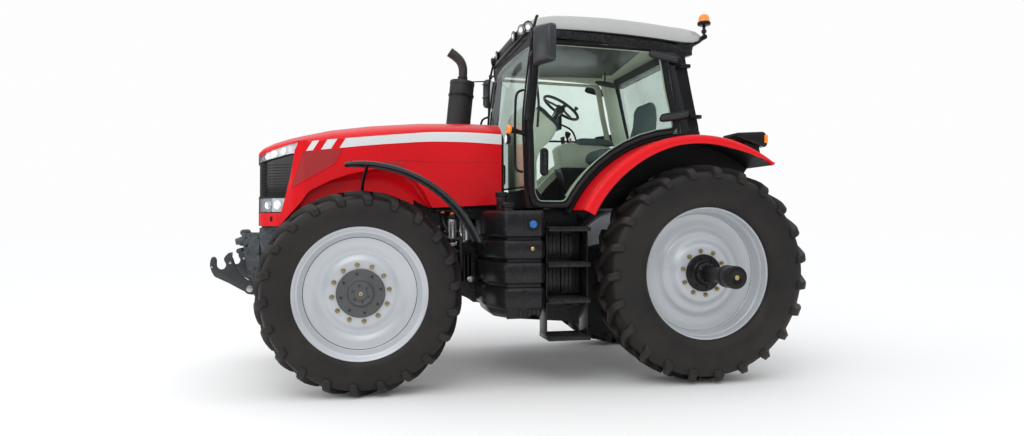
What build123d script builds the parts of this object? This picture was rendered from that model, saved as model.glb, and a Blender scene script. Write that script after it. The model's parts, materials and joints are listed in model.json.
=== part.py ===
from build123d import *
import math
import os

# Farm tractor with a four-post cab, front and rear linkage and a hinged bonnet.
# +X is forward, +Y is the driver's left, +Z is up and the tyres stand on Z = 0.
# Side outlines are points (ahead of the rear axle, height above the ground) in millimetres.

# Driving dimensions
WHEELBASE = 3100
FRONT_OVERHANG = 1312  # front axle to the tips of the front lift arms
REAR_REACH = 1500  # rear axle to the ends of the rear lower links
BAR_REACH = 1770  # centre line to the end of a rear axle bar

# Tyres and rims
REAR_TYRE_R = 1002
REAR_TYRE_W = 500
REAR_TYRE_Y = 1090
REAR_RIM_R = 630
FRONT_TYRE_R = 871
FRONT_TYRE_W = 440
FRONT_TYRE_Y = 980
REAR_LUGS = 23  # in each of the two rows
FRONT_LUGS = 22
REAR_LUG_H = 50
FRONT_LUG_H = 44
FRONT_RIM_R = 554
RIM_LIP = 26  # radial height of a rim flange above the bead seat
RIM_WALL = 14
REAR_RIM_W = 400
FRONT_RIM_W = 380
RIM_BEAD_GAP = 0.3  # tyre bead to rim seat
REAR_DISC_RECESS = 250
FRONT_DISC_RECESS = 110
DISC_WALL = 20
HUB_R = 180
FRONT_HUB_R = 185
AXLE_BAR_R = 55

# Steering
KINGPIN_Y = 725
KINGPIN_R = 28
KINGPIN_GAP = 1
KNUCKLE_R = 105
KNUCKLE_HALF_HEIGHT = 120
SPINDLE_R = 100
EAR_THICKNESS = 36
EAR_GAP = 12  # knuckle to the ears above and below it
STEER_ARM = 230
STEER_ARM_W = 56
TIE_ROD_R = 18
TIE_ROD_LIFT = 42  # tie rod centre above the axle centre
BALL_PIN_R = 14
EYE_GAP = 1

# Front fenders
FRONT_FENDER_R = 1115
FRONT_FENDER_WALL = 28
FRONT_FENDER_Y = (800, 1180)
FRONT_FENDER_ARC = (83, 157)  # degrees round the axle from straight ahead
FENDER_POST_R = 22
FENDER_POST_GAP = 9

# Bonnet
BONNET_REAR = 1765
BONNET_FLOOR = 1472
BONNET_WALL = 12
BONNET_HALF = 500
ARCH_R = 1000
RECESS_Y = 355
NOSE = WHEELBASE + 945
BONNET_HINGE = (1830, 2390)

# Cab
CAB_HALF = 900
POST_W = 70
POST_DEPTH = 80
CAB_FLOOR = 1640
FLOOR_WALL = 40
CAB_WALL = 40
CAB_INNER_HALF = 775
CAB_REAR = -100
DOOR_GAP = 6
DOOR_WALL = 34
DOOR_FRAME = 42
GLASS_WALL = 6
HINGE_LOW = (12, 2471)  # two points of the leaning hinge line
HINGE_TOP = (136, 3041)
HINGE_Y = CAB_HALF + DOOR_GAP + DOOR_WALL + 22
HINGE_PIN_R = 10
HINGE_PIN_GAP = 1
HINGE_BARREL_R = 21
HINGE_HALF = 28
HINGE_GAP = 6
HINGE_FOOT = 24
HINGE_REACH = 190
HINGE_HEIGHTS = (2520, 2990)

# Rear fenders
FENDER_CENTRE = (60, 1010)
REAR_FENDER_R = 1262
REAR_FENDER_WALL = 24
REAR_FENDER_LIP = 75
REAR_FENDER_Y = (CAB_INNER_HALF, 1270)
REAR_FENDER_ARC = (27, 126)
SILL_CLEARANCE = 42  # rear fender to the lower edge of the door

# Places along the tractor
REAR_AXLE_X = (REAR_REACH - WHEELBASE - FRONT_OVERHANG) / 2
REAR_AXLE_Z = REAR_TYRE_R
FRONT_AXLE_Z = FRONT_TYRE_R
SIDES = (("left", 1), ("right", -1))  # name, sign of Y


def at(ahead, y, z):
    """A point given ahead of the rear axle, to the left and above the ground."""
    return (REAR_AXLE_X + ahead, y, z)


def hinge_ahead(height):
    """Where the leaning door hinge line stands at this height, ahead of the rear axle."""
    share = (height - HINGE_LOW[1]) / (HINGE_TOP[1] - HINGE_LOW[1])
    return HINGE_LOW[0] + share * (HINGE_TOP[0] - HINGE_LOW[0])


def side_prism(outline, y_from, y_to, mode=Mode.ADD):
    """Extrude a side outline across the tractor between two Y places."""
    low, high = sorted((y_from, y_to))
    with BuildSketch(Plane(at(0, high, 0), x_dir=(1, 0, 0), z_dir=(0, -1, 0))) as profile:
        with BuildLine():
            Polyline(*outline, close=True)
        make_face()
    extrude(profile.sketch, amount=high - low, mode=mode)


def top_prism(outline, z_from, z_to, mode=Mode.ADD):
    """Extrude a plan outline, given as (ahead, y), between two heights."""
    with BuildSketch(Plane(at(0, 0, z_from))) as profile:
        with BuildLine():
            Polyline(*outline, close=True)
        make_face()
    extrude(profile.sketch, amount=z_to - z_from, mode=mode)


def block(ahead, y, z, mode=Mode.ADD):
    """Add a box given by its (low, high) pairs along each direction."""
    low_y, high_y = sorted(y)
    top_prism(
        [(ahead[0], low_y), (ahead[1], low_y), (ahead[1], high_y), (ahead[0], high_y)],
        z[0],
        z[1],
        mode,
    )


def rod(start, end, radius, mode=Mode.ADD):
    """Add a round bar between two points."""
    run = Vector(*end) - Vector(*start)
    with BuildSketch(Plane(origin=start, z_dir=run)) as section:
        Circle(radius)
    extrude(section.sketch, amount=run.length, mode=mode)


def cross_rod(ahead, z, y_from, y_to, radius, mode=Mode.ADD):
    """Add a round bar that runs across the tractor."""
    rod(at(ahead, y_from, z), at(ahead, y_to, z), radius, mode)


def post(ahead, y, z_from, z_to, radius, mode=Mode.ADD):
    """Add an upright round bar."""
    rod(at(ahead, y, z_from), at(ahead, y, z_to), radius, mode)


def ring_sector(centre, radii, arc, y_from, y_to, mode=Mode.ADD):
    """Add part of a ring round a crossways axis, its arc in degrees up from straight ahead."""
    low, high = sorted((y_from, y_to))
    start, end = (math.radians(a) for a in arc)
    middle = (start + end) / 2

    def on(radius, angle):
        """The point of the side view at this radius and angle."""
        return (centre[0] + radius * math.cos(angle), centre[1] + radius * math.sin(angle))

    outer, inner = max(radii), min(radii)
    with BuildSketch(Plane(at(0, high, 0), x_dir=(1, 0, 0), z_dir=(0, -1, 0))) as profile:
        with BuildLine():
            ThreePointArc(on(outer, start), on(outer, middle), on(outer, end))
            Line(on(outer, end), on(inner, end))
            ThreePointArc(on(inner, end), on(inner, middle), on(inner, start))
            Line(on(inner, start), on(outer, start))
        make_face()
    extrude(profile.sketch, amount=high - low, mode=mode)


def turned(profile, ahead, z, sign, mode=Mode.ADD):
    """Revolve (radius, distance from the centre line) points round a crossways axis."""
    with BuildSketch(Plane(at(ahead, 0, z), x_dir=(0, 0, 1), z_dir=(1, 0, 0))) as section:
        with BuildLine():
            Polyline(*((radius, -sign * y) for radius, y in profile), close=True)
        make_face()
    revolve(section.sketch, axis=Axis(at(ahead, 0, z), (0, 1, 0)), mode=mode)


def finish(part, name):
    """Label a finished piece and write its file."""
    part.label = name
    export_step(part, f"parts/{name}.step")


os.makedirs("parts", exist_ok=True)

# Engine, one heavy block with its sump, filters and side boxes
ENGINE_HALF = 300
SUMP_HALF = 215
ENGINE_REAR = 2150
ENGINE_FRONT = WHEELBASE + 150
ENGINE_WAIST = 1380  # above it the block is wide, below it the tyres swing in
ENGINE_TOP = 2120
SUMP_FLOOR = 965
with BuildPart() as engine_block:
    block((ENGINE_REAR, ENGINE_FRONT), (-ENGINE_HALF, ENGINE_HALF), (ENGINE_WAIST, ENGINE_TOP))
    block((ENGINE_REAR, ENGINE_FRONT), (-SUMP_HALF, SUMP_HALF), (SUMP_FLOOR, ENGINE_WAIST))
    for sign in (1, -1):
        block((ENGINE_REAR, ENGINE_REAR + 500), (sign * SUMP_HALF, sign * (RECESS_Y - 12)), (1400, 1560))
finish(engine_block.part, "engine_block")

# Rear linkage pivots, as (ahead, height)
LIFT_PIVOT = (-230, 1140)
LIFT_TIP = (-650, 1290)
LOWER_PIVOT = (-180, 700)
LOWER_BALL = (-REAR_REACH + 45, 560)
LINK_SHARE = 0.47  # of the lower link, from its pivot to the lift rod
TOP_PIVOT = (-390, 1012)
TOP_LINK = 820
TOP_LINK_REST = 115  # degrees up from straight ahead
SHAFT_R = 35
LOWER_PIN_R = 18
TOP_PIN_R = 16
PIN_GAP = 1

# Backbone casting with the rear axle housings and the cab mounts
BACKBONE_HALF = 230
BACKBONE_OUTLINE = (
    (-330, 640),
    (-330, 1240),
    (500, 1240),
    (900, 1150),
    (ENGINE_REAR, 1300),
    (ENGINE_REAR, 760),
    (1540, 500),
    (900, 450),
    (200, 560),
)
HOUSING_R = 190
HOUSING_END_R = 150
HOUSING_END = 930
CAB_MOUNT_Y = 560
CAB_MOUNTS = (150, 1420)  # ahead of the rear axle
CAB_MOUNT_TOP = 1440
with BuildPart() as backbone:
    side_prism(BACKBONE_OUTLINE, -BACKBONE_HALF, BACKBONE_HALF)
    for name, sign in SIDES:
        turned(
            (
                (0, 0),
                (HOUSING_R + 40, 0),
                (HOUSING_R + 40, BACKBONE_HALF + 3),
                (HOUSING_R, BACKBONE_HALF + 3),
                (HOUSING_END_R, HOUSING_END),
                (0, HOUSING_END),
            ),
            0,
            REAR_AXLE_Z,
            sign,
        )
        for mount_ahead in CAB_MOUNTS:
            block(
                (mount_ahead - 70, mount_ahead + 70),
                (sign * (BACKBONE_HALF - 40), sign * (CAB_MOUNT_Y + 60)),
                (1060, 1130),
            )
            block(
                (mount_ahead - 70, mount_ahead + 70),
                (sign * (CAB_MOUNT_Y - 60), sign * (CAB_MOUNT_Y + 60)),
                (1060, CAB_MOUNT_TOP),
            )
    block((-460, -330), (-110, 110), (860, 874))
    for ear_y in (-44, 44):
        block((-430, -330), (ear_y - 14, ear_y + 14), (960, 1065))
    cross_rod(TOP_PIVOT[0], TOP_PIVOT[1], -58, 58, TOP_PIN_R)
    cross_rod(LIFT_PIVOT[0], LIFT_PIVOT[1], -BACKBONE_HALF - 5, BACKBONE_HALF + 5, SHAFT_R + PIN_GAP, Mode.SUBTRACT)
    for name, sign in SIDES:
        cross_rod(LOWER_PIVOT[0], LOWER_PIVOT[1], 0, sign * (BACKBONE_HALF + 48), LOWER_PIN_R)
finish(backbone.part, "backbone")

# Front frame from the engine to the nose
FRONT_PIVOT = (WHEELBASE + 970, 870)  # of the front lift arms
FRONT_PIVOT_R = 35
FRONT_TOP_BORE_R = 12.9
FRAME_HALF = 200
FRAME_BOTTOM = 1000
FRAME_TOP = 1330
with BuildPart() as front_frame:
    side_prism(
        (
            (ENGINE_FRONT, FRAME_BOTTOM),
            (WHEELBASE + 860, FRAME_BOTTOM),
            (WHEELBASE + 919, 1290),
            (WHEELBASE + 919, 1417),
            (WHEELBASE + 770, 1417),
            (WHEELBASE + 700, FRAME_TOP),
            (ENGINE_FRONT, FRAME_TOP),
        ),
        -FRAME_HALF,
        FRAME_HALF,
    )
    cross_rod(FRONT_PIVOT[0], FRONT_PIVOT[1], -FRAME_HALF - 5, FRAME_HALF + 5, FRONT_PIVOT_R + PIN_GAP, Mode.SUBTRACT)
finish(front_frame.part, "front_frame")

# Front axle beam, yoke ears and pivot cradle
BEAM_HALF_HEIGHT = 70
BEAM_HALF_DEPTH = 80
YOKE_Y = KINGPIN_Y - KNUCKLE_R - 20
EAR_REACH = KINGPIN_Y + 62
EAR_LOW = KNUCKLE_HALF_HEIGHT + EAR_GAP
with BuildPart() as front_axle_beam:
    block(
        (WHEELBASE - BEAM_HALF_DEPTH, WHEELBASE + BEAM_HALF_DEPTH),
        (-YOKE_Y, YOKE_Y),
        (FRONT_AXLE_Z - BEAM_HALF_HEIGHT, FRONT_AXLE_Z + BEAM_HALF_HEIGHT),
    )
    block(
        (WHEELBASE - BEAM_HALF_DEPTH, WHEELBASE + BEAM_HALF_DEPTH),
        (-FRAME_HALF + 20, FRAME_HALF - 20),
        (FRONT_AXLE_Z + BEAM_HALF_HEIGHT, SUMP_FLOOR),
    )
    for name, sign in SIDES:
        block(
            (WHEELBASE - BEAM_HALF_DEPTH, WHEELBASE + BEAM_HALF_DEPTH),
            (sign * (YOKE_Y - 60), sign * YOKE_Y),
            (FRONT_AXLE_Z - EAR_LOW - EAR_THICKNESS, FRONT_AXLE_Z + EAR_LOW + EAR_THICKNESS),
        )
        for up in (1, -1):
            ear_z = sorted((FRONT_AXLE_Z + up * EAR_LOW, FRONT_AXLE_Z + up * (EAR_LOW + EAR_THICKNESS)))
            block(
                (WHEELBASE - BEAM_HALF_DEPTH + 10, WHEELBASE + BEAM_HALF_DEPTH - 10),
                (sign * (YOKE_Y - 10), sign * EAR_REACH),
                ear_z,
            )
            post(
                WHEELBASE,
                sign * KINGPIN_Y,
                ear_z[0],
                ear_z[1],
                KINGPIN_R + KINGPIN_GAP,
                Mode.SUBTRACT,
            )
finish(front_axle_beam.part, "front_axle_beam")

# Steering knuckles with their kingpins, spindles and steering arms
SPINDLE_END = 930
ARM_TOP = FRONT_AXLE_Z + 20
for name, sign in SIDES:
    with BuildPart() as knuckle:
        post(
            WHEELBASE,
            sign * KINGPIN_Y,
            FRONT_AXLE_Z - KNUCKLE_HALF_HEIGHT,
            FRONT_AXLE_Z + KNUCKLE_HALF_HEIGHT,
            KNUCKLE_R,
        )
        post(
            WHEELBASE,
            sign * KINGPIN_Y,
            FRONT_AXLE_Z - EAR_LOW - EAR_THICKNESS,
            FRONT_AXLE_Z + EAR_LOW + EAR_THICKNESS,
            KINGPIN_R,
        )
        cross_rod(WHEELBASE, FRONT_AXLE_Z, sign * KINGPIN_Y, sign * SPINDLE_END, SPINDLE_R)
        block(
            (WHEELBASE - STEER_ARM, WHEELBASE),
            (sign * KINGPIN_Y - STEER_ARM_W / 2, sign * KINGPIN_Y + STEER_ARM_W / 2),
            (FRONT_AXLE_Z - 20, ARM_TOP),
        )
        post(
            WHEELBASE - STEER_ARM,
            sign * KINGPIN_Y,
            FRONT_AXLE_Z - 20,
            FRONT_AXLE_Z + TIE_ROD_LIFT + TIE_ROD_R,
            BALL_PIN_R,
        )
    finish(knuckle.part, f"knuckle_{name}")

# Tie rod with an eye over each steering arm's pin
EYE_R = 30
with BuildPart() as tie_rod:
    cross_rod(
        WHEELBASE - STEER_ARM,
        FRONT_AXLE_Z + TIE_ROD_LIFT,
        -KINGPIN_Y,
        KINGPIN_Y,
        TIE_ROD_R,
    )
    for name, sign in SIDES:
        post(
            WHEELBASE - STEER_ARM,
            sign * KINGPIN_Y,
            FRONT_AXLE_Z + TIE_ROD_LIFT - TIE_ROD_R + 1,
            FRONT_AXLE_Z + TIE_ROD_LIFT + TIE_ROD_R + 4,
            EYE_R,
        )
    for name, sign in SIDES:
        post(
            WHEELBASE - STEER_ARM,
            sign * KINGPIN_Y,
            FRONT_AXLE_Z,
            FRONT_AXLE_Z + 2 * TIE_ROD_LIFT,
            BALL_PIN_R + EYE_GAP,
            Mode.SUBTRACT,
        )
finish(tie_rod.part, "tie_rod")

# Tyres, faceted rings with two staggered rows of lugs; left and right are mirror images
WHEEL_ROWS = (
    # name, ahead, tyre radius, tyre width, middle Y, rim radius, rim width, lugs in a row, lug height
    ("rear", 0, REAR_TYRE_R, REAR_TYRE_W, REAR_TYRE_Y, REAR_RIM_R, REAR_RIM_W, REAR_LUGS, REAR_LUG_H),
    ("front", WHEELBASE, FRONT_TYRE_R, FRONT_TYRE_W, FRONT_TYRE_Y, FRONT_RIM_R, FRONT_RIM_W, FRONT_LUGS, FRONT_LUG_H),
)
TYRE_SHOULDER = (60, 0.96)  # below the crown, share of the half width
TYRE_CROWN_SHARE = 0.68
BEAD_PROUD = 1
LUG_STATIONS = (
    # sweep ahead of the lug's place, share of the tyre's half width, drop of its top
    (112, -0.1, 0),
    (-58, 0.96, 26),
)
LUG_SECTION = (
    # along the tread, below the lug's top
    (-44, 100),
    (-26, 0),
    (26, 0),
    (44, 100),
)
LUG_LEAD = LUG_STATIONS[0][0] + LUG_SECTION[2][0]  # how far ahead the leading corner reaches


def facet_ring(radius, count, ahead, y, height):
    """A regular outline round a crossways axis, one corner straight down."""
    with BuildSketch(Plane(at(ahead, y, height), x_dir=(0, 0, -1), z_dir=(0, 1, 0))) as ring:
        RegularPolygon(radius, count)
    return ring.sketch


def lug_bar(turn, row, ahead, tyre_r, middle, half):
    """One lug on the outer (1) or inner (-1) row, turned ahead from the top of the tyre."""
    up = Vector(math.sin(turn), 0, math.cos(turn))
    onward = Vector(math.cos(turn), 0, -math.sin(turn))
    top = math.sqrt(tyre_r**2 - LUG_LEAD**2)
    ends = []
    for sweep, share, drop in LUG_STATIONS:
        outline = [(sweep + step, top - drop - depth) for step, depth in LUG_SECTION]
        centre = at(ahead, middle + row * share * half, tyre_r)
        with BuildSketch(Plane(centre, x_dir=onward, z_dir=onward.cross(up))) as end:
            with BuildLine():
                Polyline(*outline, close=True)
            make_face()
        ends.append(end.sketch)
    with BuildPart() as bar:
        loft(ends, ruled=True)
    return bar.part


for axle, ahead, tyre_r, tyre_w, middle, rim_r, rim_w, lugs, lug_h in WHEEL_ROWS:
    bead = rim_w / 2 - RIM_WALL - RIM_BEAD_GAP
    facet = 1 / math.cos(math.pi / lugs)  # from a facet's middle to its corner
    half = tyre_w / 2
    crown = tyre_r - lug_h
    profile = (
        # radius, offset from the tyre's middle
        (rim_r * facet + BEAD_PROUD, bead),
        ((rim_r + crown) / 2, half),
        (crown - TYRE_SHOULDER[0], half * TYRE_SHOULDER[1]),
        (crown, half * TYRE_CROWN_SHARE),
    )
    rings = [facet_ring(radius, lugs, ahead, middle - out, tyre_r) for radius, out in profile]
    rings += [facet_ring(radius, lugs, ahead, middle + out, tyre_r) for radius, out in reversed(profile)]
    bars = [
        lug_bar(2 * math.pi * (place + stagger) / lugs, row, ahead, tyre_r, middle, half)
        for row, stagger in ((1, 0), (-1, 0.5))
        for place in range(lugs)
    ]
    seat = facet_ring((rim_r - RIM_LIP + RIM_BEAD_GAP) * facet, lugs, ahead, middle - tyre_w, tyre_r)
    with BuildPart() as tyre:
        loft(rings, ruled=True)
        add(bars)
        extrude(seat, amount=tyre_w * 2, mode=Mode.SUBTRACT)
    finish(tyre.part, f"{axle}_tyre_left")
    with BuildPart() as tyre_right:
        add(mirror(tyre.part, about=Plane.XZ, mode=Mode.PRIVATE))
    finish(tyre_right.part, f"{axle}_tyre_right")

# Rear rims with disc, hub and the bar that they clamp on
for name, sign in SIDES:
    outer = REAR_TYRE_Y + REAR_RIM_W / 2
    inner = REAR_TYRE_Y - REAR_RIM_W / 2
    seat_r = REAR_RIM_R - RIM_LIP
    disc = outer - REAR_DISC_RECESS
    hub_face = outer - 33
    with BuildPart() as rear_rim:
        turned(
            (
                (REAR_RIM_R, outer),
                (REAR_RIM_R, outer - RIM_WALL),
                (seat_r, outer - RIM_WALL),
                (seat_r, inner + RIM_WALL),
                (REAR_RIM_R, inner + RIM_WALL),
                (REAR_RIM_R, inner),
                (seat_r - RIM_WALL, inner),
                (seat_r - RIM_WALL, disc - DISC_WALL),
                (HUB_R, disc - DISC_WALL),
                (HUB_R, HOUSING_END + 50),
                (AXLE_BAR_R, HOUSING_END + 50),
                (AXLE_BAR_R, HOUSING_END + 5),
                (0, HOUSING_END + 5),
                (0, BAR_REACH),
                (AXLE_BAR_R, BAR_REACH),
                (AXLE_BAR_R, hub_face),
                (HUB_R + 60, hub_face),
                (HUB_R + 130, disc),
                (seat_r - RIM_WALL - 30, disc),
                (seat_r - RIM_WALL, outer - 60),
                (seat_r - RIM_WALL, outer),
            ),
            0,
            REAR_AXLE_Z,
            sign,
        )
    finish(rear_rim.part, f"rear_rim_{name}")

# Front rims with disc and planetary hub
for name, sign in SIDES:
    outer = FRONT_TYRE_Y + FRONT_RIM_W / 2
    inner = FRONT_TYRE_Y - FRONT_RIM_W / 2
    seat_r = FRONT_RIM_R - RIM_LIP
    disc = outer - FRONT_DISC_RECESS
    with BuildPart() as front_rim:
        turned(
            (
                (FRONT_RIM_R, outer),
                (FRONT_RIM_R, outer - RIM_WALL),
                (seat_r, outer - RIM_WALL),
                (seat_r, inner + RIM_WALL),
                (FRONT_RIM_R, inner + RIM_WALL),
                (FRONT_RIM_R, inner),
                (seat_r - RIM_WALL, inner),
                (seat_r - RIM_WALL, disc - DISC_WALL),
                (FRONT_HUB_R, disc - DISC_WALL),
                (FRONT_HUB_R, SPINDLE_END + 8),
                (0, SPINDLE_END + 8),
                (0, outer - 15),
                (90, outer - 15),
                (FRONT_HUB_R + 20, outer - 45),
                (FRONT_HUB_R + 60, disc),
                (seat_r - RIM_WALL - 30, disc),
                (seat_r - RIM_WALL, outer - 40),
                (seat_r - RIM_WALL, outer),
            ),
            WHEELBASE,
            FRONT_AXLE_Z,
            sign,
        )
    finish(front_rim.part, f"front_rim_{name}")

# Front fenders, each on a post that turns about the kingpin
POST_FOOT = FRONT_AXLE_Z + EAR_LOW + EAR_THICKNESS + FENDER_POST_GAP
FENDER_UNDERSIDE = FRONT_AXLE_Z + FRONT_FENDER_R - FRONT_FENDER_WALL
for name, sign in SIDES:
    with BuildPart() as front_fender:
        ring_sector(
            (WHEELBASE, FRONT_AXLE_Z),
            (FRONT_FENDER_R, FRONT_FENDER_R - FRONT_FENDER_WALL),
            FRONT_FENDER_ARC,
            sign * FRONT_FENDER_Y[0],
            sign * FRONT_FENDER_Y[1],
        )
        post(WHEELBASE, sign * KINGPIN_Y, POST_FOOT, FENDER_UNDERSIDE - 5, FENDER_POST_R)
        block(
            (WHEELBASE - 60, WHEELBASE + 30),
            (sign * (KINGPIN_Y - FENDER_POST_R), sign * (FRONT_FENDER_Y[1] - 120)),
            (FENDER_UNDERSIDE - 50, FENDER_UNDERSIDE),
        )
    finish(front_fender.part, f"front_fender_{name}")

# Bonnet: a shell between two closed outlines, the inner one drawn in by the wall
BONNET_SECTIONS = (
    # ahead, crown height, shoulder height, half width
    (BONNET_REAR, 2452, 2311, BONNET_HALF),
    (2400, 2460, 2320, BONNET_HALF),
    (WHEELBASE - 100, 2414, 2250, BONNET_HALF - 5),
    (WHEELBASE + 300, 2364, 2212, BONNET_HALF - 12),
    (WHEELBASE + 600, 2300, 2180, BONNET_HALF - 20),
    (NOSE + 10, 2140, 2085, BONNET_HALF - 60),
)


def bonnet_body(inset, floor):
    """The bonnet's outside as one solid, drawn in by inset on its top, sides and nose."""
    with BuildPart() as body:
        for ahead, crown, shoulder, half in BONNET_SECTIONS:
            half_in = half - inset
            rise = crown - shoulder
            right = [
                (half_in, floor),
                (half_in, shoulder - inset / 2),
                (half_in * 0.88, shoulder + rise * 0.5 - inset),
                (half_in * 0.55, shoulder + rise * 0.88 - inset),
                (0, crown - inset),
            ]
            left = [(-y, z) for y, z in reversed(right[:-1])]
            with BuildSketch(Plane(at(ahead, 0, 0), x_dir=(0, 1, 0), z_dir=(1, 0, 0))):
                with BuildLine():
                    Polyline(*right, *left, close=True)
                make_face()
        loft(ruled=True)
        with BuildSketch(Plane(at(0, 0, floor - 10))) as plan:
            with BuildLine():
                Polyline(
                    (NOSE - 90, -280),
                    (NOSE - 425, -BONNET_HALF + 10),
                    (WHEELBASE - 100, -BONNET_HALF),
                    (BONNET_REAR - inset, -BONNET_HALF),
                    (BONNET_REAR - inset, BONNET_HALF),
                    (WHEELBASE - 100, BONNET_HALF),
                    (NOSE - 425, BONNET_HALF - 10),
                    (NOSE - 90, 280),
                )
                ThreePointArc((NOSE - 90, 280), (NOSE, 0), (NOSE - 90, -280))
            make_face()
            if inset:
                offset(amount=-inset)
        extrude(plan.sketch, amount=BONNET_HALF * 3, mode=Mode.INTERSECT)
    return body.part


BONNET_SKIRT = ((BONNET_REAR - 200, 1200), (BONNET_REAR - 200, 1640), (2440, 1604), (2440, 1200))
GRILLE_ZONE = ((NOSE - 375, 2055), (NOSE - 234, 1510), (NOSE + 100, 1510), (NOSE + 100, 2010))
LAMP_ZONE = ((NOSE - 398, 2205), (NOSE - 340, 2078), (NOSE + 100, 2026), (NOSE + 100, 2085))
CORE_DROP = 60  # the core reaches this far below the bonnet, which leaves it open
ARCH_FLOOR_ARC = (35, 142)
LINER_PROUD = 4  # the arch lining stands out of the cut by this
BONNET_PIN_R = 12
BONNET_LUG_HALF = 20
BONNET_LUG_Y = (235, 265)
BONNET_LUG_TOP = 2430  # within the top skin's thickness
with BuildPart() as bonnet_liner:
    for name, sign in SIDES:
        ring_sector(
            (WHEELBASE, FRONT_AXLE_Z),
            (ARCH_R - LINER_PROUD, ARCH_R + BONNET_WALL),
            ARCH_FLOOR_ARC,
            sign * (RECESS_Y - LINER_PROUD),
            sign * (BONNET_HALF + 20),
        )
        side_prism(
            (
                (BONNET_REAR + 600, BONNET_FLOOR - CORE_DROP),
                (BONNET_REAR + 600, 1604),
                (2600, 1765),
                (WHEELBASE, FRONT_AXLE_Z + ARCH_R + BONNET_WALL / 2),
                (WHEELBASE + 700, 1600),
                (WHEELBASE + 780, BONNET_FLOOR - CORE_DROP),
            ),
            sign * (RECESS_Y - LINER_PROUD),
            sign * (RECESS_Y + BONNET_WALL),
        )
    add(bonnet_body(BONNET_WALL / 2, BONNET_FLOOR), mode=Mode.INTERSECT)
with BuildPart() as bonnet:
    add(bonnet_body(0, BONNET_FLOOR))
    add(bonnet_body(BONNET_WALL, BONNET_FLOOR - CORE_DROP), mode=Mode.SUBTRACT)
    for name, sign in SIDES:
        cross_rod(
            WHEELBASE,
            FRONT_AXLE_Z,
            sign * RECESS_Y,
            sign * (BONNET_HALF + 20),
            ARCH_R,
            Mode.SUBTRACT,
        )
    add(bonnet_liner.part)
    side_prism(BONNET_SKIRT, -BONNET_HALF - 10, BONNET_HALF + 10, Mode.SUBTRACT)
    side_prism(GRILLE_ZONE, -BONNET_HALF - 10, BONNET_HALF + 10, Mode.SUBTRACT)
    side_prism(LAMP_ZONE, -BONNET_HALF - 10, BONNET_HALF + 10, Mode.SUBTRACT)
    for name, sign in SIDES:
        block(
            (BONNET_HINGE[0] - BONNET_LUG_HALF, BONNET_HINGE[0] + BONNET_LUG_HALF),
            (sign * BONNET_LUG_Y[0], sign * BONNET_LUG_Y[1]),
            (BONNET_HINGE[1] - BONNET_LUG_HALF, BONNET_LUG_TOP),
        )
        cross_rod(
            *BONNET_HINGE,
            sign * (BONNET_LUG_Y[0] - BONNET_PIN_R),
            sign * (BONNET_LUG_Y[1] + BONNET_PIN_R),
            BONNET_PIN_R,
        )
finish(bonnet.part, "bonnet")

# Grille and headlamps, let into the nose behind the bonnet's outer face
GRILLE_INSET = 16
GRILLE_WALL = 24
LAMP_INSET = 4
LAMP_DEPTH = 60
with BuildPart() as bonnet_grille:
    add(bonnet_body(GRILLE_INSET, BONNET_FLOOR))
    add(bonnet_body(GRILLE_INSET + GRILLE_WALL, BONNET_FLOOR - CORE_DROP), mode=Mode.SUBTRACT)
    side_prism(GRILLE_ZONE, -BONNET_HALF, BONNET_HALF, Mode.INTERSECT)
finish(bonnet_grille.part, "bonnet_grille")
with BuildPart() as headlamps:
    add(bonnet_body(LAMP_INSET, BONNET_FLOOR))
    add(bonnet_body(LAMP_INSET + LAMP_DEPTH, BONNET_FLOOR - CORE_DROP), mode=Mode.SUBTRACT)
    side_prism(LAMP_ZONE, -BONNET_HALF, BONNET_HALF, Mode.INTERSECT)
finish(headlamps.part, "headlamps")

# Exhaust canister on the right, with its foot and tail pipe
EXHAUST_R = 140
EXHAUST_Y = -700
EXHAUST_FOOT = (2080, 1900)
EXHAUST_ELBOW = (2070, 1570)
ELBOW_R = 50
EXHAUST_SHOULDER = (1965, 3050)
TAIL_R = 48
TAIL_POINTS = ((1965, 3000), (1955, 3180), (2090, 3360))
TAIL_BEND = 150
with BuildPart() as exhaust_stack:
    rod(at(EXHAUST_FOOT[0], EXHAUST_Y, EXHAUST_FOOT[1]), at(EXHAUST_SHOULDER[0], EXHAUST_Y, EXHAUST_SHOULDER[1]), EXHAUST_R)
    elbow = at(EXHAUST_ELBOW[0], EXHAUST_Y, EXHAUST_ELBOW[1])
    rod(at(EXHAUST_FOOT[0], EXHAUST_Y, EXHAUST_FOOT[1] + 20), elbow, ELBOW_R)
    rod(elbow, at(2200, -RECESS_Y - 30, 1490), ELBOW_R)
    with Locations(elbow):
        Sphere(ELBOW_R)
    with BuildLine() as tail_run:
        FilletPolyline(*(at(ahead, EXHAUST_Y, z) for ahead, z in TAIL_POINTS), radius=TAIL_BEND)
    with BuildSketch(Plane(origin=tail_run.line @ 0, z_dir=tail_run.line % 0)) as tail_section:
        Circle(TAIL_R)
    sweep(tail_section.sketch, path=tail_run.line)
finish(exhaust_stack.part, "exhaust_stack")

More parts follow.
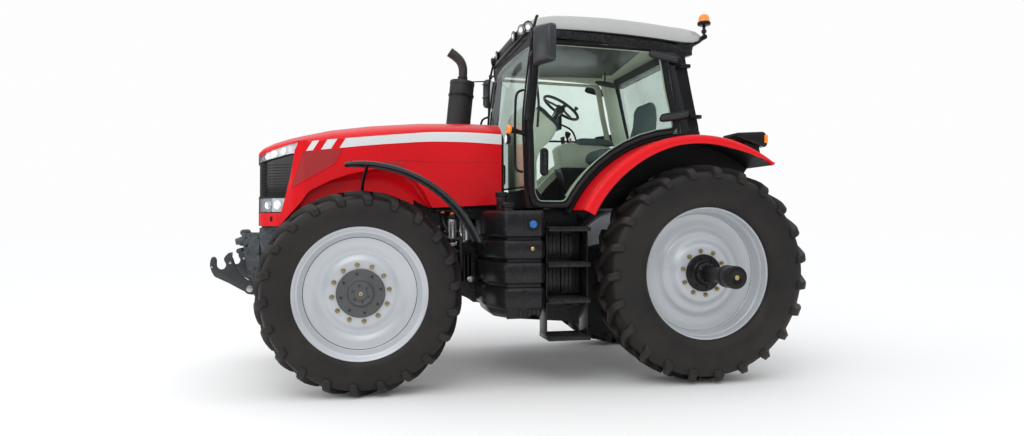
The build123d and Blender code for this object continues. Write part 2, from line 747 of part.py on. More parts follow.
# Fuel tanks beside the backbone, each with a bevelled front and a low part behind the steps
TANK_OUTER = 1150
TANK_INNER = 340
TANK_LOW_INNER = CAB_MOUNT_Y + 80
TANK_FRONT = 1993
TANK_REAR = 1060
TANK_BAY = 1501  # the steps stand behind this face
TANK_WAIST = 800
TANK_FLOOR = 590
TANK_TOP = 1575
TANK_LOW_TOP = 1400
for name, sign in SIDES:
    with BuildPart() as fuel_tank:
        top_prism(
            [
                (TANK_BAY, sign * TANK_INNER),
                (TANK_FRONT, sign * TANK_INNER),
                (TANK_FRONT, sign * TANK_WAIST),
                (TANK_FRONT - 122, sign * TANK_OUTER),
                (TANK_BAY, sign * TANK_OUTER),
            ],
            TANK_FLOOR,
            TANK_TOP,
        )
        block((TANK_REAR, TANK_BAY), (sign * TANK_LOW_INNER, sign * TANK_WAIST), (TANK_FLOOR + 100, TANK_LOW_TOP))
        block((TANK_BAY - 20, TANK_FRONT - 200), (sign * (BACKBONE_HALF + 2), sign * TANK_INNER), (820, 900))
    finish(fuel_tank.part, f"fuel_tank_{name}")

# Steps up to each door: treads between two stringers
TREAD_HEIGHTS = (465, 795, 1115, 1430)
TREAD_WALL = 40
STEP_REAR = 1100
STEP_FRONT = 1490
STEP_OUTER = 1200
STEP_INNER = 880
STRINGER_WALL = 12
for name, sign in SIDES:
    with BuildPart() as steps:
        for tread in TREAD_HEIGHTS:
            block((STEP_REAR, STEP_FRONT), (sign * STEP_INNER, sign * STEP_OUTER), (tread - TREAD_WALL, tread))
        for stringer in (STEP_REAR, STEP_FRONT - STRINGER_WALL):
            block(
                (stringer, stringer + STRINGER_WALL),
                (sign * STEP_INNER, sign * (STEP_OUTER - 90)),
                (TREAD_HEIGHTS[0] - TREAD_WALL, TREAD_HEIGHTS[-1]),
            )
        block(
            (STEP_REAR, STEP_FRONT),
            (sign * TANK_WAIST, sign * (STEP_INNER + STRINGER_WALL)),
            (TREAD_HEIGHTS[1] - TREAD_WALL, TANK_LOW_TOP),
        )
    finish(steps.part, f"steps_{name}")

# Cab frame: floor, posts, roof rails, firewall, rear wall and lower side walls
POST_FRONT = ((1612, CAB_FLOOR), (1626, 2131), (1636, 2350), (1608, 2600), (1560, 3110))
REAR_POST_FRONT = ((-10, 2300), (18, 2409), (100, 2737), (176, 3060))
REAR_POST_REAR = ((56, 3060), (-8, 2744), (-82, 2409), (-100, 2300))
RAIL_TOP = ((1575, 3250), (1290, 3241), (876, 3226), (57, 3160), (-20, 3150))
RAIL_DEPTH = 75
FIREWALL_TOP = 1785
REAR_WALL_TOP = 2340
FOOT_R = 50
post_outline = list(POST_FRONT) + [(x - POST_DEPTH, z) for x, z in reversed(POST_FRONT)]
rail_outline = list(RAIL_TOP) + [(x, z - RAIL_DEPTH) for x, z in reversed(RAIL_TOP)]
lower_wall = (
    (CAB_REAR, CAB_FLOOR - FLOOR_WALL),
    (CAB_REAR, 2250),
    (60, 2265),
    (430, 2200),
    (760, 2040),
    (960, 1850),
    (1090, CAB_FLOOR - FLOOR_WALL),
)
with BuildPart() as cab_frame:
    block((CAB_REAR, 1612), (-CAB_INNER_HALF, CAB_INNER_HALF), (CAB_FLOOR - FLOOR_WALL, CAB_FLOOR))
    block((1200, 1612), (-CAB_HALF, CAB_HALF), (CAB_FLOOR - FLOOR_WALL, CAB_FLOOR))
    for name, sign in SIDES:
        side_prism(post_outline, sign * (CAB_HALF - POST_W), sign * CAB_HALF)
        side_prism(REAR_POST_FRONT + REAR_POST_REAR, sign * (CAB_HALF - POST_W), sign * CAB_HALF)
        side_prism(rail_outline, sign * (CAB_HALF - POST_W), sign * CAB_HALF)
        side_prism(lower_wall, sign * (CAB_INNER_HALF - CAB_WALL), sign * CAB_INNER_HALF)
        block((CAB_REAR, 60), (sign * (CAB_INNER_HALF - CAB_WALL), sign * CAB_HALF), (2280, REAR_WALL_TOP))
        for mount_ahead in CAB_MOUNTS:
            post(mount_ahead, sign * CAB_MOUNT_Y, CAB_MOUNT_TOP, CAB_FLOOR - FLOOR_WALL, FOOT_R)
    side_prism(
        ((1490, 3090), (1562, 3090), (1575, 3250), (1490, 3247)),
        -CAB_HALF,
        CAB_HALF,
    )
    side_prism(
        ((CAB_REAR, CAB_FLOOR), (CAB_REAR + 40, CAB_FLOOR), (CAB_REAR + 40, REAR_WALL_TOP), (CAB_REAR, REAR_WALL_TOP)),
        -CAB_INNER_HALF,
        CAB_INNER_HALF,
    )
    side_prism(
        ((56, 3060), (146, 3060), (146, 3160), (-20, 3150), (-20, 3080)),
        -CAB_HALF,
        CAB_HALF,
    )
    block((1570, 1612), (-CAB_HALF + POST_W, CAB_HALF - POST_W), (CAB_FLOOR, FIREWALL_TOP - 10))
    for name, sign in SIDES:
        for height in HINGE_HEIGHTS:
            ahead = hinge_ahead(height)
            low = height - HINGE_HALF - HINGE_GAP - HINGE_FOOT
            block((ahead - 60, ahead + 14), (sign * (CAB_HALF - 20), sign * (HINGE_Y + 14)), (low, low + HINGE_FOOT))
            rod(
                at(hinge_ahead(low), sign * HINGE_Y, low),
                at(hinge_ahead(height + HINGE_HALF), sign * HINGE_Y, height + HINGE_HALF),
                HINGE_PIN_R,
            )
finish(cab_frame.part, "cab_frame")

# Windscreen, bowed forward, between the front posts
SCREEN_SECTIONS = (
    # height, ahead at the middle, ahead at the sides
    (FIREWALL_TOP, 1700, 1625),
    (2400, 1715, 1646),
    (3090, 1625, 1570),
)
SCREEN_HALF = CAB_HALF - 10
with BuildPart() as windscreen:
    for height, middle, edge in SCREEN_SECTIONS:
        with BuildSketch(Plane(at(0, 0, height))):
            with BuildLine():
                ThreePointArc((edge, -SCREEN_HALF), (middle, 0), (edge, SCREEN_HALF))
                Line((edge, SCREEN_HALF), (edge - GLASS_WALL, SCREEN_HALF))
                ThreePointArc(
                    (edge - GLASS_WALL, SCREEN_HALF), (middle - GLASS_WALL, 0), (edge - GLASS_WALL, -SCREEN_HALF)
                )
                Line((edge - GLASS_WALL, -SCREEN_HALF), (edge, -SCREEN_HALF))
            make_face()
    loft(ruled=True)
finish(windscreen.part, "windscreen")

# Rear window between the rear posts
with BuildPart() as rear_window:
    side_prism(
        (
            (CAB_REAR + 20, REAR_WALL_TOP + 1),
            (CAB_REAR + 20 + GLASS_WALL, REAR_WALL_TOP + 1),
            (70 + GLASS_WALL, 3059),
            (70, 3059),
        ),
        -CAB_HALF + POST_W + 1,
        CAB_HALF - POST_W - 1,
    )
finish(rear_window.part, "rear_window")

# Headliner under the roof
with BuildPart() as cab_headliner:
    side_prism(
        ((1489, 3225), (1489, 3245), (1290, 3239), (876, 3224), (147, 3165), (147, 3145), (876, 3204)),
        -CAB_HALF + POST_W + 1,
        CAB_HALF - POST_W - 1,
    )
finish(cab_headliner.part, "cab_headliner")

# Roof cover with tapered sides
ROOF_OUTLINE = (
    (1600, 3252),
    (1604, 3325),
    (1510, 3394),
    (1332, 3434),
    (805, 3441),
    (283, 3408),
    (-169, 3364),
    (-215, 3300),
    (-150, 3200),
    (57, 3162),
    (876, 3228),
    (1290, 3243),
)
ROOF_HALF = 880
ROOF_LAMPS = (-560, 560)
LAMP_BACK = 1560
with BuildPart() as cab_roof:
    side_prism(ROOF_OUTLINE, -ROOF_HALF, ROOF_HALF)
    for lamp_y in ROOF_LAMPS:
        block((LAMP_BACK, 1700), (lamp_y - 82, lamp_y + 82), (3262, 3320), Mode.SUBTRACT)
    top_prism(
        [
            (1640, -660),
            (1560, -ROOF_HALF + 40),
            (1200, -ROOF_HALF),
            (0, -ROOF_HALF),
            (-230, -ROOF_HALF + 120),
            (-230, ROOF_HALF - 120),
            (0, ROOF_HALF),
            (1200, ROOF_HALF),
            (1560, ROOF_HALF - 40),
            (1640, 660),
        ],
        3100,
        3500,
        Mode.INTERSECT,
    )
    for name, sign in SIDES:
        with BuildSketch(Plane(at(-400, 0, 0), x_dir=(0, 1, 0), z_dir=(1, 0, 0))) as shoulder:
            with BuildLine():
                Polyline(
                    (sign * (ROOF_HALF + 10), 3300),
                    (sign * (ROOF_HALF - 2), 3310),
                    (sign * (ROOF_HALF - 90), 3400),
                    (sign * (ROOF_HALF - 200), 3450),
                    (sign * (ROOF_HALF + 10), 3450),
                    close=True,
                )
            make_face()
        extrude(shoulder.sketch, amount=2200, mode=Mode.SUBTRACT)
finish(cab_roof.part, "cab_roof")

# Doors, hinged at the rear posts, and the glass in each
DOOR_IN = CAB_HALF + DOOR_GAP
DOOR_OUT = DOOR_IN + DOOR_WALL
DOOR_FRONT = ((1603, CAB_FLOOR + 60), (1612, 2131), (1622, 2345), (1594, 2596), (1556, 3010))
DOOR_REAR = ((130, 2400), (208, 2737), (270, 3040))


def door_outline(inset):
    """The door's edge, drawn in by inset: posts, roof rail, fender arc and foot."""
    arc_r = REAR_FENDER_R + SILL_CLEARANCE + inset
    arc_points = []
    for angle in (84, 70, 56, 43, 32):
        turn = math.radians(angle)
        arc_points.append((FENDER_CENTRE[0] + arc_r * math.cos(turn), FENDER_CENTRE[1] + arc_r * math.sin(turn)))
    foot = CAB_FLOOR - FLOOR_WALL + inset
    front = [(x - inset, z) for x, z in DOOR_FRONT]
    front[0] = (front[0][0], DOOR_FRONT[0][1] + inset)
    front[-1] = (front[-1][0], DOOR_FRONT[-1][1])
    rear = [(x + inset, z) for x, z in reversed(DOOR_REAR)]
    top = ((DOOR_FRONT[-1][0] - 40 - inset, 3085 - inset), (DOOR_REAR[-1][0] + 30 + inset, 3075 - inset))
    foot_rear = (FENDER_CENTRE[0] + math.sqrt(arc_r**2 - (foot - FENDER_CENTRE[1]) ** 2), foot)
    return [(DOOR_FRONT[0][0] - 60 - inset / 2, foot)] + front + list(top) + rear + arc_points + [foot_rear]


for name, sign in SIDES:
    with BuildPart() as door:
        side_prism(door_outline(0), sign * DOOR_IN, sign * DOOR_OUT)
        side_prism(door_outline(DOOR_FRAME), sign * DOOR_IN, sign * DOOR_OUT, Mode.SUBTRACT)
        for height in HINGE_HEIGHTS:
            low, high = height - HINGE_HALF, height + HINGE_HALF
            ends = [at(hinge_ahead(z), sign * HINGE_Y, z) for z in (low, high)]
            rod(*ends, HINGE_BARREL_R)
            ahead = hinge_ahead(height)
            block((ahead, ahead + HINGE_REACH), (sign * DOOR_OUT, sign * (HINGE_Y + 10)), (low + 6, high - 6))
            ends = [at(hinge_ahead(z), sign * HINGE_Y, z) for z in (low - 5, high + 5)]
            rod(*ends, HINGE_PIN_R + HINGE_PIN_GAP, Mode.SUBTRACT)
    finish(door.part, f"door_{name}")
    middle_y = (DOOR_IN + DOOR_OUT) / 2
    with BuildPart() as door_glass:
        side_prism(door_outline(DOOR_FRAME), sign * (middle_y - GLASS_WALL / 2), sign * (middle_y + GLASS_WALL / 2))
    finish(door_glass.part, f"door_glass_{name}")

# Rear fenders: crown, outer lip and inner wall
for name, sign in SIDES:
    inner_y, outer_y = REAR_FENDER_Y
    with BuildPart() as rear_fender:
        ring_sector(
            FENDER_CENTRE,
            (REAR_FENDER_R, REAR_FENDER_R - REAR_FENDER_WALL),
            REAR_FENDER_ARC,
            sign * inner_y,
            sign * outer_y,
        )
        ring_sector(
            FENDER_CENTRE,
            (REAR_FENDER_R, REAR_FENDER_R - REAR_FENDER_LIP),
            REAR_FENDER_ARC,
            sign * (outer_y - REAR_FENDER_WALL),
            sign * outer_y,
        )
        ring_sector(
            FENDER_CENTRE,
            (REAR_FENDER_R, REAR_FENDER_R - 2 * REAR_FENDER_LIP),
            REAR_FENDER_ARC,
            sign * inner_y,
            sign * (inner_y + REAR_FENDER_WALL),
        )
    finish(rear_fender.part, f"rear_fender_{name}")

# Seat: sprung base, cushion and backrest
SEAT_X = (190, 720)
SEAT_HALF = 250
SEAT_BASE_TOP = 2100
CUSHION_TOP = 2235
SEAT_GAP = 0.3
BACKREST_OUTLINE = ((185, 2180), (60, 2240), (20, 2500), (40, 2760), (110, 2775), (150, 2500), (195, 2260))
with BuildPart() as seat_base:
    block((SEAT_X[0] + 60, SEAT_X[1] - 100), (-190, 190), (CAB_FLOOR, SEAT_BASE_TOP))
    block((-20, SEAT_X[0] + 100), (-120, 120), (2040, SEAT_BASE_TOP))
    side_prism(((-20, 2060), (20, 2060), (5, 2480), (-25, 2480)), -120, 120)
finish(seat_base.part, "seat_base")
with BuildPart() as seat_cushion:
    block((SEAT_X[0] + 10, SEAT_X[1]), (-SEAT_HALF, SEAT_HALF), (SEAT_BASE_TOP + SEAT_GAP, CUSHION_TOP))
finish(seat_cushion.part, "seat_cushion")
with BuildPart() as seat_backrest:
    side_prism(BACKREST_OUTLINE, -SEAT_HALF + 10, SEAT_HALF - 10)
    block((SEAT_X[0] - 20, SEAT_X[1]), (-SEAT_HALF, SEAT_HALF), (2000, CUSHION_TOP + SEAT_GAP), Mode.SUBTRACT)
finish(seat_backrest.part, "seat_backrest")

# Dashboard and the steering wheel on its leaning column
WHEEL_CENTRE = (1025, 2671)
COLUMN_FOOT = (1150, 2480)
STEERING_WHEEL_R = 205
STEERING_RIM_R = 15
COLUMN_R = 22
COLUMN_GAP = 3
COLUMN_DROP = 225  # the column ends this far below the wheel
COLLAR_DROP = 150
column = Vector(WHEEL_CENTRE[0] - COLUMN_FOOT[0], 0, WHEEL_CENTRE[1] - COLUMN_FOOT[1])
wheel_plane = Plane(origin=at(WHEEL_CENTRE[0], 0, WHEEL_CENTRE[1]), x_dir=(0, 1, 0), z_dir=column)
with BuildPart() as dashboard:
    side_prism(
        (
            (1568, CAB_FLOOR),
            (1568, 2540),
            (1500, 2640),
            (1307, 2641),
            (1110, 2455),
            (1135, 2345),
            (1290, 2200),
            (1360, CAB_FLOOR),
        ),
        -170,
        170,
    )
    rod(at(COLUMN_FOOT[0], 0, COLUMN_FOOT[1]), wheel_plane.from_local_coords((0, 0, -COLLAR_DROP)), COLUMN_R + 18)
    rod(
        wheel_plane.from_local_coords((0, 0, -COLUMN_DROP - 20)),
        wheel_plane.from_local_coords((0, 0, 0)),
        COLUMN_R + COLUMN_GAP,
        Mode.SUBTRACT,
    )
finish(dashboard.part, "dashboard")
with BuildPart(wheel_plane) as steering_wheel:
    Torus(STEERING_WHEEL_R, STEERING_RIM_R)
    with Locations((0, 0, -30)):
        Cylinder(46, 50)
    with PolarLocations(STEERING_WHEEL_R / 2, 3):
        Box(STEERING_WHEEL_R, 34, 14)
    Cylinder(COLUMN_R, COLUMN_DROP, align=(Align.CENTER, Align.CENTER, Align.MAX))
finish(steering_wheel.part, "steering_wheel")

# Control console on the right of the seat
with BuildPart() as armrest_console:
    side_prism(
        ((150, CAB_FLOOR), (150, 2180), (330, 2330), (850, 2360), (930, 2250), (780, CAB_FLOOR)),
        -700,
        -400,
    )
finish(armrest_console.part, "armrest_console")

# Mirrors on arms from the roof's front corners
MIRROR_Y = (1200, 1400)
MIRROR_X = (1600, 1680)
MIRROR_Z = (2870, 3205)
MIRROR_ARM_R = 14
for name, sign in SIDES:
    arm_ahead = sum(MIRROR_X) / 2
    arm_y = sum(MIRROR_Y) / 2
    with BuildPart() as mirror:
        block(MIRROR_X, (sign * MIRROR_Y[0], sign * MIRROR_Y[1]), MIRROR_Z)
        post(arm_ahead, sign * arm_y, MIRROR_Z[1] - 20, MIRROR_Z[1] + 90, MIRROR_ARM_R)
        rod(at(arm_ahead, sign * (arm_y + 10), 3280), at(1530, sign * (ROOF_HALF - 55), 3280), MIRROR_ARM_R)
    cab_roof_part = cab_roof.part
    with BuildPart() as trimmed_mirror:
        add(mirror.part)
        add(cab_roof_part, mode=Mode.SUBTRACT)
    finish(trimmed_mirror.part, f"mirror_{name}")

# Lamps: roof front, posts and rear fenders
with BuildPart() as roof_lamps:
    for lamp_y in ROOF_LAMPS:
        block((LAMP_BACK, 1608), (lamp_y - 78, lamp_y + 78), (3266, 3316))
finish(roof_lamps.part, "roof_lamps")
with BuildPart() as side_lamps:
    for name, sign in SIDES:
        rod(at(1640, sign * 860, 2290), at(1790, sign * 960, 2290), 16)
        block((1770, 1830), (sign * 920, sign * 1060), (2230, 2340))
    add(windscreen.part, mode=Mode.SUBTRACT)
    add(cab_frame.part, mode=Mode.SUBTRACT)
finish(side_lamps.part, "side_lamps")
LENS_GAP = 0.3
with BuildPart() as rear_lamps:
    for name, sign in SIDES:
        side_prism(
            ((-345, 2150), (-345, 2300), (-600, 2318), (-645, 2265), (-632, 2060), (-600, 2040)),
            sign * 900,
            sign * 1200,
        )
    cross_rod(FENDER_CENTRE[0], FENDER_CENTRE[1], -1300, 1300, REAR_FENDER_R + LENS_GAP, Mode.SUBTRACT)
finish(rear_lamps.part, "rear_lamps")

# Beacon on a pole behind the roof's left rear corner
BEACON_AHEAD = -245
BEACON_Y = 730
with BuildPart() as beacon:
    post(BEACON_AHEAD, BEACON_Y, 3265, 3423, 12)
    rod(at(BEACON_AHEAD, BEACON_Y, 3300), at(-205, BEACON_Y, 3300), 12)
    post(BEACON_AHEAD, BEACON_Y, 3415, 3440, 52)
    post(BEACON_AHEAD, BEACON_Y, 3440, 3511, 44)
    add(cab_roof.part, mode=Mode.SUBTRACT)
finish(beacon.part, "beacon")

# Rear linkage: lift arms on their shaft, lift rods, lower links, top link and drawbar
ARM_Y = (BACKBONE_HALF + 8, BACKBONE_HALF + 40)
ROD_Y = (ARM_Y[1] + 5, ARM_Y[1] + 35)
LIFT_PIN_R = 16
LINK_PIN_R = 14
LINK_FLOAT = 9  # play of the lift rod's lower eye round its pin
EYE_WALL = 16
BALL_Y = 435
BALL_BORE_R = 18.7
BALL_W = 45
BALL_R = 45
link_run = (LOWER_BALL[0] - LOWER_PIVOT[0], LOWER_BALL[1] - LOWER_PIVOT[1])
ROD_FOOT = (LOWER_PIVOT[0] + LINK_SHARE * link_run[0], LOWER_PIVOT[1] + LINK_SHARE * link_run[1])
LINK_FRONT_Y = BACKBONE_HALF + 26
with BuildPart() as lift_arms:
    cross_rod(LIFT_PIVOT[0], LIFT_PIVOT[1], -ARM_Y[1], ARM_Y[1], SHAFT_R)
    for name, sign in SIDES:
        side_prism(
            (
                (LIFT_PIVOT[0] + 55, LIFT_PIVOT[1] - 30),
                (LIFT_PIVOT[0] + 40, LIFT_PIVOT[1] + 60),
                (LIFT_TIP[0] + 10, LIFT_TIP[1] + 40),
                (LIFT_TIP[0] - 38, LIFT_TIP[1] + 5),
                (LIFT_TIP[0] - 10, LIFT_TIP[1] - 40),
                (LIFT_PIVOT[0] - 10, LIFT_PIVOT[1] - 65),
            ),
            sign * ARM_Y[0],
            sign * ARM_Y[1],
        )
        cross_rod(LIFT_TIP[0], LIFT_TIP[1], sign * ARM_Y[0], sign * (ROD_Y[1] + 5), LIFT_PIN_R)
finish(lift_arms.part, "rear_lift_arms")
with BuildPart() as lift_rods:
    for name, sign in SIDES:
        middle_y = sign * (ROD_Y[0] + ROD_Y[1]) / 2
        rod(at(LIFT_TIP[0], middle_y, LIFT_TIP[1]), at(ROD_FOOT[0], middle_y, ROD_FOOT[1]), 14)
        middle = ((LIFT_TIP[0] + ROD_FOOT[0]) / 2, (LIFT_TIP[1] + ROD_FOOT[1]) / 2)
        rod(at(middle[0], middle_y, middle[1]), at(ROD_FOOT[0], middle_y, ROD_FOOT[1]), 20)
        cross_rod(*LIFT_TIP, sign * ROD_Y[0], sign * ROD_Y[1], LIFT_PIN_R + EYE_WALL)
        cross_rod(*ROD_FOOT, sign * ROD_Y[0], sign * ROD_Y[1], LINK_PIN_R + LINK_FLOAT + EYE_WALL)
    for name, sign in SIDES:
        cross_rod(*LIFT_TIP, sign * (ROD_Y[0] - 5), sign * (ROD_Y[1] + 5), LIFT_PIN_R + PIN_GAP, Mode.SUBTRACT)
        cross_rod(*ROD_FOOT, sign * (ROD_Y[0] - 10), sign * (ROD_Y[1] + 10), LINK_PIN_R + LINK_FLOAT, Mode.SUBTRACT)
finish(lift_rods.part, "rear_lift_rods")
with BuildPart() as lower_links:
    for name, sign in SIDES:
        rod(at(LOWER_PIVOT[0], sign * LINK_FRONT_Y, LOWER_PIVOT[1]), at(LOWER_BALL[0], sign * BALL_Y, LOWER_BALL[1]), 22)
        cross_rod(*LOWER_PIVOT, sign * (LINK_FRONT_Y - 20), sign * (LINK_FRONT_Y + 20), LOWER_PIN_R + 26)
        cross_rod(*LOWER_BALL, sign * (BALL_Y - BALL_W / 2), sign * (BALL_Y + BALL_W / 2), BALL_R)
        link_y = LINK_FRONT_Y + LINK_SHARE * (BALL_Y - LINK_FRONT_Y)
        cross_rod(*ROD_FOOT, sign * (ROD_Y[0] - 8), sign * link_y, LINK_PIN_R)
    for name, sign in SIDES:
        cross_rod(*LOWER_PIVOT, sign * 200, sign * 320, LOWER_PIN_R + PIN_GAP, Mode.SUBTRACT)
        cross_rod(*LOWER_BALL, sign * 380, sign * 490, BALL_BORE_R, Mode.SUBTRACT)
finish(lower_links.part, "rear_lower_links")

# Top link, stowed upright, with an eye at each end
TOP_EYE_HALF = 25
TOP_EYE_R = 38
TOP_BORE_R = 16.2
top_turn = math.radians(TOP_LINK_REST)
TOP_TIP = (TOP_PIVOT[0] + TOP_LINK * math.cos(top_turn), TOP_PIVOT[1] + TOP_LINK * math.sin(top_turn))
with BuildPart() as top_link:
    rod(at(TOP_PIVOT[0], 0, TOP_PIVOT[1]), at(TOP_TIP[0], 0, TOP_TIP[1]), 22)
    for end in (TOP_PIVOT, TOP_TIP):
        cross_rod(*end, -TOP_EYE_HALF, TOP_EYE_HALF, TOP_EYE_R)
    cross_rod(*TOP_PIVOT, -60, 60, TOP_PIN_R + PIN_GAP, Mode.SUBTRACT)
    cross_rod(*TOP_TIP, -60, 60, TOP_BORE_R, Mode.SUBTRACT)
finish(top_link.part, "top_link")

# Drawbar under the backbone and the power take-off stub above it
DRAWBAR_END = -940
DRAWBAR_HALF = 45
DRAWBAR_Z = (430, 478)
DRAWBAR_HOLE = (-885, 16.5)  # ahead, radius
PTO_HEIGHT = 770
PTO_R = 22.25
PTO_LENGTH = 90
with BuildPart() as drawbar:
    block((DRAWBAR_END, 160), (-DRAWBAR_HALF, DRAWBAR_HALF), DRAWBAR_Z)
    side_prism(((-280, 470), (-280, 632), (-100, 605), (-100, 470)), -90, 90)
    side_prism(((60, 470), (60, 581), (160, 566), (160, 470)), -90, 90)
    post(DRAWBAR_HOLE[0], 0, DRAWBAR_Z[0] - 5, DRAWBAR_Z[1] + 5, DRAWBAR_HOLE[1], Mode.SUBTRACT)
finish(drawbar.part, "drawbar")
with BuildPart() as pto_shaft:
    rod(at(-331, 0, PTO_HEIGHT), at(-331 - PTO_LENGTH, 0, PTO_HEIGHT), PTO_R)
finish(pto_shaft.part, "pto_shaft")

# Front linkage: carrier on the nose of the frame, and the lift arms with their hooks
CARRIER_FRONT = WHEELBASE + 1082
CARRIER_WALL = 40
CARRIER_HALF = 190
HOOK_SEAT_R = 38
HOOK_SEAT = (FRONT_PIVOT[0] + 246, FRONT_PIVOT[1] + 217)
FRONT_ARM_Y = (400, 440)
with BuildPart() as front_linkage_frame:
    for name, sign in SIDES:
        side_prism(
            (
                (WHEELBASE + 921, 1010),
                (WHEELBASE + 896, 880),
                (WHEELBASE + 930, 820),
                (WHEELBASE + 1000, 820),
                (WHEELBASE + 1047, 1137),
                (CARRIER_FRONT, 1370),
                (WHEELBASE + 921, 1370),
            ),
            sign * (CARRIER_HALF - CARRIER_WALL),
            sign * CARRIER_HALF,
        )
    block((WHEELBASE + 921, WHEELBASE + 960), (-CARRIER_HALF, CARRIER_HALF), (1010, 1370))
    block((WHEELBASE + 921, CARRIER_FRONT - 20), (-CARRIER_HALF, CARRIER_HALF), (1320, 1360))
    cross_rod(*FRONT_PIVOT, -CARRIER_HALF - 5, CARRIER_HALF + 5, FRONT_PIVOT_R + PIN_GAP, Mode.SUBTRACT)
    cross_rod(WHEELBASE + 1035, 1250, -CARRIER_HALF - 5, CARRIER_HALF + 5, FRONT_TOP_BORE_R, Mode.SUBTRACT)
finish(front_linkage_frame.part, "front_linkage_frame")
with BuildPart() as front_lift_arms:
    cross_rod(*FRONT_PIVOT, -FRONT_ARM_Y[1], FRONT_ARM_Y[1], FRONT_PIVOT_R)
    for name, sign in SIDES:
        side_prism(
            (
                (FRONT_PIVOT[0] - 45, FRONT_PIVOT[1] - 30),
                (FRONT_PIVOT[0] - 20, FRONT_PIVOT[1] - 60),
                (FRONT_PIVOT[0] + 130, FRONT_PIVOT[1] + 30),
                (FRONT_PIVOT[0] + 300, FRONT_PIVOT[1] + 125),
                (WHEELBASE + FRONT_OVERHANG, FRONT_PIVOT[1] + 195),
                (FRONT_PIVOT[0] + 340, FRONT_PIVOT[1] + 280),
                (HOOK_SEAT[0] + HOOK_SEAT_R, FRONT_PIVOT[1] + 285),
                (HOOK_SEAT[0] + HOOK_SEAT_R, HOOK_SEAT[1]),
                (HOOK_SEAT[0] - HOOK_SEAT_R, HOOK_SEAT[1]),
                (HOOK_SEAT[0] - HOOK_SEAT_R, FRONT_PIVOT[1] + 285),
                (FRONT_PIVOT[0] + 125, FRONT_PIVOT[1] + 250),
                (FRONT_PIVOT[0] + 105, FRONT_PIVOT[1] + 160),
                (FRONT_PIVOT[0] - 30, FRONT_PIVOT[1] + 45),
            ),
            sign * FRONT_ARM_Y[0],
            sign * FRONT_ARM_Y[1],
        )
    cross_rod(*HOOK_SEAT, -FRONT_ARM_Y[1] - 5, FRONT_ARM_Y[1] + 5, HOOK_SEAT_R, Mode.SUBTRACT)
finish(front_lift_arms.part, "front_lift_arms")
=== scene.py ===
"""Looks of the farm tractor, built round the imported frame."""

import json
import logging
import math
from dataclasses import dataclass
from enum import Enum
from typing import Callable, Iterable, Sequence

import bmesh
import bpy
from mathutils import Vector
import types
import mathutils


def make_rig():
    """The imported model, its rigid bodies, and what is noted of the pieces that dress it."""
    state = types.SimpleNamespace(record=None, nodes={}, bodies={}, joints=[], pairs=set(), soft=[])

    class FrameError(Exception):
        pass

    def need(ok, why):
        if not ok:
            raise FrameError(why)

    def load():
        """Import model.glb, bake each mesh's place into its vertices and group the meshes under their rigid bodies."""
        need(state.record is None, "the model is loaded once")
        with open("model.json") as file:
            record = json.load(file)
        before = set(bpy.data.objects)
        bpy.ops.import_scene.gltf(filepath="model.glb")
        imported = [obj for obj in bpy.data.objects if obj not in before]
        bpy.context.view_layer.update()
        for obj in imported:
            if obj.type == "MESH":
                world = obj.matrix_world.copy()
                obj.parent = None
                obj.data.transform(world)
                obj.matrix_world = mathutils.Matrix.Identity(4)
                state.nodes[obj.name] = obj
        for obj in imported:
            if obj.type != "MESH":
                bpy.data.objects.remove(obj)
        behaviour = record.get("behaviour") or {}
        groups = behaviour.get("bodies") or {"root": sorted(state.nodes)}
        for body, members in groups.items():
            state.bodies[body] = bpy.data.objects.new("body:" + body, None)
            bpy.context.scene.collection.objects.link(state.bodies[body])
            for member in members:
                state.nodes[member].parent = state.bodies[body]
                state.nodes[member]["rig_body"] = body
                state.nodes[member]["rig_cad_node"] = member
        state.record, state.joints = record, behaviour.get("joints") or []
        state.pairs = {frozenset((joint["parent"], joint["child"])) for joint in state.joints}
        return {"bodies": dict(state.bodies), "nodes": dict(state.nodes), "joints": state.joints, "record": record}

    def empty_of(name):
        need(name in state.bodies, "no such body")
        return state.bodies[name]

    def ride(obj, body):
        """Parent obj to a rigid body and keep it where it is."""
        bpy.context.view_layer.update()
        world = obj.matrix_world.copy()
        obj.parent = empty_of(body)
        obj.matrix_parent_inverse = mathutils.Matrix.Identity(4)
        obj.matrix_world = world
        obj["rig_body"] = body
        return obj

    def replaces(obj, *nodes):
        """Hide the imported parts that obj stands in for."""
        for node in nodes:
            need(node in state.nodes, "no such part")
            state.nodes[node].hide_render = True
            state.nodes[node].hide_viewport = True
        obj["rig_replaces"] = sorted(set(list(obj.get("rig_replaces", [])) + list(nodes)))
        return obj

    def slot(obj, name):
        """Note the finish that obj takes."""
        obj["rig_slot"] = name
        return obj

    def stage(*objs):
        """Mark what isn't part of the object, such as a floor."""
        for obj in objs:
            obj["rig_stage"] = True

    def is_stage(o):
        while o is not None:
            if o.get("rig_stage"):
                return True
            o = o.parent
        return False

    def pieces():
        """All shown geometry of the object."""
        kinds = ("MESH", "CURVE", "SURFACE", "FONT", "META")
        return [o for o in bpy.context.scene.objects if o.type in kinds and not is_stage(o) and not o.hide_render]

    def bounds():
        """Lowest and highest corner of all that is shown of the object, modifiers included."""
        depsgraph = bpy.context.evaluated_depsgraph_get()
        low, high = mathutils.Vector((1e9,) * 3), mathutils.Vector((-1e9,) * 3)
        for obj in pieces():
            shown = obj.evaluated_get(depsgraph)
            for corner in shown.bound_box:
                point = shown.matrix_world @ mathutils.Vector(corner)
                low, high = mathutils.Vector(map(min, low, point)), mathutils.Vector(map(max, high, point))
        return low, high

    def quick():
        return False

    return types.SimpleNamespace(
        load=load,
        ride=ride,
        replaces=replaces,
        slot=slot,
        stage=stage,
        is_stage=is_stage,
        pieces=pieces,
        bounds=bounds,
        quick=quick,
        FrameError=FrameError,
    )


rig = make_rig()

LOG = logging.getLogger("tractor")
REAR_AXLE = -1456.0
